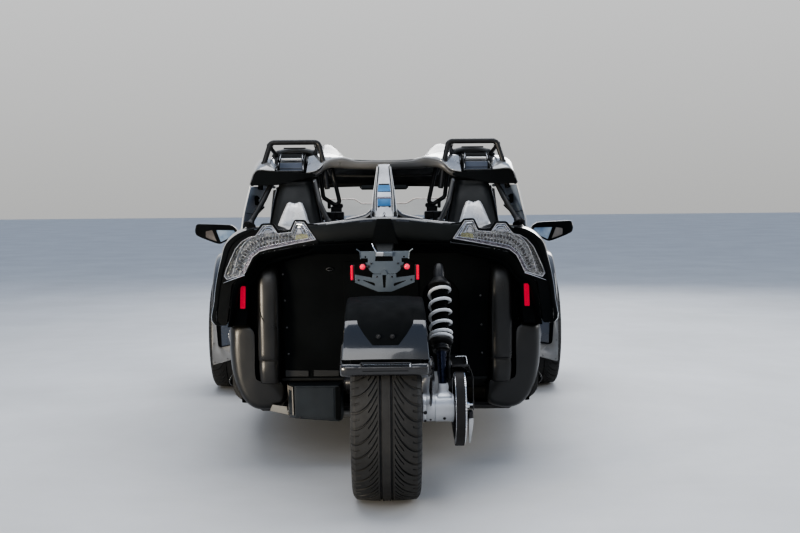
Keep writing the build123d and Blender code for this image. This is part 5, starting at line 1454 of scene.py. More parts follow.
def deck():
    xs = [0, 34, 60, 110, 168, 230, 284]
    zt = [1037, 1037, 1036.5, 1032, 1024, 1016, 1010]
    zb = [958.5, 958.5, 958, 956, 951.5, 946.5, 941]
    yr = [-1222, -1222, -1222, -1221, -1218, -1214, -1208]
    def row(x, t, b, y):
        return [(x, -850, t - 8), (x, -1000, t - 3), (x, -1150, t), (x, y + 24, t - 1.5), (x, y + 9, t - 8), (x, y + 3, t - 22), (x, y, (t + b) / 2), (x, y, b + 10), (x, y + 5, b),
                (x, y + 20, b - 9), (x, y + 72, b - 34), (x, -1040, 893), (x, -965, 884)]
    half = [row(*a) for a in zip(xs, zt, zb, yr)]
    # the end slants from the lamp's tip up to its first peak
    half[-1] = [((262 + 44 * max(0.0, min(1.0, (z - 946) / 66.0))) if y < -1180 else 300, y, z) for x, y, z in half[-1]]
    rows = [[(-x, y, z) for x, y, z in r] for r in half[:0:-1]] + half
    g = grid_from(rows, 3, 4)
    v, f = sheet_mesh(g, -4)
    o = piece("deck_shell", v, f, "gloss_soft", "gloss_black", sharp=45)
    o.data.materials.append(M["strip_face"])
    o.data.materials.append(M["matte_deep"])
    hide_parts("rear_deck")
    for p in o.data.polygons:
        c = p.center / MM
        if c.y < -1185 and c.z < 1012 + max(0.0, 15 * (1 - abs(c.x) / 230)):
            p.material_index = 1 if c.z > 945 else 2
        elif c.z < 950:
            p.material_index = 2
    bevel(o, 1.0, 2, 50)
    # pale lip along the top rear edge: a painted highlight where the gloss edge catches the light
    lip = [(-284, -1190, 1010.5), (-230, -1194, 1016.5), (-168, -1197, 1024.5), (-110, -1199, 1033), (-84, -1196, 1040), (-62, -1190, 1052)]
    for k, pts in enumerate((lip, [(-x, y, z) for x, y, z in lip])):
        v, f = tube_mesh([(p.x, p.y, p.z) for p in catmull(pts, 5)], 2.4, 8)
        piece("deck_lip_%d" % k, v, f, "deck_edge", "gloss_black")
    # outer pieces of the deck behind the seats, out to the quarter panels
    rows = [[(x, y, z) for x, y, z in ((284, y0, za), (380, y0, zb_), (470, y0, zc), (566, y0, zd))] for y0, za, zb_, zc, zd in
            ((-850, 1000, 998, 994, 986), (-1000, 1003, 1000, 995, 986), (-1080, 1004, 996, 994, 984))]
    rows.append([(300, lens_y(300, 1000) + 34, 1004), (380, lens_y(380, 984) + 32, 983), (470, lens_y(470, 990) + 32, 988), (566, lens_y(566, 970) + 32, 976)])
    skin("deck_wing", rows, "gloss", "gloss_black", t=6, ku=4, kv=4, edge=1.5, mirror=True)
    # dark tapering panel under the fin's foot, with the drop below the strip
    out = [(-30, 1032), (27, 1032), (33, 1004), (44, 962), (57, 930), (-52, 930), (-46, 962), (-36, 1004)]
    place = lambda u, v, w: (u, -1231 + max(0.0, v - 1016) * 0.7 + w + max(0.0, (958 - v)) * 0.1, v)
    plate("deck_centre_panel", rounded(out, 3), place, 16, "matte_deep", "matte_black", edge=1.5)
    # underside valance between the corners, going forward to the wall
    rows = []
    for x in (-284, -150, 0, 150, 284):
        rows.append([(x, -1200, 940 - abs(x) * 0.03), (x, -1150, 920 - abs(x) * 0.03), (x, -1060, 898), (x, -962, 884)])
    skin("deck_underside", rows, "matte_deep", "matte_black", t=-4, ku=3, kv=3, edge=1.0)
    v, f = join([screw((sx * 344 / 2 - 40, -1130 + 0, 916 - 3), (0, -0.5, -1), 5, 3, "dome") for sx in (-1, 1)])
    piece("deck_underside_rivets", v, f, "steel", "dark_steel")


def gloss_edge():
    n = Nodes("polished_gloss_edge")
    n.colour(n.noise(9, 4), (0.10, 0.102, 0.105), (0.17, 0.172, 0.175))
    n.rough(n.noise(30, 4), 0.10, 0.2)
    n.set(Coat_Weight=1.0, Coat_Roughness=0.03, Metallic=0.4)
    n.bump(n.noise(300, 2), 0.05, 0.0004)
    M["gloss_edge"] = n.m
    M["strip_face"] = moulded("satin_strip_face", (0.0050, 0.0062, 0.0066), (0.0082, 0.0098, 0.0102), grain=1400, strength=0.12, rough=(0.48, 0.62), spec=0.14)


gloss_edge()
deck()


def rear_wall():
    # main moulded panel with rounded edges; arched recess to the right
    arch = [(311, 352), (311, 690)] + [(234 + 77 * cos(radians(a)), 697 + 77 * sin(radians(a))) for a in range(10, 171, 16)] + [(157, 690), (157, 352)]
    out = [(-419, 352), (-430, 700), (-440, 884), (-300, 896), (0, 898), (300, 896), (446, 884), (432, 700), (424, 352)]
    full = out[:-1] + [(424, 352)] + arch
    o = plate("rear_wall", rounded(full, 5, 2), lambda u, v, w: (u, -966 + w, v), 10, "wall", "matte_black", edge=2.0, segments=3)
    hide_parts("rear_bulkhead")
    # recess liner and its side returns
    ring = arch[::-1]
    rows = [[(x + (234 - x) * k, y, z if z > 360 else 352) for x, z in ring] for k, y in ((0.0, -962), (0.02, -950), (0.05, -935))]
    skin("arch_return", rows, "matte_deep", "matte_black", t=-3, ku=2, kv=2, edge=0.8)
    plate("arch_liner", [(160, 352), (308, 352), (308, 690)] + [(234 + 74 * cos(radians(a)), 697 + 74 * sin(radians(a))) for a in range(6, 175, 14)] + [(160, 690)],
          lambda u, v, w: (u, -936 + w, v), 8, "matte_deep", "matte_black", edge=0.0)
    # side parts of the wall behind the columns
    for s in (-1, 1):
        plate("wall_side_%s" % ("l" if s < 0 else "r"), [(s * 434, 352), (s * 556, 352), (s * 556, 880), (s * 446, 880)], lambda u, v, w: (u, -956 + w, v), 22, "matte_deep", "matte_black", edge=1.5)
    # raised centre panel behind the tyre, with its top flange
    pan = [(-170, 400), (-172, 850), (120, 850), (124, 790), (140, 780), (144, 400)]
    plate("wall_centre_panel", rounded(pan, 8, 3), lambda u, v, w: (u, -972 + w, v), 8, "wall", "matte_black", edge=2.0)
    # low strips, satin
    for k, (a, b) in enumerate(((-418, -322), (-300, -196))):
        plate("wall_low_strip_%d" % k, rounded([(a, 370), (b, 370), (b, 394), (a, 397)], 3), lambda u, v, w: (u, -973 + w, v), 8, "strip", "matte_black", edge=1.2)
    plate("wall_low_rail", [(-434, 352), (424, 352), (424, 364), (-434, 364)], lambda u, v, w: (u, -974 + w, v), 10, "matte", "matte_black", edge=1.5)
    # fasteners
    heads = [(-424, 798), (-417, 688), (-410, 575), (-404, 464), (378, 868), (398, 702), (402, 580), (404, 462)]
    v, f = join([screw((x, -966, z), (0, -1, 0), 5.2, 3.2, "dome") for x, z in heads])
    piece("wall_rivets", v, f, "rivet", "dark_steel")
    v, f = tube_mesh([(p.x, p.y, p.z) for p in catmull([(-243, -972, 818), (-236, -976, 823), (-222, -976, 823), (-214, -972, 818), (-222, -976, 813), (-236, -976, 813)], 4, closed=True)], 1.8, 8, closed=True)
    piece("wall_tie_loop", v, f, "rivet", "dark_steel")


def strip_material():
    M["wall"] = moulded("wall_black_plastic", (0.0022, 0.0030, 0.0034), (0.0044, 0.0056, 0.0062), rough=(0.5, 0.7), spec=0.07)
    M["strip"] = moulded("light_grey_black_strip", (0.020, 0.021, 0.0215), (0.032, 0.033, 0.034), grain=800, strength=0.2, rough=(0.4, 0.55))
    M["rivet"] = metal("dull_rivet", (0.10, 0.10, 0.10), (0.2, 0.2, 0.2), rough=(0.3, 0.5))


strip_material()
rear_wall()


def columns():
    # soft-edged upright on each side of the wheel well, in two lengths with a step between them
    def ring(cx, z, hx, y0, y1, r):
        pts = []
        for qx, qy, a0 in ((1, 0, 0), (1, 1, 90), (0, 1, 180), (0, 0, 270)):
            pass
        cy, hy = (y0 + y1) / 2, (y1 - y0) / 2
        n = 28
        for k in range(n):
            a = 2 * pi * k / n
            ca, sa = cos(a), sin(a)
            e = 0.62
            pts.append((cx + hx * math.copysign(abs(ca) ** e, ca), cy + hy * math.copysign(abs(sa) ** e, sa), z))
        return pts
    cx = 480
    up = [ring(cx - 1, 446, 45, -1046, -958, 0), ring(cx - 1, 449, 46.5, -1048, -958, 0), ring(cx - 1, 520, 46.5, -1048, -958, 0), ring(cx, 640, 47, -1048, -958, 0), ring(cx + 1, 740, 46, -1044, -958, 0),
          ring(cx + 2, 800, 44, -1034, -958, 0), ring(cx + 3, 835, 42, -1015, -958, 0), ring(cx + 4, 852, 40, -990, -958, 0)]
    solid_loft("rear_column", up, "column", "lining_black", ku=1, kv=3, cv=(1,), mirror=True, sharp=40)
    low = [ring(cx - 3, 350, 36, -1030, -960, 0), ring(cx - 2, 353, 40, -1036, -960, 0), ring(cx - 1, 372, 42, -1040, -960, 0), ring(cx - 1, 436, 43.5, -1042, -960, 0), ring(cx - 1, 446, 43, -1040, -960, 0)]
    solid_loft("rear_column_foot", low, "column", "lining_black", ku=1, kv=3, cv=(1,), mirror=True, sharp=40)
    # rolled edge between them, running in to the wall, in the lighter sill plastic as a painted highlight on the edge
    pts = [(524, -985, 447), (522, -1020, 447.5), (508, -1046, 448), (480, -1050, 448.5), (450, -1044, 449), (430, -1010, 446), (426, -975, 442)]
    v, f = tube_mesh([(p.x, p.y, p.z) for p in catmull(pts, 5)], 2.4, 8)
    piece("rear_column_seam", v, f, "pod", "lining_black", mirror=True)
    # crease on the left one
    v, f = tube_mesh([(p.x, p.y, p.z) for p in catmull([(-519, -1032, 690), (-514, -1042, 655), (-503, -1048.5, 620), (-492, -1050, 606)], 5)], [0.4, 0.8, 1.2, 1.4, 1.5, 1.5, 1.5, 1.5, 1.5, 1.4, 1.3, 1.2, 1.0, 0.8, 0.6, 0.3], 6)
    piece("rear_column_crease", v, f, "matte_deep", "lining_black")


def column_material():
    M["column"] = moulded("soft_black_column", (0.0055, 0.0056, 0.0056), (0.0095, 0.0095, 0.0093), grain=420, depth=0.0006, strength=0.3, rough=(0.27, 0.38), spec=0.5)


column_material()
columns()


def pods():
    # rear ends of the sills: soft-cornered, with a shelf under the column
    P = [(421, 262), (434, 243), (462, 233), (505, 227), (535, 230), (562, 240), (592, 264), (615, 298), (632, 336), (643, 382), (650, 440), (653, 500), (652, 550), (648, 584), (634, 599), (612, 603), (578, 604),
         (562, 596), (556, 560), (556, 460), (556, 385), (548, 354), (530, 345), (480, 344), (440, 344), (424, 336), (421, 300)]
    cx, cz = 520, 420
    def ring(y, k, dx=0.0):
        return [(x + (cx - x) * k * (1.0 if x > cx else 0.25) + dx, y, z + (cz - z) * k * 0.45) for x, z in P]
    rings = [ring(-890, 0.0), ring(-925, 0.006), ring(-950, 0.025), ring(-970, 0.06), ring(-986, 0.115), ring(-997, 0.19), ring(-1003, 0.28), ring(-1006, 0.40)]
    o = solid_loft("sill_pod", rings, "pod_deep", "lining_black", ku=2, kv=3, mirror=True, sharp=50)
    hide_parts("side_sills")
    # sill: outer skin from pod to footwell, with a rolled lower edge
    S = []
    for y, xi, xo, zb, zt, zo, bv in ((-962, 562, 640, 262, 604, 594, 74), (-880, 562, 642, 256, 596, 586, 74), (-700, 562, 654, 230, 585, 575, 80), (-300, 562, 690, 185, 545, 520, 56),
                                      (150, 562, 706, 168, 560, 528, 50), (400, 562, 700, 166, 592, 545, 48), (560, 562, 690, 165, 620, 560, 46)):
        S.append([(xi, y, zb + 40), (xi + 1, y, zb + 6), (xi + 8, y, zb), (xi + 40, y, zb - 0.5), (xo - bv, y, zb + 1), (xo - bv * 0.55, y, zb + bv * 0.12), (xo - bv * 0.2, y, zb + bv * 0.42), (xo - 1, y, zb + bv),
                  (xo, y, zb + bv + 30), (xo, y, (zb + zo) / 2 + 20), (xo - 1, y, zo - 74), (xo - 4, y, zo - 56), (xo - 16, y, zo - 24), (xo - 32, y, zo), (xo - 60, y, zo + (zt - zo) * 0.5 + 4), (xi + 8, y, zt), (xi, y, zt - 8), (xi, y, zt - 80)])
    g = [catmull(r, 3) for r in S]
    solid_loft("side_sill", [[tuple(p) for p in r] for r in g], "pod", "lining_black", ku=1, kv=4, mirror=True, sharp=40)
    # gloss blade along the sill
    rows = []
    for y, xo, z in ((-820, 664, 330), (-500, 679, 318), (-100, 700, 305), (200, 704, 300), (420, 698, 306), (540, 691, 330)):
        rows.append([(xo - 4, y, z + 26), (xo + 4, y, z + 16), (xo + 10, y, z), (xo + 4, y, z - 14), (xo - 4, y, z - 22)])
    skin("sill_blade", rows, "gloss", "gloss_black", t=4, ku=3, kv=4, edge=1.0, mirror=True)


def pod_material():
    M["pod_deep"] = moulded("soft_black_pod", (0.0045, 0.0047, 0.0047), (0.0080, 0.0082, 0.0081), grain=420, depth=0.0006, strength=0.3, rough=(0.28, 0.40), spec=0.5)


pod_material()
pods()


def silencer():
    rings = []
    for y, xl, xr, zbl, zbr, zt in ((-1062, -374, -194, 214, 198, 344), (-1058, -377, -192, 211, 195, 346), (-1012, -402, -182, 207, 191, 346), (-890, -408, -180, 200, 188, 346)):
        pts = [(xl, y, zbl), (xr, y, zbr), (xr, y, zt), (xl, y, zt)]
        ring = []
        for i in range(4):
            a, b, c = Vector(pts[i - 1]), Vector(pts[i]), Vector(pts[(i + 1) % 4])
            for t in ((a - b).normalized() * 4, Vector(), (c - b).normalized() * 4):
                q = b + t * (1.0 if t.length else 0)
                if not t.length:
                    q = b + ((a - b).normalized() + (c - b).normalized()) * 1.3
                ring.append(tuple(q))
        rings.append(ring)
    o = solid_loft("silencer_case", rings, "silencer", "dark_steel", ku=1, kv=2, cu=tuple(range(12)), cv=(0, 1, 2, 3), sharp=30)
    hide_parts("silencer_box")
    bevel(o, 1.5, 2, 25)
    # folded side plate painted pale tan for the sunlight on it, rear face plate with its screw, dark end strip
    plate("silencer_side_plate", [(-1066, 224), (-1012, 216), (-900, 210), (-900, 342), (-1012, 342), (-1060, 340)],
          lambda u, v, w: (-381 - (u + 1062) * (25 / 50) * 1.0 - w if u < -1012 else -406 - (u + 1012) * 0.035 - w, u, v), 3, "side_tan", "dark_steel", edge=0.8)
    plate("silencer_face", rounded([(-370, 222), (-214, 208), (-214, 338), (-370, 338)], 4), lambda u, v, w: (u, -1066 + w, v), 4, "silencer", "dark_steel", edge=1.0)
    plate("silencer_end_strip", rounded([(-208, 204), (-186, 202), (-186, 340), (-208, 340)], 3), lambda u, v, w: (u, -1066 + w, v), 6, "matte_deep", "dark_steel", edge=1.0)
    v, f = screw((-352, -1066, 214), (0, -1, 0), 3.6, 3, "hex")
    piece("silencer_screw", v, f, "dark_steel", "dark_steel")
    # bracket between the box and the pod, painted pale tan for the sunlight on it
    out = [(-470, 262), (-412, 252), (-404, 214), (-452, 226), (-482, 234)]
    plate("silencer_bracket", rounded(out, 3), lambda u, v, w: (u, -1000 + w - (v - 214) * 0.5, v), 4, "bracket", "dark_steel", edge=0.8)
    v, f = tube_mesh([(-300, -905, 236), (-300, -885, 226), (-280, -840, 198), (-200, -780, 180), (-90, -700, 168), (-30, -600, 142)], 22, 16)
    piece("exhaust_pipe", v, f, "engine", "engine_alloy")


def silencer_material():
    # pale tan side sheet: painted sunlight
    M["side_tan"] = metal("painted_sunlit_side_sheet", (0.17, 0.16, 0.145), (0.25, 0.235, 0.21), rough=(0.4, 0.55), metallic=0.3)
    M["silencer"] = metal("blue_grey_silencer_sheet", (0.013, 0.0175, 0.022), (0.022, 0.028, 0.034), rough=(0.38, 0.55), metallic=0.4, grain=300)
    # pale tan bracket: painted sunlight
    M["bracket"] = metal("bracket_painted_sunlit_tan", (0.24, 0.23, 0.21), (0.36, 0.35, 0.32), rough=(0.45, 0.6), metallic=0.3)


silencer_material()
silencer()

# ------------------------------------------------------------------ roof, hoops, fairings, fin, screens
def top_materials():
    M["roof_paint"] = gloss_paint("satin_roof_paint", (0.005, 0.005, 0.0055), (0.009, 0.009, 0.0095), coat=0.35, rough=(0.26, 0.38))
    M["dim_mirror"] = metal("dimmed_mirror_glass", (0.03, 0.035, 0.04), (0.045, 0.05, 0.056), rough=(0.03, 0.08), grain=40, strength=0.01)
    M["trim_grey"] = moulded("grey_header_trim", (0.05, 0.05, 0.05), (0.08, 0.08, 0.079), grain=500, strength=0.15, rough=(0.25, 0.4), spec=0.5)
    M["spar_end"] = moulded("light_spar_end", (0.11, 0.108, 0.105), (0.17, 0.167, 0.16), grain=900, strength=0.15, rough=(0.3, 0.42), spec=0.5)
    M["screen_rim"] = moulded("pale_screen_rim", (0.58, 0.52, 0.505), (0.76, 0.69, 0.67), grain=700, strength=0.08, rough=(0.3, 0.45), spec=0.4)
    M["spar"] = moulded("satin_roof_spar", (0.070, 0.0685, 0.066), (0.105, 0.102, 0.098), grain=900, strength=0.15, rough=(0.26, 0.4), spec=0.5)
    M["fin_silver"] = metal("bright_fin_panel", (0.17, 0.175, 0.186), (0.29, 0.295, 0.31), rough=(0.10, 0.2), metallic=0.75, grain=120, strength=0.06)
    # fin facet colours: painted reflections of the sky
    M["fin_grey"] = metal("painted_grey_reflection_facet", (0.16, 0.175, 0.20), (0.26, 0.28, 0.31), rough=(0.08, 0.16), metallic=0.8, grain=60, strength=0.05)
    M["fin_blue"] = metal("painted_sky_reflection_facet", (0.010, 0.036, 0.082), (0.04, 0.10, 0.18), rough=(0.05, 0.14), metallic=0.9, grain=60, strength=0.05)
    M["hump"] = metal("satin_silver_hump", (0.48, 0.485, 0.49), (0.64, 0.645, 0.65), rough=(0.2, 0.34), metallic=0.25, grain=500, strength=0.12)
    M["sail"] = moulded("dark_blue_grey_sail", (0.19, 0.23, 0.295), (0.265, 0.32, 0.405), grain=1200, strength=0.08, rough=(0.28, 0.40), spec=0.45, big=3)
    # blue-grey gloss for a vent slat: a painted sky reflection
    M["slat"] = gloss_paint("slat_painted_sky_reflection", (0.03, 0.037, 0.055), (0.06, 0.072, 0.10), coat=1.0, rough=(0.08, 0.16))
    # pale edge material: a painted highlight for edges and slats that catch the light
    M["lit_edge"] = moulded("painted_highlight_edge", (0.42, 0.43, 0.43), (0.6, 0.61, 0.61), grain=500, strength=0.15, rough=(0.25, 0.4), spec=0.5)
    # pale grey gloss for the rear roof halves: a painted reflection of the sky on the black roof
    M["roof_pale"] = gloss_paint("painted_sky_reflection_gloss", (0.12, 0.122, 0.125), (0.20, 0.203, 0.207), coat=1.0, rough=(0.10, 0.18))


top_materials()


def roof():
    X0 = [176, 200, 229, 250, 285, 325]
    rows_inner = [
        (-838, [1277, 1275, 1270, 1256, 1224, 1216], (0, 0, 0, -8, -46, -52)),
        (-826, [1281, 1279, 1275, 1263, 1234, 1224], (0, 0, 0, -4, -30, -46)),
        (-760, [1282, 1284, 1284, 1282, 1276, 1262], (0, 0, 0, 0, 0, 0)),
        (-700, [1281, 1285, 1288, 1290, 1291, 1286], (0,) * 6),
        (-640, [1281, 1290, 1298, 1303, 1301, 1290], (0,) * 6),
    ]
    rows = [[(x, y + dy, z) for x, z, dy in zip(X0, zs, d)] for y, zs, d in rows_inner]
    # rear roof halves by the hoops in pale gloss: painted sky reflection
    o = skin("roof_rear_inner", rows, "roof_pale", "gloss_black", t=-5, ku=3, kv=4, edge=1.5, mirror=True)
    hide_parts("roof_side_panels")
    X1 = [458, 480, 505, 530, 550, 566, 578, 588]
    rows_outer = [
        (-888, [1225, 1226, 1228, 1230, 1228, 1216, 1194, 1170]),
        (-868, [1235, 1240, 1241, 1240, 1236, 1222, 1198, 1172]),
        (-800, [1250, 1268, 1266, 1260, 1252, 1236, 1208, 1174]),
        (-700, [1258, 1284, 1284, 1278, 1268, 1250, 1218, 1178]),
        (-640, [1284, 1286, 1286, 1280, 1268, 1250, 1219, 1180]),
    ]
    pull = {-888: 0.785, -868: 0.79, -800: 0.84, -700: 0.91, -640: 0.94, -560: 0.96, -350: 1.0, -100: 1.02}
    draw = lambda x, y: x if x < 458 else 458 + (x - 458) * pull.get(y, 1.0)
    rows = [[(draw(x, y), y, z) for x, z in zip(X1, zs)] for y, zs in rows_outer]
    # outer rear halves in the same pale gloss: painted sky reflection
    skin("roof_rear_outer", rows, "roof_pale", "gloss_black", t=-5, ku=3, kv=4, edge=1.5, mirror=True)
    XF = [176, 200, 229, 250, 285, 325, 400, 458, 480, 505, 530, 550, 566, 578, 588]
    rows_front = [
        (-640, [1281, 1290, 1298, 1303, 1301, 1290, 1286, 1284, 1286, 1286, 1280, 1268, 1250, 1219, 1180], 0),
        (-560, [1281, 1294, 1308, 1316, 1312, 1298, 1292, 1290, 1290, 1288, 1280, 1268, 1250, 1219, 1180], 2),
        (-350, [1282, 1306, 1334, 1347, 1343, 1314, 1308, 1304, 1300, 1294, 1284, 1272, 1252, 1220, 1178], 8),
        (-100, [1274, 1292, 1314, 1324, 1322, 1304, 1300, 1296, 1292, 1286, 1276, 1264, 1244, 1214, 1174], 12),
        (150, [1252, 1262, 1272, 1276, 1276, 1272, 1270, 1266, 1263, 1258, 1250, 1240, 1224, 1198, 1168], 10),
        (320, [1221, 1226, 1230, 1232, 1232, 1231, 1230, 1227, 1225, 1221, 1215, 1208, 1198, 1180, 1162], 2),
        (398, [1196, 1199, 1202, 1203, 1204, 1205, 1204, 1201, 1199, 1196, 1192, 1187, 1180, 1170, 1160], -8),
    ]
    rows = [[(draw(x, y) + wide * max(0.0, (x - 300) / 290), y, z) for x, z in zip(XF, zs)] for y, zs, wide in rows_front]
    skin("roof_panel", rows, "roof_paint", "gloss_black", t=-5, ku=3, kv=4, edge=1.5, mirror=True)
    # rolled outer rail under the side panels
    rail = [(553, -884, 1172), (573, -700, 1176), (592, -350, 1176), (600, -50, 1172), (592, 200, 1164), (572, 392, 1158)]
    v, f = tube_mesh([(p.x, p.y, p.z) for p in catmull(rail, 5)], 8, 12)
    piece("roof_side_rail", v, f, "matte", "matte_black", mirror=True)
    # dark band across the back of each roof half
    out = [(288, 1203), (289, 1214), (330, 1216.5), (445, 1224.5), (500, 1229), (532, 1230), (541, 1223), (559, 1170), (546, 1167), (450, 1168), (380, 1184)]
    plate("roof_rear_band", rounded(out, 5, 3), lambda u, v, w: (u, -893 + w + (v - 1168) * 0.10, v), 12, "matte_deep", "gloss_black", edge=2.5, mirror=True, segments=3)
    # underside of the roof halves behind the seats
    rows = [[(x, y, z) for x, z in ((200, zi), (300, zi - 16), (420, zm), (560, zo))] for y, zi, zm, zo in
            ((-880, 1198, 1180, 1178), (-700, 1262, 1250, 1190), (-500, 1272, 1268, 1200), (-200, 1270, 1262, 1196), (150, 1240, 1234, 1186), (380, 1188, 1184, 1172))]
    skin("roof_lining", [[(x, y, z) for x, y, z in r] for r in rows[1:]], "matte_deep", "matte_black", t=4, ku=4, kv=4, edge=0.8, mirror=True)
    # vent in each opening: slats and cheeks; the blue-grey slat is a painted sky reflection, the pale slat and the
    # cheeks' lower edges are painted highlights
    def slat(name, y, z, h, d, tilt, mat, x0=340, x1=455):
        c, s = cos(radians(tilt)), sin(radians(tilt))
        pts = [(-d / 2, -h / 2), (d / 2, -h / 2), (d / 2, h / 2), (-d / 2, h / 2)]
        ring = lambda x: [(x, y + a * c - b * s, z + a * s + b * c) for a, b in pts]
        v = ring(x0) + ring(x1)
        o = piece(name, v, [(0, 1, 2, 3), (7, 6, 5, 4), (0, 4, 5, 1), (1, 5, 6, 2), (2, 6, 7, 3), (3, 7, 4, 0)], mat, "gloss_black", mirror=True)
        bevel(o, 1.8, 2)
    slat("vent_slat_low", -800, 1250, 26, 8, -18, "slat", 348, 444)
    slat("vent_slat_mid", -770, 1279, 5, 30, 8, "lit_edge", 352, 440)
    slat("vent_slat_top", -720, 1292, 16, 8, -25, "matte", 345, 448)
    slat("vent_floor", -830, 1232, 5, 70, 10, "gloss", 338, 457)
    slat("vent_bar_high", -700, 1327, 6, 10, 0, "tube", 338, 434)
    for k, (xa, xb) in enumerate(((341, 352), (455, 444))):
        for y0, z0, y1, z1 in ((-838, 1232, -716, 1300), (-716, 1236, -830, 1296)):
            v, f = tube_mesh([(xa, y0, z0), ((xa + xb) / 2, (y0 + y1) / 2, (z0 + z1) / 2), (xb, y1, z1)], [2.6, 2.2, 2.6], 8)
            piece("vent_cheek_edge_%d_%d" % (k, int(z1)), v, f, "fin_silver" if z0 == 1232 else "tube", "gloss_black", mirror=True)
        plate("vent_cheek_%d" % k, [(-842, 1228), (-700, 1236), (-648, 1288), (-700, 1300), (-800, 1276)], lambda u, v, w: (xa - 2 + w * (1 if xb > xa else -1) * 0.6, u, v), 4, "matte", "gloss_black", edge=0.8, mirror=True)
    # broad padded grip over the inner bar
    bar = [(304, -629, 1284), (318, -626, 1306), (334, -625, 1311), (436, -625, 1311), (452, -626, 1306), (466, -629, 1284)]
    v, f = tube_mesh([(p.x, p.y, p.z) for p in catmull(bar, 5)], 15.5, 14)
    piece("hoop_grip", v, f, "tube_grip", "tube_black", mirror=True)
    # collars where the tubes meet, and feet on the deck
    parts = []
    for p, d in (((284, -772, 1334), (-0.08, 0.98, -0.2)), ((486, -772, 1334), (0.08, 0.98, -0.2)), ((255.5, -817, 1255), (0.15, 0.17, 0.97)), ((508.6, -817, 1255), (-0.15, 0.17, 0.97))):
        parts.append(lathe([(-9, 11.5), (-9, 14), (9, 14), (9, 11.5)], p, d, 18, close=True))
    v, f = join(parts)
    piece("hoop_collars", v, f, "tube", "tube_black", mirror=True, sharp=30)
    parts = [lathe([(0, 0.1), (0, 26), (4, 26), (9, 16), (22, 13.5), (22, 0.1)], (557, -978, 1002), (-0.3, 0.55, 0.78), 20), lathe([(0, 0.1), (0, 26), (4, 26), (9, 16), (22, 13.5), (22, 0.1)], (225, -1024, 1006), (0.3, 0.4, 0.85), 20)]
    for cx, cy in ((557, -978), (225, -1024)):
        parts += [screw((cx + 17 * cos(a), cy + 17 * sin(a), 1010), (0, 0, 1), 3.6, 3, "hex") for a in (0.6, 2.7, 4.8)]
    v, f = join(parts)
    piece("brace_feet", v, f, "tube", "tube_black", mirror=True)
    v, f = join([screw((478, -862, 1172), (0, -1, 0.1), 5, 4, "hex"), screw((291, -896, 1180), (0, -1, 0.1), 5, 4, "hex")])
    piece("brace_bolts", v, f, "steel", "tube_black", mirror=True)
    # hardware at the foot of each open loop: bracket from the deck up to the loop
    parts = [block((214, -772, 1034), (84, 26, 34), 6), block((206, -760, 1060), (46, 34, 30), 5), block((222, -790, 1030), (30, 60, 36), 6), block((190, -742, 1076), (24, 24, 18), 4), block((236, -776, 1085), (14, 16, 40), 3)]
    parts += [screw((206 + dx, -778, 1062), (0, -1, 0), 4.2, 3, "hex") for dx in (-12, 12)]
    v, f = join(parts)
    piece("loop_foot", v, f, "matte", "dark_steel", mirror=True)
    # pale line along the bracket's top edges: a painted highlight
    v, f = tube_mesh(bent([(173, -785.5, 1020), (173, -785.5, 1050), (250, -785.5, 1050), (255, -785.5, 1045), (255, -785.5, 1020)], 5), 1.5, 6)
    piece("loop_foot_edge", v, f, "lit_edge_soft", "dark_steel", mirror=True)
    v, f = tube_mesh([(p.x, p.y, p.z) for p in catmull([(300, -800, 1050), (270, -806, 1030), (240, -812, 1022), (214, -806, 1040)], 5)], 7, 10)
    piece("loop_harness", v, f, "rubber", "dark_steel", mirror=True)


def grip_material():
    M["tube_grip"] = moulded("grip_black", (0.0075, 0.0085, 0.009), (0.014, 0.0155, 0.016), grain=420, depth=0.0008, strength=0.4, rough=(0.34, 0.5), spec=0.4)


grip_material()
roof()


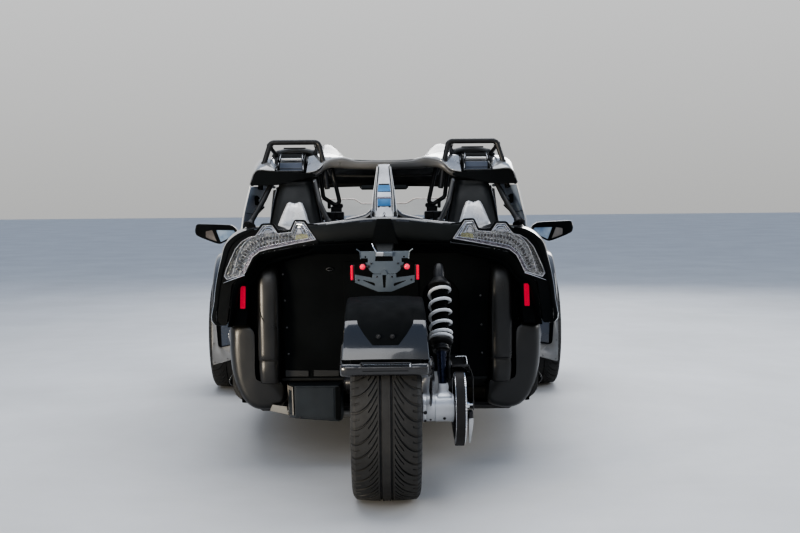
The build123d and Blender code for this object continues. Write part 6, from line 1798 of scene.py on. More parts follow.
def bridge():
    # spar across the back of the roof and the centre panel running forward from it
    xs = [0, 60, 120, 164, 170, 200, 229, 250, 266, 284, 300]
    zt = [1265, 1265.5, 1267, 1278, 1279, 1277, 1270, 1256, 1238, 1220, 1213]
    zb = [1235, 1235.5, 1237, 1239, 1240, 1241, 1240, 1232, 1220, 1208, 1202]
    yr = [-840, -840, -840, -841, -841, -841, -843, -848, -856, -872, -886]
    half = []
    for x, t, b, y in zip(xs, zt, zb, yr):
        half.append([(x, y + 60, t + 1), (x, y + 14, t + 0.5), (x, y + 4, t - 1.5), (x, y, t - 6), (x, y - 1, (t + b) / 2), (x, y + 1, b + 5), (x, y + 6, b + 1), (x, y + 16, b), (x, y + 60, b + 4)])
    rows = [[(-x, y, z) for x, y, z in r] for r in half[:0:-1]] + half
    g = grid_from(rows, 3, 3)
    v, f = sheet_mesh(g, -4)
    o = piece("roof_spar", v, f, "spar", "gloss_black", sharp=45)
    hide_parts("roof_centre_panel")
    bevel(o, 1.0, 2, 50)
    seams = []
    for s in (-1, 1):
        pts = [(s * 167, -800, 1279.5), (s * 167, -828, 1279.5), (s * 167, -842.2, 1272), (s * 167, -842.6, 1256), (s * 167, -840, 1240), (s * 167, -826, 1238)]
        seams.append(tube_mesh(bent(pts, 3), 1.1, 6))
    v, f = join(seams)
    piece("spar_seams", v, f, "matte_deep", "gloss_black")
    plate("spar_end_facet", rounded([(173, 1245), (220, 1245), (216, 1266), (196, 1272), (173, 1273)], 3), lambda u, v, w: (u, -843.6 + w - max(0.0, u - 200) * 0.06, v), 3, "spar_end", "gloss_black", edge=0.8, mirror=True)
    rows = []
    for y, z, d in ((-836, 1277, 12), (-700, 1280, 12), (-350, 1281, 14), (-100, 1272, 13), (50, 1259, 12), (250, 1232, 10), (398, 1196, 8)):
        rows.append([(x, y, z - d * (1 - (x / 174) ** 2) ** 0.5 * (1 if abs(x) < 174 else 0)) for x in (-174, -160, -110, -55, 0, 55, 110, 160, 174)])
    skin("roof_centre", rows, "gloss", "gloss_black", t=-5, ku=3, kv=4, edge=1.5)
    rows = [[(x, y, z) for x in (-250, -120, 0, 120, 250)] for y, z in ((-790, 1240), (-600, 1256), (-300, 1258), (0, 1240), (250, 1206), (372, 1176))]
    skin("roof_centre_lining", rows, "matte_deep", "matte_black", t=4, ku=3, kv=4, edge=0.8)
    # header beam over the windscreen
    rows = []
    for x in (-520, -400, -255, -120, 0, 120, 255, 400, 520):
        dz = -(abs(x) / 520) ** 2 * 14
        rows.append([(x, 400, 1196 + dz), (x, 404, 1184 + dz), (x, 402, 1166 + dz), (x, 392, 1158 + dz), (x, 378, 1158 + dz), (x, 368, 1166 + dz), (x, 366, 1186 + dz), (x, 372, 1196 + dz)])
    solid_loft("roof_header", rows, "matte", "gloss_black", ku=2, kv=3, sharp=40)
    parts = [tube_mesh([(p.x, p.y, p.z) for p in catmull([(-262, 0, 1214), (-130, 0, 1209), (0, 0, 1208), (130, 0, 1209), (262, 0, 1214)], 6)], 5.0, 12)]
    parts += [tube_mesh([(s * 262, 0, 1214), (s * 270, 0, 1232), (s * 272, 0, 1262)], 5.0, 10) for s in (-1, 1)] + [tube_mesh([(0, 0, 1208), (0, 2, 1245)], 4.0, 10)]
    v, f = join(parts)
    piece("roof_crossbar", v, f, "trim_grey", "tube_black")
    # interior mirror pod under the header
    v, f = block((0, 312, 1156), (250, 24, 32), 11)
    bevel(piece("inside_mirror_case", v, f, "matte", "gloss_black"), 5, 3)
    v, f = block((0, 299, 1156), (232, 3, 20), 1)
    bevel(piece("inside_mirror_glass", v, f, "dim_mirror", "silver_alloy"), 0.8, 2)
    v, f = tube_mesh([(0, 322, 1162), (0, 350, 1172), (0, 374, 1178)], 7, 10)
    piece("inside_mirror_stalk", v, f, "matte", "gloss_black")


bridge()


def fairings():
    cx = 368
    def ring(z, xi, xo, yf, yr, r):
        pts = [(xi, yf), (xo, yf), (xo, yr + 34), (xo - 30, yr), (xi + 30, yr), (xi, yr + 34)]
        out = rounded(pts, r, 4)
        return [(x, y, z) for x, y in out]
    data = [(1004, 256, 474, -758, -1004, 14), (1010, 258, 472, -760, -1000, 14), (1050, 267, 466, -766, -975, 15), (1090, 276, 460, -772, -950, 16), (1130, 285, 453, -780, -918, 16), (1158, 292, 448, -786, -892, 15),
            (1176, 298, 442, -796, -872, 13), (1182, 304, 436, -804, -862, 10)]
    rings = [ring(*d) for d in data]
    o = solid_loft("headrest_fairing", rings, "matte", "matte_black", ku=1, kv=3, mirror=True, sharp=50)
    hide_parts("headrest_fairings")
    # bright hump low on the fairing's back: two ridges with a groove
    def back_y(z):
        t = [(1004, -1006), (1050, -979), (1090, -953), (1130, -920)]
        for (z0, y0), (z1, y1) in zip(t, t[1:]):
            if z <= z1:
                return y0 + (y1 - y0) * (z - z0) / (z1 - z0)
        return t[-1][1]
    rows = []
    for z, xa, xb, lift in ((999, 306, 438, 5), (1004, 306, 437, 10), (1020, 312, 431, 13), (1045, 320, 422, 14), (1068, 328, 413, 14), (1082, 335, 407, 12), (1090, 339, 403, 8), (1093, 341, 401, 1)):
        row = []
        n = 14
        for i in range(n + 1):
            t = i / n
            x = xa + (xb - xa) * t
            g = 0.0
            for c in (0.17, 0.83):
                g += math.exp(-((t - c) / 0.10) ** 2) * 3.6
            g -= math.exp(-((t - 0.5) / 0.05) ** 2) * 2.2
            edge = min(1.0, t / 0.06, (1 - t) / 0.06)
            row.append((x, back_y(z) - (lift + g) * (0.15 + 0.85 * edge), z + (g * 1.2 if z > 1085 else 0)))
        rows.append(row)
    skin("fairing_hump", rows, "hump", "silver_alloy", t=4, ku=2, kv=4, edge=1.0, mirror=True)
    # gloss side blades of the fairing
    for k, s in enumerate((0, 1)):
        xs = [(474, 1006, -960), (467, 1050, -940), (461, 1090, -918), (455, 1130, -890), (449, 1160, -866)] if s else [(256, 1006, -960), (266, 1050, -940), (275, 1090, -918), (284, 1130, -890), (291, 1160, -866)]
        sg = 1 if s else -1
        rows = [[(x + sg * 1, y - 14, z), (x + sg * 4, y, z), (x + sg * 4.5, y + 40, z), (x + sg * 2, y + 100, z)] for x, z, y in xs]
        skin("fairing_blade_%d" % k, rows, "gloss", "gloss_black", t=3 * sg, ku=3, kv=4, edge=0.8, mirror=True)


fairings()


def fin():
    data = [(1021, 33, 58, 52, -1204, -898), (1030, 33, 55, 50, -1196, -896), (1045, 33, 52, 47, -1183, -892), (1060, 33, 50, 46, -1168, -888), (1120, 32.5, 44, 40, -1114, -871), (1190, 27, 34.5, 31, -1046, -860),
            (1236, 22.5, 28, 26, -1000, -853), (1247, 21.5, 26, 24, -990, -851), (1250, 19, 23, 22, -984, -853)]
    rings = []
    for z, wi, wo, wf, yr, yf in data:
        rings.append([(-wi, yr, z), (0, yr - 1.5, z), (wi, yr, z), (wo, yr + 24, z), (wo, yr + 60, z), (wf, yf - 20, z), (wf * 0.8, yf, z), (-wf * 0.8, yf, z), (-wf, yf - 20, z), (-wo, yr + 60, z), (-wo, yr + 24, z)])
    o = solid_loft("fin_body", rings, "fin_silver", "silver_alloy", ku=1, kv=4, cu=tuple(range(11)), sharp=25)
    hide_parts("centre_fin")
    bevel(o, 1.2, 2, 22)
    def y_at(z):
        for a, b in zip(data, data[1:]):
            if z <= b[0]:
                return a[4] + (b[4] - a[4]) * (z - a[0]) / (b[0] - a[0])
        return data[-1][4]
    def w_at(z, k):
        for a, b in zip(data, data[1:]):
            if z <= b[0]:
                return a[k] + (b[k] - a[k]) * (z - a[0]) / (b[0] - a[0])
        return data[-1][k]
    # recessed frame lines down both sides of the back facet: a dark line in the recess and two pale lines that are
    # painted highlights along the edges
    for k, (idx, inset_, mat, r) in enumerate(((1, 2.0, "matte_deep", 1.5), (2, -0.5, "lit_edge", 1.7), (1, -3.0, "lit_edge", 1.2))):
        parts = []
        for s in (-1, 1):
            pts = [(s * (w_at(z, idx) - inset_), y_at(z) + (24 if idx == 2 else 0) - 1.6, z) for z in (1026, 1060, 1120, 1190, 1240)]
            parts.append(tube_mesh([(p.x, p.y, p.z) for p in catmull(pts, 4)], r, 6))
        v, f = join(parts)
        piece("fin_line_%d" % k, v, f, mat, "silver_alloy")
    # glazed facets, coloured with painted reflections: blue for the sky, grey between, the top one silver
    for k, (z0, z1, mat, inset_) in enumerate(((1168, 1241, "fin_silver", 6), (1137, 1163, "fin_blue", 5), (1115, 1135, "fin_grey", 5), (1079, 1108, "fin_blue", 6))):
        pts = []
        rows = [[(s * (w_at(z, 1) - inset_), y_at(z) - 3.2 + abs(s) * 1.2, z) for s in (-1, -0.5, 0, 0.5, 1)] for z in (z0, (z0 + z1) / 2, z1)]
        rows = [[(x, y - (1 - (i / 2 - 1) ** 2) * 2.0, z) for i, (x, y, z) in enumerate(r)] for r in rows]
        skin("fin_facet_%d" % k, rows, mat, "silver_alloy", t=-3, ku=3, kv=3, edge=0.8)
    rows = [[(s * (w_at(z, 1) - 5), y_at(z) - 2.6, z) for s in (-1, 0, 1)] for z in (1109.5, 1111.5, 1113.5)]
    skin("fin_divider", rows, "lamp_lip", "silver_alloy", t=-3, ku=2, kv=2, edge=0.6)
    # forked foot with the dark notch between its prongs
    out = [(-34, 1016), (-12, 1016), (-9, 1036), (-5, 1052), (0, 1058), (5, 1052), (9, 1036), (12, 1016), (34, 1016), (33, 1060), (22, 1072), (12, 1084), (-12, 1084), (-22, 1072), (-33, 1060)]
    plate("fin_fork", rounded(out, 3), lambda u, v, w: (u, y_at(v) - 5.5 + w, v), 7, "fin_silver", "silver_alloy", edge=1.2)
    plate("fin_notch", [(-9, 1010), (9, 1010), (7, 1034), (0, 1050), (-7, 1034)], lambda u, v, w: (u, y_at(v) - 2.5 + w, v), 5, "matte_deep", "matte_black", edge=0.5)
    # flared base running out along the deck
    rows = []
    for x, z in ((54, 1068), (66, 1057), (82, 1049.5), (98, 1045), (122, 1039.5), (152, 1033)):
        rows.append([(x, -1205, z - 16), (x, -1201, z - 3), (x, -1194, z), (x, -1150, z + 1), (x, -1040, z - 3), (x, -940, 1026)])
    skin("fin_base_flare", rows, "gloss", "gloss_black", t=-5, ku=3, kv=3, edge=1.2, mirror=True)
    # pale line along the flare's crown: a painted highlight
    v, f = tube_mesh([(p.x, p.y, p.z) for p in catmull([r[2] for r in rows], 4)], 1.8, 8)
    piece("fin_base_line", v, f, "deck_edge", "gloss_black", mirror=True)


fin()


def screens():
    # sail behind the door opening: clear of the brace, with seam, bracket and a pale edge post that is a painted
    # highlight
    def at(t, h):
        """t 0 at the rear to 1 at the front, h 0 low to 1 high."""
        y = -930 + 274 * t
        lo = (595 + (529 - 595) * t, 986 + (1072 - 986) * t)
        hi = (557 + (496 - 557) * t, 1160 + 3 * t)
        return (lo[0] + (hi[0] - lo[0]) * h, y, lo[1] + (hi[1] - lo[1]) * h)
    rows = [[(x + 2.5 * 4 * h * (1 - h), y, z) for h in (0, 0.25, 0.5, 0.75, 1) for x, y, z in [at(t, h)]] for t in (0, 0.33, 0.66, 1)]
    o = skin("side_sail", rows, "sail", "smoked_glass", t=5, ku=3, kv=4, edge=1.2, mirror=True)
    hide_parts("roof_side_windows")
    edge = [(595, -934, 980), (586, -934, 1040), (570, -934, 1110), (556, -934, 1164)]
    v, f = tube_mesh([(p.x, p.y, p.z) for p in catmull(edge, 5)], 3.6, 10)
    piece("side_sail_post", v, f, "lit_edge", "gloss_black", mirror=True)
    low = [at(t, 0) for t in (0, 0.33, 0.66, 1)]
    v, f = tube_mesh([(p.x - 2, p.y, p.z) for p in catmull(low, 5)], 3.4, 8)
    piece("side_sail_trim", v, f, "rubber", "gloss_black", mirror=True)
    a, b = at(0.02, 0.38), at(0.5, 0.12)
    v, f = tube_mesh([(a[0] - 3, a[1], a[2]), ((a[0] + b[0]) / 2 - 3, (a[1] + b[1]) / 2, (a[2] + b[2]) / 2 - 1), (b[0] - 3, b[1], b[2])], 1.3, 6)
    piece("side_sail_seam", v, f, "matte_deep", "gloss_black", mirror=True)
    # square latch on the sail's inner face
    c = at(0.36, 0.60)
    parts = [block((c[0] - 9, c[1], c[2]), (12, 44, 40), 4)]
    parts += [block((c[0] - 17, c[1] + dy, c[2] + dz), (6, 9, 9), 2) for dy in (-12, 12) for dz in (-10, 10)]
    v, f = join(parts)
    bevel(piece("side_sail_latch", v, f, "matte_deep", "gloss_black", mirror=True), 1.0, 2)
    # windscreen: lower in the middle, with a pale cut edge
    def base(x):
        t = [(0, 624), (250, 604), (450, 548), (544, 486)]
        for (x0, y0), (x1, y1) in zip(t, t[1:]):
            if x <= x1:
                return y0 + (y1 - y0) * (x - x0) / (x1 - x0)
        return t[-1][1]
    def top(x):
        t = [(0, 482), (250, 470), (470, 430), (544, 384)]
        for (x0, y0), (x1, y1) in zip(t, t[1:]):
            if x <= x1:
                return y0 + (y1 - y0) * (x - x0) / (x1 - x0)
        return t[-1][1]
    xs = [0, 60, 118, 128, 142, 156, 166, 230, 320, 420, 500, 544]
    rows = []
    for s in (-1, 1):
        for x in (xs[::-1] if s < 0 else xs[1:]):
            zt = 1067 if x <= 120 else (1092 if x >= 160 else 1067 + 25 * (x - 120) / 40)
            if x > 500:
                zt -= (x - 500) * 0.3
            zb = 930 - x * 68 / 625
            f0 = (zt - zb) / (1092 - zb)
            row = []
            for h in (0, 0.35, 0.7, 1.0):
                k = h * f0
                row.append((s * x, base(x) + (top(x) - base(x)) * k - 8 * 4 * k * (1 - k) * 0.5, zb + (1092 - zb) * k))
            rows.append(row)
    o = skin("windscreen_sheet", rows, "screen", "smoked_glass", t=4.5, ku=2, kv=1, edge=0)
    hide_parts("windscreen")
    line = [tuple(r[-1]) for r in rows]
    v, f = tube_mesh([(x, y + 2, z) for x, y, z in line], 2.6, 8)
    piece("windscreen_edge", v, f, "screen_rim", "clear_lens")
    foot = [tuple(r[0]) for r in rows]
    v, f = tube_mesh([(p.x, p.y, p.z + 2) for p in catmull(foot, 3)], 7, 10)
    piece("windscreen_seal", v, f, "rubber", "matte_black")


screens()

# ------------------------------------------------------------------ front body
def front_materials():
    # grey lighter than the black body, partly a painted highlight for the sunlit flare
    M["wing_flare"] = metal("grey_wing_flare_with_painted_sunlight", (0.12, 0.12, 0.118), (0.17, 0.169, 0.165), rough=(0.28, 0.42), metallic=0.25, grain=700, strength=0.15)
    M["liner_blue"] = gloss_paint("dark_blue_liner", (0.010, 0.018, 0.036), (0.022, 0.036, 0.062), coat=0.8, rough=(0.12, 0.22))
    M["core"] = metal("radiator_core", (0.06, 0.062, 0.065), (0.11, 0.112, 0.115), rough=(0.4, 0.6), metallic=0.6, grain=1200, strength=0.5)
    M["grille"] = moulded("grille_black", (0.010, 0.010, 0.0105), (0.016, 0.016, 0.0165), grain=900, strength=0.2, rough=(0.35, 0.5))


front_materials()


def lerp_line(table, t):
    """Between two lines of points."""
    (ta, a), (tb, b) = table
    k = (t - ta) / (tb - ta)
    return [tuple(p + (q - p) * k for p, q in zip(u, w)) for u, w in zip(a, b)]


def wings():
    A = (640, [(1530, 560), (1440, 672), (1290, 750), (1110, 800), (930, 815), (790, 790), (728, 660), (716, 445)])
    B = (820, [(1525, 520), (1436, 650), (1300, 755), (1110, 812), (920, 808), (790, 735), (734, 590), (720, 440)])
    C = (958, [(1500, 506), (1420, 628), (1290, 720), (1110, 768), (930, 750), (800, 654), (738, 540), (724, 436)])
    rows = []
    for x in (640, 700, 760, 820):
        rows.append([(x, y, z) for y, z in lerp_line((A, B), x)])
    for x in (870, 910, 938, 952):
        k = ((x - 820) / 138.0) ** 1.8 * 138 + 820
        rows.append([(x, y, z) for y, z in lerp_line((B, C), k)])
    c = C[1]
    rows.append([(957.5, y + (1110 - y) * 0.012, z - 12) for y, z in c])
    rows.append([(958, y + (1110 - y) * 0.03, z - 26) for y, z in c])
    rows.append([(953, y + (1110 - y) * 0.04, z - 34) for y, z in c])
    o = skin("front_wing", rows, "gloss", "gloss_black", t=4, ku=5, kv=3, edge=1.2, mirror=True)
    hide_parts("front_wings")
    # raised line along the crown of the wing
    crown = [(790, y, z + 2) for y, z in lerp_line((A, B), 790)][1:-2]
    v, f = tube_mesh([(p.x, p.y, p.z) for p in catmull(crown, 6)], [3.0 + 2.2 * sin(pi * i / (6 * (len(crown) - 1))) for i in range(6 * (len(crown) - 1) + 1)], 8)
    piece("front_wing_crease", v, f, "gloss", "gloss_black", mirror=True)
    # flare behind the wheel: folded panel with a tall vent, in mid grey lighter than the black body, partly a painted
    # highlight for the sunlit flare
    def flare(u, v, w=0.0):
        return (u, 711 + (v - 165) * 0.03 + (u - 900) * 0.05 + (6.0 * (1 - min(1.0, max(0.0, (u - 861) / 60.0)))) + w, v)
    out = [(640, 448), (640, 432), (700, 398), (790, 300), (838, 216), (861, 205.5), (905, 193), (950, 181.5), (956, 190), (958, 300), (958, 448)]
    hole = rounded([(846, 436), (800, 436), (792, 372), (850, 290), (912, 279), (922, 292), (930, 398), (929, 436)][1:], 9, 3)
    o = plate("wing_flare", out, flare, 5, "wing_flare", "gloss_black", holes=[hole], edge=1.2, mirror=True)
    plate("wing_flare_vent_liner", [(785, 440), (785, 360), (845, 270), (925, 268), (936, 440)], lambda u, v, w: flare(u, v, w + 8.5), 3, "liner_blue", "lining_black", edge=0, mirror=True)
    # dark lip round the vent, and the pale duct edge that shows in it
    ring = [flare(u, v, -0.6) for u, v in hole]
    v, f = tube_mesh(ring, 2.4, 8, closed=True)
    piece("wing_flare_vent_lip", v, f, "matte_deep", "matte_black", mirror=True)
    arc = [(846, 392), (857, 374), (864, 350), (866, 330), (861, 310), (850, 294)]
    inner = [(843, 300), (850, 318), (852, 338), (849, 358), (842, 376), (834, 390)]
    plate("wing_flare_duct", arc + inner, lambda u, v, w: flare(u, v, w + 2.5), 4, "fin_silver", "silver_alloy", edge=0.8, mirror=True)
    # outer vertical slat of the vent
    plate("wing_flare_slat", [(905, 284), (918, 286), (926, 398), (926, 434), (912, 434), (910, 398)], lambda u, v, w: flare(u, v, w + 4), 3, "matte_deep", "matte_black", edge=0.6, mirror=True)
    v, f = join([screw(flare(u, v, 0), (0, -1, 0), 4.2, 2.6, "dome") for u, v in ((700, 424), (790, 318), (872, 216), (944, 196), (948, 300), (948, 410))])
    piece("wing_flare_rivets", v, f, "rivet", "dark_steel", mirror=True)


wings()


def bonnet():
    T = [
        (1884, [(0, 586), (70, 583), (150, 569), (245, 528)]),
        (1800, [(0, 627), (80, 622), (178, 604), (292, 545)]),
        (1700, [(0, 660), (90, 652), (200, 628), (330, 560)]),
        (1550, [(0, 711), (100, 704), (232, 684), (382, 612)]),
        (1400, [(0, 755), (110, 750), (260, 735), (430, 660)]),
        (1225, [(0, 796), (120, 796), (282, 790), (476, 712)]),
        (1050, [(0, 835), (130, 838), (300, 840), (520, 760)]),
        (925, [(0, 860), (140, 862), (320, 860), (553, 789)]),
        (800, [(0, 882), (150, 884), (340, 876), (585, 815)]),
        (655, [(0, 905), (160, 899), (360, 880), (618, 838)]),
    ]
    rows = []
    for y, pts in T:
        (x0, z0), (x1, z1), (x2, z2), (x3, z3) = pts
        k = 1.0 if y < 1600 else 0.5
        half = [(0, z0 - 1), (x1 * 0.55, z0), (x1 * 0.86, z1 + 5 * k), (x1, z1 + 8 * k), (x1 * 1.14, z1 + 2 * k), ((x1 + x2) / 2, (z1 + z2) / 2 - 1), (x2 * 0.95, z2 + 5 * k), (x2 * 1.04, z2 + 3 * k), (x2 * 1.14, z2 - 9),
                ((x2 + x3) / 2 + 12, (z2 + z3) / 2 + 4), (x3 - 8, z3 + 4), (x3, z3 - 6)]
        rows.append([(-x, y, z) for x, z in half[:0:-1]] + [(x, y, z) for x, z in half])
    o = skin("bonnet_skin", rows, "gloss", "gloss_black", t=-4, ku=3, kv=5, edge=1.5)
    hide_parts("bonnet")
    # louvres on each side and the latch pins
    parts = []
    for i in range(5):
        y = 1180 - i * 46
        z = 786 + (1180 - y) * 0.245
        ring = lambda dx, dy, dz: [(232 + dx, y + dy, z + dz + 10), (290 + dx, y + dy + 10, z + dz + 6)]
        a = [(226, y - 16, z + 17), (296, y - 6, z + 14), (296, y + 16, z + 2), (226, y + 6, z + 5)]
        b = [(p[0], p[1], p[2] - 4) for p in a]
        parts.append((a + b, [(0, 1, 2, 3), (7, 6, 5, 4), (0, 4, 5, 1), (1, 5, 6, 2), (2, 6, 7, 3), (3, 7, 4, 0)]))
    v, f = join(parts)
    bevel(piece("bonnet_louvres", v, f, "matte", "matte_black", mirror=True), 1.2, 2)
    v, f = join([lathe([(0, 0.01), (0, 15), (2, 15), (3, 12), (4, 0.01)], (x, y, z), (0, 0.1, 1), 20) for x, y, z in ((170, 1640, 660), (-170, 1640, 660), (390, 760, 873), (-390, 760, 873))])
    piece("bonnet_latches", v, f, "steel", "dark_steel")
    # panel between bonnet and wing
    B = [(1500, 401, 628, 636, 590), (1400, 433, 662, 636, 690), (1290, 464, 698, 636, 748), (1110, 509, 746, 636, 798), (930, 554, 786, 636, 813), (800, 590, 812, 636, 804)]
    rows = []
    for y, xi, zi, xo, zo in B:
        rows.append([(xi + 3, y, zi - 16), (xi + 3, y, zi - 3), (xi + 10, y, zi), (xi + (xo - xi) * 0.5, y, (zi + zo) / 2 - 5), (xo - 8, y, zo - 2), (xo, y, zo - 4)])
    o = skin("bonnet_side_skin", rows, "gloss_soft", "gloss_black", t=-4, ku=3, kv=4, edge=1.2, mirror=True)
    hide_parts("bonnet_side_panels")


bonnet()


def nose():
    O0 = [(-250, 300), (0, 292), (250, 300), (300, 400), (240, 505), (0, 560), (-240, 505), (-300, 400)]
    O1 = [(-330, 200), (0, 192), (330, 200), (400, 360), (330, 545), (0, 636), (-330, 545), (-400, 360)]
    O2 = [(-330, 190), (0, 186), (330, 190), (418, 360), (350, 600), (0, 694), (-350, 600), (-418, 360)]
    I0 = [(-190, 317), (0, 312), (190, 317), (233, 400), (170, 468), (0, 497), (-170, 468), (-233, 400)]
    I1 = [(-290, 217), (0, 210), (290, 217), (368, 360), (300, 558), (0, 636), (-300, 558), (-368, 360)]
    mid = lambda A, B, k: [(a[0] + (b[0] - a[0]) * k, a[1] + (b[1] - a[1]) * k) for a, b in zip(A, B)]
    R = [(O2, 1502), (O1, 1700), (mid(O0, O1, 0.25), 1860), (mid(O0, O1, 0.04), 1886), (mid(O0, I0, 0.25), 1894), (mid(O0, I0, 0.75), 1894), (I0, 1888), (mid(I0, I1, 0.12), 1850), (mid(I0, I1, 0.5), 1700), (I1, 1502)]
    rows = [[(x, y, z) for x, z in pts] for pts, y in R]
    o = skin("nose_shell", rows, "gloss_soft", "gloss_black", t=3, ku=6, kv=4, closed=True, edge=1.0)
    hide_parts("nose_panels")
    out = rounded([(-430, 1500), (-405, 1640), (-352, 1770), (-200, 1838), (0, 1862), (200, 1838), (352, 1770), (405, 1640), (430, 1500)], 20, 3)
    plate("nose_splitter", out, lambda u, v, w: (u, v, 187 - w), 20, "matte", "matte_black", edge=4, segments=3)
    # slats in the mouth, in front of the core
    parts = []
    for i, z in enumerate(range(292, 470, 22)):
        hw = 318 - abs(z - 370) * 0.5
        parts.append(block((0, 1620, z), (hw * 2, 9, 5), 1.5))
    for x in (-240, -120, 0, 120, 240):
        parts.append(block((x, 1626, 375), (6, 5, 200), 1.5))
    v, f = join(parts)
    bevel(piece("nose_grille", v, f, "grille", "matte_black"), 0.8, 1)
    # radiator: end tanks, tubes and fins
    parts = [block((0, 1590, 370), (440, 30, 200), 2)]
    for i in range(14):
        parts.append(block((0, 1590, 277 + i * 14.3), (446, 40, 4), 1))
    v, f = join(parts)
    o = piece("radiator_core", v, f, "core", "dark_steel")
    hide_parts("radiator")
    parts = [block((s * 236, 1590, 370), (28, 48, 228), 8) for s in (-1, 1)] + [block((0, 1590, z), (470, 44, 9), 3) for z in (260, 480)]
    v, f = join(parts)
    bevel(piece("radiator_tanks", v, f, "matte", "matte_black"), 2.0, 2)


nose()


def headlamps():
    ra = [(396, 532), (498, 541), (500, 624), (398, 604)]
    rb = [(386, 508), (458, 520), (457, 585), (374, 578)]
    rc = [(375, 482), (412, 499), (408, 534), (347, 550)]
    def ring(p, y, k):
        cx, cz = sum(q[0] for q in p) / 4, sum(q[1] for q in p) / 4
        pts = rounded([(cx + (x - cx) * k, cz + (z - cz) * k) for x, z in p], 10, 3)
        return [(x, y, z) for x, z in pts]
    rings = [ring(ra, 1541, 1.0), ring(ra, 1552, 1.0), ring(rb, 1620, 1.0), ring(rc, 1680, 1.0), ring(rc, 1689, 0.82)]
    o = solid_loft("headlamp_cover", rings, "lens", "clear_lens", ku=1, kv=4, mirror=True, sharp=45)
    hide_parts("headlamps")
    rings = [ring(ra, 1545, 0.93), ring(ra, 1552, 0.93), ring(rb, 1590, 0.9)]
    solid_loft("headlamp_tray", rings, "matte_deep", "matte_black", ku=1, kv=3, mirror=True, sharp=45)
    parts = []
    for x, z, y in ((425, 566, 1592), (468, 580, 1586)):
        parts.append(lathe([(0, 0.01), (0, 22), (12, 24), (18, 22), (17, 18), (10, 15), (4, 0.01)], (x, y, z), (0, 1, -0.05), 28))
    v, f = join(parts)
    piece("headlamp_bowls", v, f, "chrome", "silver_alloy", mirror=True)
    parts = [lathe([(0, 0.01), (0, 15), (6, 14), (12, 9), (15, 0.01)], (x, y + 8, z), (0, 1, -0.05), 24) for x, z, y in ((425, 566, 1592), (468, 580, 1586))]
    v, f = join(parts)
    piece("headlamp_projectors", v, f, "lens", "clear_lens", mirror=True)
    v, f = tube_mesh([(404, 1600, 545), (430, 1612, 540), (462, 1600, 549)], 3.2, 8)
    piece("headlamp_light_bar", v, f, "lamp_white", "silver_alloy", mirror=True)


headlamps()


def cowl():
    rows = []
    for y, dz in ((652, -9), (640, -4), (600, 0), (560, 2), (520, 5), (476, 6)):
        half = [(0, 917), (60, 914), (180, 901), (300, 886), (420, 873), (540, 859), (600, 851), (622, 845), (626, 834)]
        rows.append([(-x, y, z + dz) for x, z in half[:0:-1]] + [(x, y, z + dz) for x, z in half])
    o = skin("cowl_top", rows, "gloss_soft", "gloss_black", t=-4, ku=3, kv=3, edge=1.5)
    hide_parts("cowl_panels")
    R = []
    for y, xo, xt, zl, zt in ((702, 655, 630, 625, 812), (600, 664, 648, 617, 828), (480, 672, 664, 610, 838), (390, 679, 668, 605, 824), (300, 684, 666, 600, 800), (190, 688, 669, 599, 726), (90, 690, 671, 599, 652)):
        m = (zl + zt) / 2
        R.append([(xo - 24, y, zl), (xo - 3, y, zl), (xo, y, zl + 5), (xo + 6, y, m), (xt + 3, y, zt - 12), (xt - 1, y, zt - 2), (xt - 8, y, zt), (xt - 24, y, zt), (xt - 30, y, zt - 6), (xo - 22, y, m), (xo - 26, y, zl + 5)])
    solid_loft("cowl_side", R, "gloss_soft", "gloss_black", ku=2, kv=4, mirror=True, sharp=45)
    rows = [[(x, y, z) for x, y, z in ((676, 470, 700), (681, 380, 690), (685, 290, 672))], [(x, y, z) for x, y, z in ((679, 470, 694), (684, 380, 684), (688, 290, 666))], [(x, y, z) for x, y, z in ((676, 470, 688), (681, 380, 678), (685, 290, 660))]]
    skin("cowl_side_trim", rows, "matte", "matte_black", t=-3, ku=4, kv=3, edge=0.8, mirror=True)
    v, f = join([block((s * x, 500 + 0, 884 - abs(x) * 0.07 + 6), (60, 8, 3), 1) for s in (-1, 1) for x in (120, 200, 280)])
    bevel(piece("cowl_vents", v, f, "matte_deep", "matte_black"), 0.6, 1)


cowl()


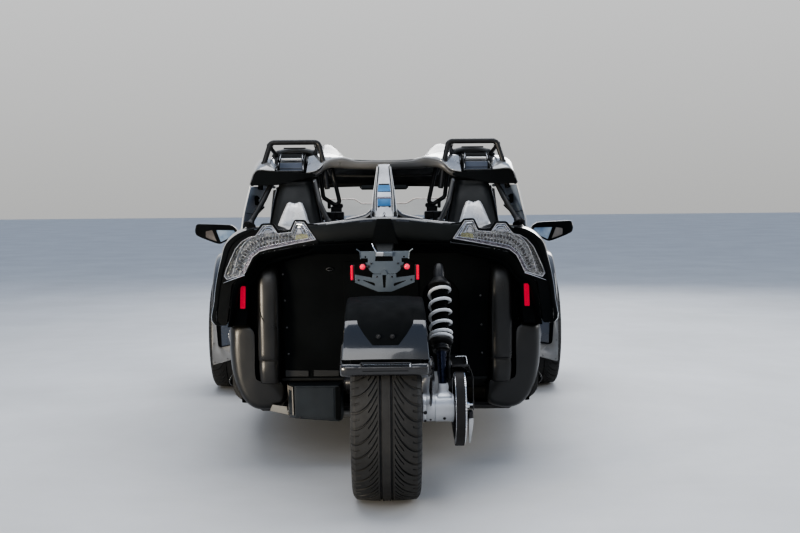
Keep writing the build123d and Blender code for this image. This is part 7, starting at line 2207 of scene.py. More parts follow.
def mirrors():
    out = [(749, 918), (768, 952), (790, 966), (872, 970), (960, 973), (971, 966), (977, 936), (972, 914), (940, 898), (868, 870), (848, 867), (802, 888)]
    cx, cz = 864, 920
    panes = ([(868, 940), (776, 938), (764, 918), (812, 893), (845, 877)], [(922, 934), (887, 940), (864, 880), (905, 895), (922, 903)])
    def ring(y, k, r=8):
        pts = rounded([(cx + (x - cx) * k, cz + (z - cz) * k) for x, z in out], r, 2)
        return [(x, y, z) for x, z in pts]
    rings = [ring(304, 0.94), ring(300, 0.97), ring(303, 1.0), ring(312, 1.0), ring(345, 0.985), ring(380, 0.93), ring(404, 0.80), ring(416, 0.60), ring(420, 0.35)]
    o = solid_loft("door_mirror_housing", rings, "gloss", "gloss_black", ku=1, kv=3, mirror=True, sharp=50)
    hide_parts("door_mirrors")
    # pane colours are painted reflections: sky blue on the main glass, brown-grey on the blind-spot glass
    for k, g in enumerate(panes):
        plate(("door_mirror_glass", "door_mirror_blind_spot_glass")[k], rounded(g, 4, 2), lambda u, v, w: (u, 302.4 + w - (u - cx) * 0.01, v), 3, ("mirror_tint", "mirror_grey")[k], "silver_alloy", edge=0.6, mirror=True)
    plate("door_mirror_bezel", rounded([(cx + (x - cx) * 0.95, cz + (z - cz) * 0.95) for x, z in out], 8, 2), lambda u, v, w: (u, 300.5 + w, v), 5, "matte_deep", "gloss_black",
          holes=[rounded(g, 4, 2) for g in panes], edge=0.8, mirror=True)
    # arm, flat and tapering, with a foot on the cowl
    rows = []
    for x, y, z, a, b in ((640, 402, 832, 34, 13), (660, 398, 846, 28, 11), (700, 386, 868, 24, 9), (750, 372, 888, 22, 8.5), (800, 362, 900, 22, 8.5), (830, 358, 906, 20, 8)):
        n = 12
        rows.append([(x - b * 0.5 * sin(2 * pi * k / n), y + a * cos(2 * pi * k / n), z + b * sin(2 * pi * k / n)) for k in range(n)])
    solid_loft("door_mirror_arm", rows, "satin", "matte_black", ku=2, kv=4, mirror=True)
    v, f = lathe([(-6, 0.01), (-6, 34), (0, 36), (4, 32), (6, 0.01)], (640, 402, 830), (-0.3, 0, 1), 24)
    piece("door_mirror_foot", v, f, "rubber", "matte_black", mirror=True)


def mirror_tint():
    # mirror pane colours: painted reflections
    M["mirror_tint"] = metal("mirror_glass_painted_sky_reflection", (0.16, 0.25, 0.38), (0.62, 0.72, 0.80), rough=(0.03, 0.08), grain=13, strength=0.01, metallic=0.45)
    M["mirror_grey"] = metal("mirror_glass_painted_brown_reflection", (0.15, 0.13, 0.115), (0.34, 0.31, 0.28), rough=(0.03, 0.08), grain=15, strength=0.01, metallic=0.45)


mirror_tint()
mirrors()


def front_underpinnings():
    # coil springs on the front dampers, bolts and bushes on the arms
    foot, head = Vector((640, 1110, 206)), Vector((330, 1110, 640))
    d = (head - foot).normalized()
    u = Vector((0, 1, 0))
    w = d.cross(u)
    L = 258.0
    pts = []
    turns, n = 6.5, 150
    for i in range(n + 1):
        t = i / n
        a = 2 * pi * turns * t
        r = 52.0 - 2 * (t < 0.04 or t > 0.96)
        pts.append(foot + d * (170 + L * t) + (u * cos(a) + w * sin(a)) * r)
    v, f = tube_mesh([tuple(p) for p in pts], 6.5, 10)
    piece("front_springs", v, f, "spring", "white_spring", mirror=True)
    parts = []
    for x, y, z in ((290, 1260, 466), (290, 960, 466), (285, 1280, 186), (285, 940, 186)):
        parts.append(lathe([(-19, 9), (-19, 19), (19, 19), (19, 9)], (x, y, z), (0, 1, 0), 18, close=True))
    v, f = join(parts)
    piece("wishbone_bushes", v, f, "rubber", "matte_black", mirror=True, sharp=30)
    parts = [lathe([(0, 12), (4, 19), (14, 22), (24, 19), (28, 14)], (806, 1110, z), (0, 0, 1), 18) for z in (478,)]
    parts += [screw((262 + dx, y, 497), (0, 0, 1), 7, 5, "hex") for dx in (-14, 14) for y in (940, 1280)]
    parts += [screw((250, y, 174), (0, 0, -1), 9, 6, "hex") for y in (760, 880, 1110, 1300, 1440)]
    v, f = join(parts)
    piece("front_fasteners", v, f, "steel", "dark_steel", mirror=True)
    # ribs and plugs that make the engine's block read as a casting
    parts = []
    for i in range(7):
        parts.append(block((0, 622 + i * 82, 702), (330, 14, 7), 2))
    for i in range(6):
        for s in (-1, 1):
            parts.append(block((s * 200, 640 + i * 92, 470), (8, 16, 380), 3))
    parts += [block((0, 872, 238), (360, 500, 8), 3)]
    parts += [screw((x, y, 233), (0, 0, -1), 7, 5, "hex") for x in (-160, 0, 160) for y in (650, 872, 1094)]
    v, f = join(parts)
    piece("engine_ribs", v, f, "engine", "engine_alloy")
    parts = [lathe([(0, 0.01), (0, r), (4, r + 2), (10, r - 3), (16, r - 3), (22, r + 2), (26, r), (26, 0.01)], (x, 1152, z), (0, 1, 0), 36) for x, z, r in ((0, 330, 66), (-120, 470, 44), (120, 520, 40), (20, 600, 52))]
    v, f = join(parts)
    piece("engine_pulleys", v, f, "dark_steel", "dark_steel")


front_underpinnings()

# ------------------------------------------------------------------ rims, discs, uprights
def wheel_materials():
    M["rim_black"] = gloss_paint("gloss_black_rim", (0.010, 0.010, 0.011), (0.018, 0.018, 0.019), coat=0.9, rough=(0.14, 0.26))
    M["rim_edge"] = metal("cut_rim_edge", (0.30, 0.30, 0.31), (0.42, 0.42, 0.43), rough=(0.14, 0.26), grain=200, strength=0.1)
    M["caliper"] = metal("grey_caliper", (0.10, 0.10, 0.105), (0.16, 0.16, 0.165), rough=(0.35, 0.5), metallic=0.5)


wheel_materials()


def wheel(name, centre, side, width, bead, hub_r, dish, body, node, n=5, mat="rim_black"):
    """Twin-spoke cast rim about the X axis. side is the way that its outer face looks."""
    cx, cy, cz = centre
    w = width / 2
    P = lambda x, r, a: (cx + side * x, cy + r * cos(a), cz + r * sin(a))
    xh, xr, th, tr = dish
    prof = [(-w * 0.90, bead - 1), (-w * 0.90, bead - 12), (-w * 0.86, bead - 17), (-w * 0.70, bead - 21), (-w * 0.50, bead - 26), (w * 0.30, bead - 27), (w * 0.60, bead - 25), (w * 0.80, bead - 19), (w * 0.885, bead - 13),
            (w * 0.90, bead - 8), (w * 0.90, bead - 1), (w * 0.84, bead - 0.6), (w * 0.80, bead - 5), (w * 0.62, bead - 14), (w * 0.3, bead - 20), (-w * 0.5, bead - 19), (-w * 0.72, bead - 12), (-w * 0.82, bead - 4), (-w * 0.85, bead - 0.6)]
    v, f = lathe(prof, (cx, cy, cz), (side, 0, 0), 96, close=True)
    o = piece(name, v, f, mat, "black_alloy", body=body, sharp=40)
    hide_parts(node)
    # thin cut edge on the outer lip
    v, f = lathe([(w * 0.902, bead - 9), (w * 0.908, bead - 7.5), (w * 0.908, bead - 3.5), (w * 0.902, bead - 2), (w * 0.895, bead - 5)], (cx, cy, cz), (side, 0, 0), 96, close=True)
    piece(name + "_cut_edge", v, f, "rim_edge", "silver_alloy", body=body)
    # spokes: pairs that leave the hub together and part towards the barrel
    R0, R1 = hub_r * 0.72, bead - 19
    parts = []
    for k in range(n):
        for s in (-1, 1):
            rings = []
            for i in range(9):
                t = i / 8
                r = R0 + (R1 - R0) * t
                q = max(0.0, (r - hub_r) / (R1 - hub_r))
                a = 2 * pi * k / n + s * (0.10 + 0.115 * q) * (1 if r > hub_r else 0.7)
                hw = 9.0 + 3.0 * q ** 2 + (8 if t < 0.15 else 0)
                xo = xh + (xr - xh) * q ** 1.25
                tk = th + (tr - th) * q
                row = []
                for x, b in ((xo - 5, -hw), (xo, -hw * 0.55), (xo + 1.0, 0), (xo, hw * 0.55), (xo - 5, hw), (xo - tk * 0.6, hw * 0.92), (xo - tk, hw * 0.5), (xo - tk, -hw * 0.5), (xo - tk * 0.6, -hw * 0.92)):
                    p = P(x, r, a)
                    row.append((p[0], p[1] - b * sin(a), p[2] + b * cos(a)))
                rings.append(row)
            g = grid_from(rings, 1, 2, closed=True)
            nu = len(g[0])
            vv = [tuple(p) for rr in g for p in rr]
            ff = [(j * nu + i, j * nu + (i + 1) % nu, (j + 1) * nu + (i + 1) % nu, (j + 1) * nu + i) for j in range(len(g) - 1) for i in range(nu)]
            ff += [tuple(range(nu))[::-1], tuple((len(g) - 1) * nu + i for i in range(nu))]
            parts.append((vv, ff))
    v, f = join(parts)
    o = piece(name + "_spokes", v, f, mat, "black_alloy", body=body, sharp=45)
    bevel(o, 1.2, 2, 45)
    hub = [(xh - th, 24), (xh - th, hub_r * 0.96), (xh - th + 4, hub_r), (xh - 5, hub_r), (xh - 1.5, hub_r * 0.96), (xh, hub_r * 0.88), (xh - 1, hub_r * 0.56), (xh - 3, hub_r * 0.52), (xh - 3, 24)]
    v, f = lathe(hub, (cx, cy, cz), (side, 0, 0), 60, close=True)
    piece(name + "_hub", v, f, mat, "black_alloy", body=body, sharp=35)
    cap = [(xh - 6, 0.01), (xh - 6, 27), (xh + 2, 28), (xh + 5, 25), (xh + 6, 18), (xh + 5.4, 8), (xh + 5.2, 0.01)]
    v, f = lathe(cap, (cx, cy, cz), (side, 0, 0), 36)
    piece(name + "_cap", v, f, "alloy_black", "black_alloy", body=body, sharp=30)
    parts = []
    for k in range(n):
        a = 2 * pi * (k + 0.5) / n
        p = P(xh - 3, hub_r * 0.72, a)
        parts.append(lathe([(-3, 0.01), (-3, 9.5), (0, 9.5), (1, 8.5), (9, 8.2), (12, 6.0), (12.5, 0.01)], p, (side, 0, 0), 6))
    v, f = join(parts)
    piece(name + "_nuts", v, f, "steel", "dark_steel", body=body, sharp=25)
    p = P(w * 0.74, bead - 22, 0.63)
    q = P(w * 0.74 + 18, bead - 44, 0.63)
    v, f = tube_mesh([p, ((p[0] + q[0]) / 2, (p[1] + q[1]) / 2, (p[2] + q[2]) / 2), q], [4.0, 3.4, 3.4], 10)
    piece(name + "_valve", v, f, "rubber", "matte_black", body=body)


for sn, s in (("right", 1), ("left", -1)):
    wheel("rim_" + sn + "_front", (s * TRACK_X, FRONT_Y, FRONT_R), s, 215, 229, 62, (22, 72, 22, 16), sn + "_front_wheel", sn + "_front_rim")
wheel("rim_rear", (0, REAR_Y, REAR_R), -1, 240, 254, 66, (20, 84, 26, 18), "rear_wheel", "rear_rim")


def brakes():
    for sn, s in (("right", 1), ("left", -1)):
        cx = s * TRACK_X
        body = sn + "_front_wheel"
        n = 72
        out = [(118.5 * cos(2 * pi * k / n) * (1 + 0.006 * cos(12 * pi * k / n)), 118.5 * sin(2 * pi * k / n) * (1 + 0.006 * cos(12 * pi * k / n))) for k in range(n)]
        holes = [[(54 * cos(-2 * pi * k / 40), 54 * sin(-2 * pi * k / 40)) for k in range(40)]]
        for i in range(30):
            a = 2 * pi * i / 30
            r = (74, 89, 104)[i % 3]
            holes.append([(r * cos(a) + 3.4 * cos(-q * pi / 4), r * sin(a) + 3.4 * sin(-q * pi / 4)) for q in range(8)])
        for k, x0 in enumerate((-33, -24.5)):
            o = plate("disc_%s_face_%d" % (sn, k), out, lambda a, b, w=0.0, x0=x0: (cx + s * (x0 + w), FRONT_Y + a, FRONT_R + b), 3.5, "disc", "disc_iron", holes, edge=0.4, body=body)
            if k == 0:
                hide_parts(sn + "_brake_disc")
        parts = []
        for i in range(36):
            a = 2 * pi * i / 36
            c, q = cos(a), sin(a)
            vv = []
            for x in (-30, -24.2):
                for r, t in ((70, -1.6), (112, -1.6), (112, 1.6), (70, 1.6)):
                    vv.append((cx + s * x, FRONT_Y + r * c - t * q, FRONT_R + r * q + t * c))
            parts.append((vv, [(0, 1, 2, 3), (7, 6, 5, 4), (0, 4, 5, 1), (1, 5, 6, 2), (2, 6, 7, 3), (3, 7, 4, 0)]))
        v, f = join(parts)
        piece("disc_%s_vanes" % sn, v, f, "disc", "disc_iron", body=body)
        v, f = lathe([(-33, 19), (-33, 58), (-24, 60), (-21, 58), (-4, 57), (-2, 55), (-2, 19)], (cx, FRONT_Y, FRONT_R), (s, 0, 0), 48, close=True)
        piece("disc_%s_hat" % sn, v, f, "alloy_black", "black_alloy", body=body, sharp=35)
        # caliper bolts and hose on the upright
        kb = sn + "_knuckle"
        parts = [screw((s * (KINGPIN_X - 1), FRONT_Y - 96, FRONT_R + dz), (-s, 0, 0), 7, 6, "hex") for dz in (-32, 32)]
        parts += [lathe([(0, 12), (3, 15), (16, 15), (20, 11), (20, 0.01)], (s * KINGPIN_X, FRONT_Y, FRONT_R - 124), (0, 0, -1), 18)]
        v, f = join(parts)
        piece("upright_%s_bolts" % sn, v, f, "steel", "dark_steel", body=kb)
        v, f = tube_mesh([(p.x, p.y, p.z) for p in catmull([(s * (KINGPIN_X + 4), FRONT_Y - 92, FRONT_R + 26), (s * (KINGPIN_X - 12), FRONT_Y - 100, FRONT_R + 50), (s * (KINGPIN_X - 26), FRONT_Y - 84, FRONT_R + 76), (s * (KINGPIN_X - 24), FRONT_Y - 52, FRONT_R + 88)], 6)], 4, 8)
        piece("upright_%s_hose" % sn, v, f, "rubber", "matte_black", body=kb)


brakes()

# ------------------------------------------------------------------ cockpit
from mathutils.bvhtree import BVHTree


def cockpit_materials():
    M["stitch"] = moulded("grey_piping", (0.10, 0.10, 0.102), (0.15, 0.15, 0.152), grain=600, strength=0.5, rough=(0.5, 0.7))
    M["dial"] = gloss_paint("dark_display_glass", (0.006, 0.008, 0.011), (0.012, 0.015, 0.02), coat=1.0, rough=(0.05, 0.12))
    n = Nodes("seat_weave_insert")
    w = n.new("ShaderNodeTexVoronoi", Scale=230.0)
    n.link(n.co, w.inputs["Vector"])
    n.colour(w.outputs["Distance"], (0.010, 0.010, 0.0105), (0.026, 0.026, 0.0265), 0.1, 0.6)
    n.rough(n.noise(70, 5), 0.55, 0.75)
    n.set(Sheen_Weight=0.15)
    n.bump(w.outputs["Distance"], 0.6, 0.0012)
    M["weave"] = n.m


cockpit_materials()
SEAT_X = 322.0


def closed_loft(rings, ku, kv):
    """Vertices and faces of a closed smooth loft, each end capped with a fan to its centre."""
    g = grid_from(rings, ku, kv, closed=True)
    nv, nu = len(g), len(g[0])
    verts = [tuple(p) for r in g for p in r]
    faces = [(j * nu + i, j * nu + (i + 1) % nu, (j + 1) * nu + (i + 1) % nu, (j + 1) * nu + i) for j in range(nv - 1) for i in range(nu)]
    for j, rev in ((0, True), (nv - 1, False)):
        c = sum((g[j][i] for i in range(nu)), Vector()) / nu
        verts.append(tuple(c))
        ci = len(verts) - 1
        for i in range(nu):
            a, b = j * nu + i, j * nu + (i + 1) % nu
            faces.append((ci, b, a) if rev else (ci, a, b))
    return verts, faces


def soften(o, pinned, voxel=10.0, pressure=4.0, cap=20.0, frames=20, carve=None):
    """Voxel remesh, short cloth simulation under pressure, result kept in the mesh, then the sewn channels."""
    scene = bpy.context.scene
    o.modifiers.clear()
    rm = o.modifiers.new("remesh", "REMESH")
    rm.mode, rm.voxel_size = "VOXEL", voxel * MM
    dg = bpy.context.evaluated_depsgraph_get()
    me = bpy.data.meshes.new_from_object(o.evaluated_get(dg))
    o.modifiers.clear()
    o.data = me
    rest = [v.co.copy() for v in me.vertices]
    vg = o.vertex_groups.new(name="held")
    for v in me.vertices:
        if pinned(v.co / MM):
            vg.add([v.index], 1.0, "REPLACE")
    c = o.modifiers.new("cloth", "CLOTH")
    s = c.settings
    s.quality, s.mass = 5, 0.3
    s.tension_stiffness = s.compression_stiffness = 15
    s.shear_stiffness, s.bending_stiffness = 5, 0.5
    s.use_pressure, s.uniform_pressure_force = True, pressure
    s.effector_weights.gravity = 0
    s.vertex_group_mass = "held"
    c.collision_settings.use_collision = False
    c.point_cache.frame_start, c.point_cache.frame_end = 1, frames
    for k in range(1, frames + 1):
        scene.frame_set(k)
    dg = bpy.context.evaluated_depsgraph_get()
    me = bpy.data.meshes.new_from_object(o.evaluated_get(dg))
    o.modifiers.clear()
    o.vertex_groups.clear()
    for v, r in zip(me.vertices, rest):
        d = v.co - r
        if d.length > cap * MM:
            v.co = r + d * (cap * MM / d.length)
    o.data = me
    scene.frame_set(1)
    me = o.data
    bm = bmesh.new()
    bm.from_mesh(me)
    for _ in range(3):
        bmesh.ops.smooth_vert(bm, verts=bm.verts, factor=0.5, use_axis_x=True, use_axis_y=True, use_axis_z=True)
    bmesh.ops.recalc_face_normals(bm, faces=bm.faces)
    bm.normal_update()
    if carve:
        for v in bm.verts:
            k = carve(v.co / MM)
            if k:
                v.co -= v.normal * k * MM
    bm.to_mesh(me)
    bm.free()
    me.polygons.foreach_set("use_smooth", [True] * len(me.polygons))
    sub = o.modifiers.new("subdivision", "SUBSURF")
    sub.levels = sub.render_levels = 1
    return o


def twin(o, name, node=None):
    """The same piece on the other side."""
    me = o.data.copy()
    for v in me.vertices:
        v.co.x = -v.co.x
    me.flip_normals()
    p = bpy.data.objects.new(name, me)
    bpy.context.scene.collection.objects.link(p)
    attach(p, "chassis")
    for m in o.modifiers:
        if m.type == "SUBSURF":
            q = p.modifiers.new("subdivision", "SUBSURF")
            q.levels = q.render_levels = 1
    return p


def piping(name, o, paths, away, r=2.3):
    """Sewn piping laid on a soft piece along the paths, found by casting from outside."""
    dg = bpy.context.evaluated_depsgraph_get()
    tree = BVHTree.FromObject(o, dg)
    parts = []
    d = -Vector(away).normalized()
    for path in paths:
        pts = []
        for p in catmull(path, 5):
            hit = tree.ray_cast((p - d * 400) * MM, d, 1.2)
            if hit[0] is not None:
                pts.append(tuple(hit[0] / MM + hit[1].normalized() * r * 0.25))
        if len(pts) > 3:
            pts = [tuple((Vector(pts[max(i - 1, 0)]) + Vector(pts[i]) * 2 + Vector(pts[min(i + 1, len(pts) - 1)])) / 4) for i in range(len(pts))]
            parts.append(tube_mesh(pts, r, 8))
    v, f = join(parts)
    return piece(name, v, f, "stitch", "seat_vinyl", mirror=True)


def line_dist(p, path):
    """Distance in plan from p to a polyline, both 2-D."""
    best = 1e9
    for (ax, ay), (bx, by) in zip(path, path[1:]):
        dx, dy = bx - ax, by - ay
        t = max(0.0, min(1.0, ((p[0] - ax) * dx + (p[1] - ay) * dy) / (dx * dx + dy * dy)))
        best = min(best, math.hypot(p[0] - ax - dx * t, p[1] - ay - dy * t))
    return best


def seats():
    X = SEAT_X
    # cushion: rings across the seat, from the back to the rolled front edge
    def ring(y, zb, zc, zt, hw):
        half = [(0, zc), (60, zc + 1), (112, zc + 5), (142, zc + (zt - zc) * 0.55), (166, zt - 2), (188, zt - 6), (hw - 10, zt - 26), (hw, (zt + zb) / 2), (hw - 8, zb + 16), (hw - 30, zb), (100, zb), (0, zb)]
        return [(X + x, y, z) for x, z in half] + [(X - x, y, z) for x, z in half[-2:0:-1]]
    rings = [ring(-632, 214, 262, 312, 196), ring(-622, 204, 264, 320, 206), ring(-560, 200, 268, 326, 210), ring(-440, 200, 278, 326, 214), ring(-330, 202, 292, 322, 216), ring(-262, 206, 300, 314, 214), ring(-232, 216, 296, 302, 208), ring(-222, 236, 280, 284, 198)]
    v, f = closed_loft(rings, 2, 3)
    o = piece("seat_cushion_right", v, f, ["vinyl", "weave"], "seat_vinyl")
    seam_l = [(X - 132, -640), (X - 130, -420), (X - 126, -300), (X - 120, -225)]
    seam_r = [(2 * X - x, y) for x, y in seam_l]
    cross = [[(X - 128, y), (X, y - 10), (X + 128, y)] for y in (-540, -450, -360)]
    def carve(p):
        if p.z < 255:
            return 0.0
        k = 0.0
        for path in (seam_l, seam_r):
            k = max(k, 7.0 * math.exp(-(line_dist((p.x, p.y), path) / 7.0) ** 2))
        for path in cross:
            k = max(k, 4.5 * math.exp(-(line_dist((p.x, p.y), path) / 6.5) ** 2))
        return k
    soften(o, lambda p: p.z < 216, cap=20, carve=carve)
    for q in o.data.polygons:
        c = q.center / MM
        q.material_index = 1 if (abs(c.x - X) < 126 and c.z > 240 and q.normal.z > 0.3) else 0
    p = twin(o, "seat_cushion_left")
    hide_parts("seat_cushions")
    piping("seat_cushion_piping", o, [[(x, y, 300) for x, y in path] for path in (seam_l, seam_r)], (0, 0, 1))
    # back: rings up the seat
    def bring(z, yb, yc, yt, hw, bw):
        half = [(0, yc), (50, yc), (bw * 0.62, yc + 4), (bw * 0.84, yc + (yt - yc) * 0.5), (bw, yt), (bw + 24, yt - 3), (hw - 8, yt - 26), (hw, (yt + yb) / 2), (hw - 8, yb + 16), (hw - 34, yb), (90, yb), (0, yb)]
        return [(X + x, y, z) for x, y in half] + [(X - x, y, z) for x, y in half[-2:0:-1]]
    rings = [bring(284, -806, -738, -716, 196, 150), bring(300, -812, -726, -680, 206, 158), bring(400, -832, -738, -676, 212, 162), bring(520, -856, -768, -686, 216, 166), bring(640, -878, -796, -704, 218, 168), bring(720, -890, -812, -730, 208, 160),
             bring(790, -898, -824, -778, 180, 134), bring(840, -900, -836, -818, 146, 104), bring(858, -894, -848, -840, 128, 90)]
    v, f = closed_loft(rings, 2, 3)
    o = piece("seat_back_right", v, f, ["vinyl", "weave"], "seat_vinyl")
    sl = [(X - 138, 290), (X - 142, 420), (X - 144, 560), (X - 142, 660), (X - 124, 760), (X - 92, 815)]
    sr = [(2 * X - x, z) for x, z in sl]
    cross = [[(X - 142, z), (X, z + 10), (X + 142, z)] for z in (390, 490, 590)] + [[(X - 140, 690), (X - 60, 706), (X + 60, 706), (X + 140, 690)]]
    def carve2(p):
        if p.y < -860 + 0.1 * (700 - p.z) * 0.2:
            return 0.0
        k = 0.0
        for path in (sl, sr):
            k = max(k, 7.0 * math.exp(-(line_dist((p.x, p.z), path) / 7.0) ** 2))
        for path in cross:
            k = max(k, 4.5 * math.exp(-(line_dist((p.x, p.z), path) / 6.5) ** 2))
        return k
    back_line = lambda z: -806 - (z - 284) * 0.171
    soften(o, lambda p: p.y < back_line(p.z) + 10, cap=20, carve=carve2)
    for q in o.data.polygons:
        c = q.center / MM
        q.material_index = 1 if (abs(c.x - X) < 136 and c.z < 690 and q.normal.y > 0.3) else 0
    twin(o, "seat_back_left")
    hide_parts("seat_backs")
    piping("seat_back_piping", o, [[(x, -700, z) for x, z in path] for path in (sl, sr)], (0, 1, 0))
    # head pad on the front of each fairing
    def hring(y, hw, hz):
        n = 20
        return [(368 + hw * math.copysign(abs(cos(2 * pi * k / n)) ** 0.6, cos(2 * pi * k / n)), y, 1096 + hz * math.copysign(abs(sin(2 * pi * k / n)) ** 0.6, sin(2 * pi * k / n))) for k in range(n)]
    v, f = closed_loft([hring(-778, 66, 42), hring(-764, 78, 54), hring(-730, 80, 56), hring(-702, 70, 48)], 1, 3)
    o = piece("head_pad_right", v, f, "vinyl", "seat_vinyl")
    soften(o, lambda p: p.y < -768, voxel=6.0, cap=14, carve=lambda p: 3.5 * math.exp(-((p.z - 1096) / 6.0) ** 2) if p.y > -720 else 0.0)
    twin(o, "head_pad_left")
    # runners
    parts = [block((X + dx, -430, 190), (26, 380, 16), 3) for dx in (-150, 150)]
    v, f = join(parts)
    bevel(piece("seat_runners", v, f, "dark_steel", "dark_steel", mirror=True), 1.0, 2)
    # buckle stalks beside the tunnel
    parts = []
    v, f = tube_mesh([(108, -600, 430), (112, -585, 470), (114, -570, 505)], 8, 10)
    parts.append((v, f))
    parts.append(block((115, -562, 532), (20, 30, 56), 5))
    v, f = join(parts)
    bevel(piece("belt_buckles", v, f, "matte", "matte_black", mirror=True), 1.0, 2)


seats()


def dashboard():
    # moulded fascia: smooth along the car's width
    S = {
        545: [(300, 642), (262, 668), (240, 700), (232, 745), (235, 785), (262, 824), (300, 846), (390, 868), (470, 880), (470, 642)],
        330: [(296, 636), (256, 665), (232, 700), (222, 748), (226, 792), (256, 838), (296, 868), (385, 884), (470, 894), (470, 632)],
        150: [(290, 628), (250, 662), (225, 700), (214, 748), (217, 795), (252, 846), (290, 874), (380, 893), (470, 904), (470, 620)],
        0: [(300, 604), (262, 650), (235, 690), (224, 742), (226, 792), (260, 844), (300, 872), (385, 895), (470, 908), (470, 604)],
    }
    rings = [[(x, y, z) for y, z in S[abs(x)]] for x in (-545, -330, -150, 0, 150, 330, 545)]
    o = solid_loft("dashboard_body", rings, ["satin"], "matte_black", ku=3, kv=5, cu=(8, 9), sharp=40)
    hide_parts("dashboard")
    # hood over the dials, dial face and rings
    rings = []
    for y, hw, zt, zb in ((232, 128, 884, 800), (226, 134, 892, 796), (240, 134, 900, 800), (300, 120, 900, 830), (360, 96, 892, 860)):
        pts = rounded([(-hw, zb), (hw, zb), (hw * 0.92, zt - 18), (hw * 0.7, zt), (-hw * 0.7, zt), (-hw * 0.92, zt - 18)], 14, 3)
        rings.append([(-SEAT_X + x, y, z) for x, z in pts])
    solid_loft("dial_hood", rings, "satin", "matte_black", ku=1, kv=3, sharp=50)
    face = rounded([(-112, 808), (112, 808), (104, 868), (80, 882), (-80, 882), (-104, 868)], 12, 3)
    plate("dial_face", face, lambda u, v, w: (-SEAT_X + u, 222.5 + w + (v - 808) * 0.04, v), 5, "dial", "smoked_glass", edge=1.0)
    parts = []
    for x, r in ((-62, 32), (62, 32)):
        parts.append(lathe([(0, r - 3), (0, r), (4, r + 1), (5, r - 1), (4, r - 3)], (-SEAT_X + x, 223, 844), (0, -1, 0.04), 40, close=True))
        for k in range(11):
            a = radians(-30 + 24 * k)
            parts.append(block((-SEAT_X + x + (r - 7) * cos(a), 220.5, 844 + (r - 7) * sin(a)), (2.2, 1.6, 2.2), 0.3))
        parts.append(tube_mesh([(-SEAT_X + x, 220, 844), (-SEAT_X + x - 14, 220, 828)], [1.6, 0.8], 6))
    v, f = join(parts)
    piece("dial_rings", v, f, "steel", "silver_alloy")
    # centre display with its frame and a row of switches
    plate("display_frame", rounded([(-96, 744), (96, 744), (96, 836), (-96, 836)], 9, 3), lambda u, v, w: (u, 214 + w + max(0.0, v - 790) * 0.10, v), 16, "matte", "matte_black", edge=2.0)
    plate("display_glass", rounded([(-88, 751), (88, 751), (88, 829), (-88, 829)], 5, 2), lambda u, v, w: (u, 212.6 + w + max(0.0, v - 790) * 0.10, v), 3, "dial", "smoked_glass", edge=0.6)
    parts = [block((x, 233, 715), (20, 20, 16), 3) for x in range(-75, 76, 30)]
    v, f = join(parts)
    bevel(piece("dash_switches", v, f, "matte", "matte_black"), 0.8, 2)
    # round vents
    parts, inner = [], []
    for x, z, y in ((-490, 790, 238), (-160, 800, 222), (160, 800, 222), (490, 790, 238)):
        parts.append(lathe([(0, 26), (-6, 30), (-10, 29), (-10, 25), (-2, 22), (6, 22), (6, 26)], (x, y, z), (0, 1, 0), 32, close=True))
        inner += [block((x, y - 2, z + dz), (40 - abs(dz) * 0.7, 8, 2.4), 0.6) for dz in (-14, -7, 0, 7, 14)]
        inner.append(lathe([(2, 0.01), (2, 23), (4, 23), (4, 0.01)], (x, y, z), (0, 1, 0), 24))
    v, f = join(parts)
    piece("vent_rings", v, f, "alloy_black", "black_alloy", sharp=30)
    v, f = join(inner)
    piece("vent_louvres", v, f, "matte_deep", "matte_black")
    # glovebox lid with its pull
    plate("glovebox_lid", rounded([(215, 690), (450, 690), (446, 775), (220, 780)], 10, 3), lambda u, v, w: (u, 217 + w + abs(v - 748) * 0.10 + abs(u - 330) * 0.03, v), 10, "satin", "matte_black", edge=2.0)
    v, f = block((330, 214, 768), (64, 8, 12), 3)
    bevel(piece("glovebox_pull", v, f, "alloy_black", "black_alloy"), 1.0, 2)
    # column shroud
    c, s = cos(radians(25)), sin(radians(25))
    v, f = lathe([(-28, 18), (-28, 30), (-34, 38), (-44, 42), (-120, 46), (-190, 52), (-205, 40), (-205, 18)], (-SEAT_X, 60, 770), (0, -c, s), 32, close=True)
    piece("column_shroud", v, f, "satin", "matte_black", sharp=35)
    parts = []
    for sx in (-1, 1):
        p0 = Vector((-SEAT_X + sx * 40, 60 + 52 * c, 770 - 52 * s))
        p1 = p0 + Vector((sx * 70, -14 * c, 14 * s))
        parts.append(tube_mesh([tuple(p0), tuple((p0 + p1) / 2), tuple(p1)], [6, 5, 8], 10))
    v, f = join(parts)
    piece("column_stalks", v, f, "satin", "matte_black")


dashboard()


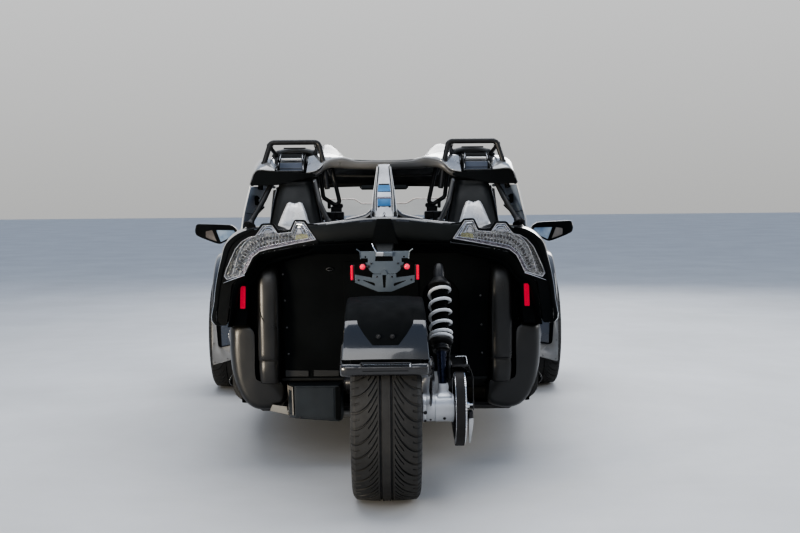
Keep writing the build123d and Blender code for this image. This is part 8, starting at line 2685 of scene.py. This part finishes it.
def steering_wheel():
    c, s = cos(radians(25)), sin(radians(25))
    O, X, Y, N = Vector((-SEAT_X, 60, 770)), Vector((1, 0, 0)), Vector((0, s, c)), Vector((0, -c, s))
    n, m = 96, 14
    verts, faces = [], []
    for i in range(n):
        a = 2 * pi * i / n
        d = X * cos(a) + Y * sin(a)
        fat = 13.0 + 1.0 * (abs(cos(a)) ** 6)
        for j in range(m):
            b = 2 * pi * j / m
            fin = 1.0 - 0.06 * (j in (4, 5, 6, 7, 8)) * (i % 4 == 0)
            verts.append(tuple(O + d * (168 + fat * cos(b) * fin) + N * (fat * sin(b) * fin)))
    for i in range(n):
        for j in range(m):
            faces.append((i * m + j, ((i + 1) % n) * m + j, ((i + 1) % n) * m + (j + 1) % m, i * m + (j + 1) % m))
    o = piece("steering_rim", verts, faces, "vinyl", "seat_vinyl", body="steering_wheel")
    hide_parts("steering_wheel")
    seam = [tuple(O + (X * cos(2 * pi * i / 96) + Y * sin(2 * pi * i / 96)) * 155.4) for i in range(96)]
    v, f = tube_mesh(seam, 1.3, 6, closed=True)
    piece("steering_rim_stitch", v, f, "stitch", "seat_vinyl", body="steering_wheel")
    parts = []
    for a in (0, 180, 270):
        d = X * cos(radians(a)) + Y * sin(radians(a))
        e = N.cross(d)
        rings = []
        for r, hw, z0, z1 in ((36, 21, -18, -2), (60, 18, -17, -3), (100, 14, -13, -3), (140, 12, -9, 0), (160, 11, -5, 4)):
            rings.append([tuple(O + d * r + e * p + N * q) for p, q in ((-hw, z0 + 3), (-hw + 3, z0), (hw - 3, z0), (hw, z0 + 3), (hw, z1 - 3), (hw - 3, z1), (-hw + 3, z1), (-hw, z1 - 3))])
        g = grid_from(rings, 1, 3, closed=True)
        nu = len(g[0])
        vv = [tuple(p) for rr in g for p in rr]
        ff = [(j * nu + i, j * nu + (i + 1) % nu, (j + 1) * nu + (i + 1) % nu, (j + 1) * nu + i) for j in range(len(g) - 1) for i in range(nu)]
        ff += [tuple(range(nu))[::-1], tuple((len(g) - 1) * nu + i for i in range(nu))]
        parts.append((vv, ff))
    v, f = join(parts)
    piece("steering_spokes", v, f, "alloy_black", "black_alloy", body="steering_wheel", sharp=40)
    v, f = lathe([(-21, 0.01), (-21, 46), (-14, 52), (2, 51), (7, 45), (9, 30), (9.5, 0.01)], tuple(O), tuple(N), 40)
    piece("steering_pad", v, f, "satin", "seat_vinyl", body="steering_wheel", sharp=40)
    parts = []
    for sx in (-1, 1):
        for k, dy in enumerate((-8, 8)):
            p = O + X * sx * 84 + Y * dy + N * 0.5
            parts.append(lathe([(-6, 0.01), (-6, 6), (2, 6), (3.2, 4.5), (3.4, 0.01)], tuple(p), tuple(N), 14))
    v, f = join(parts)
    piece("steering_buttons", v, f, "matte", "matte_black", body="steering_wheel", sharp=30)


steering_wheel()


def controls():
    # pedals, gear lever, hand brake and liners in the footwells
    parts, pads = [], []
    for x, w in ((-404, 52), (-322, 64), (-246, 46)):
        parts.append(tube_mesh([(x, 552, 470), (x, 520, 400), (x, 486, 330), (x, 476, 300)], 8, 10))
        pads.append(block((x, 470, 296), (w, 10, 70 if w < 60 else 54), 4))
        pads += [block((x, 464, 296 + dz), (w - 10, 4, 5), 1) for dz in (-18, -6, 6, 18)]
    v, f = join(parts)
    piece("pedal_arms", v, f, "dark_steel", "dark_steel")
    v, f = join(pads)
    bevel(piece("pedal_pads", v, f, "rubber", "matte_black"), 0.8, 2)
    rings = []
    for z, a, b in ((452, 46, 62), (462, 44, 60), (474, 32, 44), (486, 34, 46), (498, 22, 30), (510, 24, 32), (526, 12, 14)):
        n = 20
        rings.append([(a * cos(2 * pi * k / n), -40 + b * sin(2 * pi * k / n), z) for k in range(n)])
    solid_loft("gear_boot", rings, "vinyl", "seat_vinyl", ku=1, kv=4)
    v, f = tube_mesh([(0, -40, 515), (0, -46, 560), (0, -50, 596)], 7, 12)
    piece("gear_lever", v, f, "steel", "dark_steel")
    v, f = lathe([(-16, 8), (-14, 15), (0, 22), (16, 23), (28, 18), (33, 8), (34, 0.01)], (0, -51, 604), (0, -0.1, 1), 28)
    piece("gear_knob", v, f, "alloy_black", "black_alloy")
    v, f = tube_mesh([(0, -330, 452), (0, -300, 470), (0, -220, 500), (0, -180, 512)], [11, 10, 11, 12], 12)
    piece("hand_brake", v, f, "vinyl", "seat_vinyl")
    # tunnel cover with two cup holders
    rows = [[(x, y, z0 + dz) for x, dz in ((-70, -4), (-62, 0), (0, 2), (62, 0), (70, -4))] for y, z0 in ((-630, 436), (-400, 448), (-150, 464), (60, 480), (200, 540), (300, 590))]
    skin("tunnel_cover", rows, "satin", "matte_black", t=-4, ku=2, kv=4, edge=1.0)
    parts = [lathe([(0, 30), (0, 38), (6, 40), (8, 38), (8, 34), (2, 32), (-2, 30)], (0, y, z), (0, -0.06, 1), 36, close=True) for y, z in ((-470, 445), (-560, 440))]
    v, f = join(parts)
    piece("cup_rings", v, f, "alloy_black", "black_alloy", sharp=30)
    v, f = join([lathe([(0, 0.01), (0, 31), (2, 31), (2, 0.01)], (0, y, z), (0, -0.06, 1), 30) for y, z in ((-470, 446), (-560, 441))])
    piece("cup_wells", v, f, "matte_deep", "matte_black", sharp=30)
    for s, nm in ((-1, "left"), (1, "right")):
        rows = []
        for j, y in enumerate((-190, -60, 80, 220, 360, 470, 540)):
            z = 186 if y < 400 else 186 + (y - 400) * 0.55
            rows.append([(s * (130 + (500 - 130) * t), y, z + 1.6 * sin(t * 60)) for t in [i / 40 for i in range(41)]])
        skin("floor_mat_" + nm, rows, "rubber", "matte_black", t=-3 * s, ku=1, kv=2, edge=0)


controls()
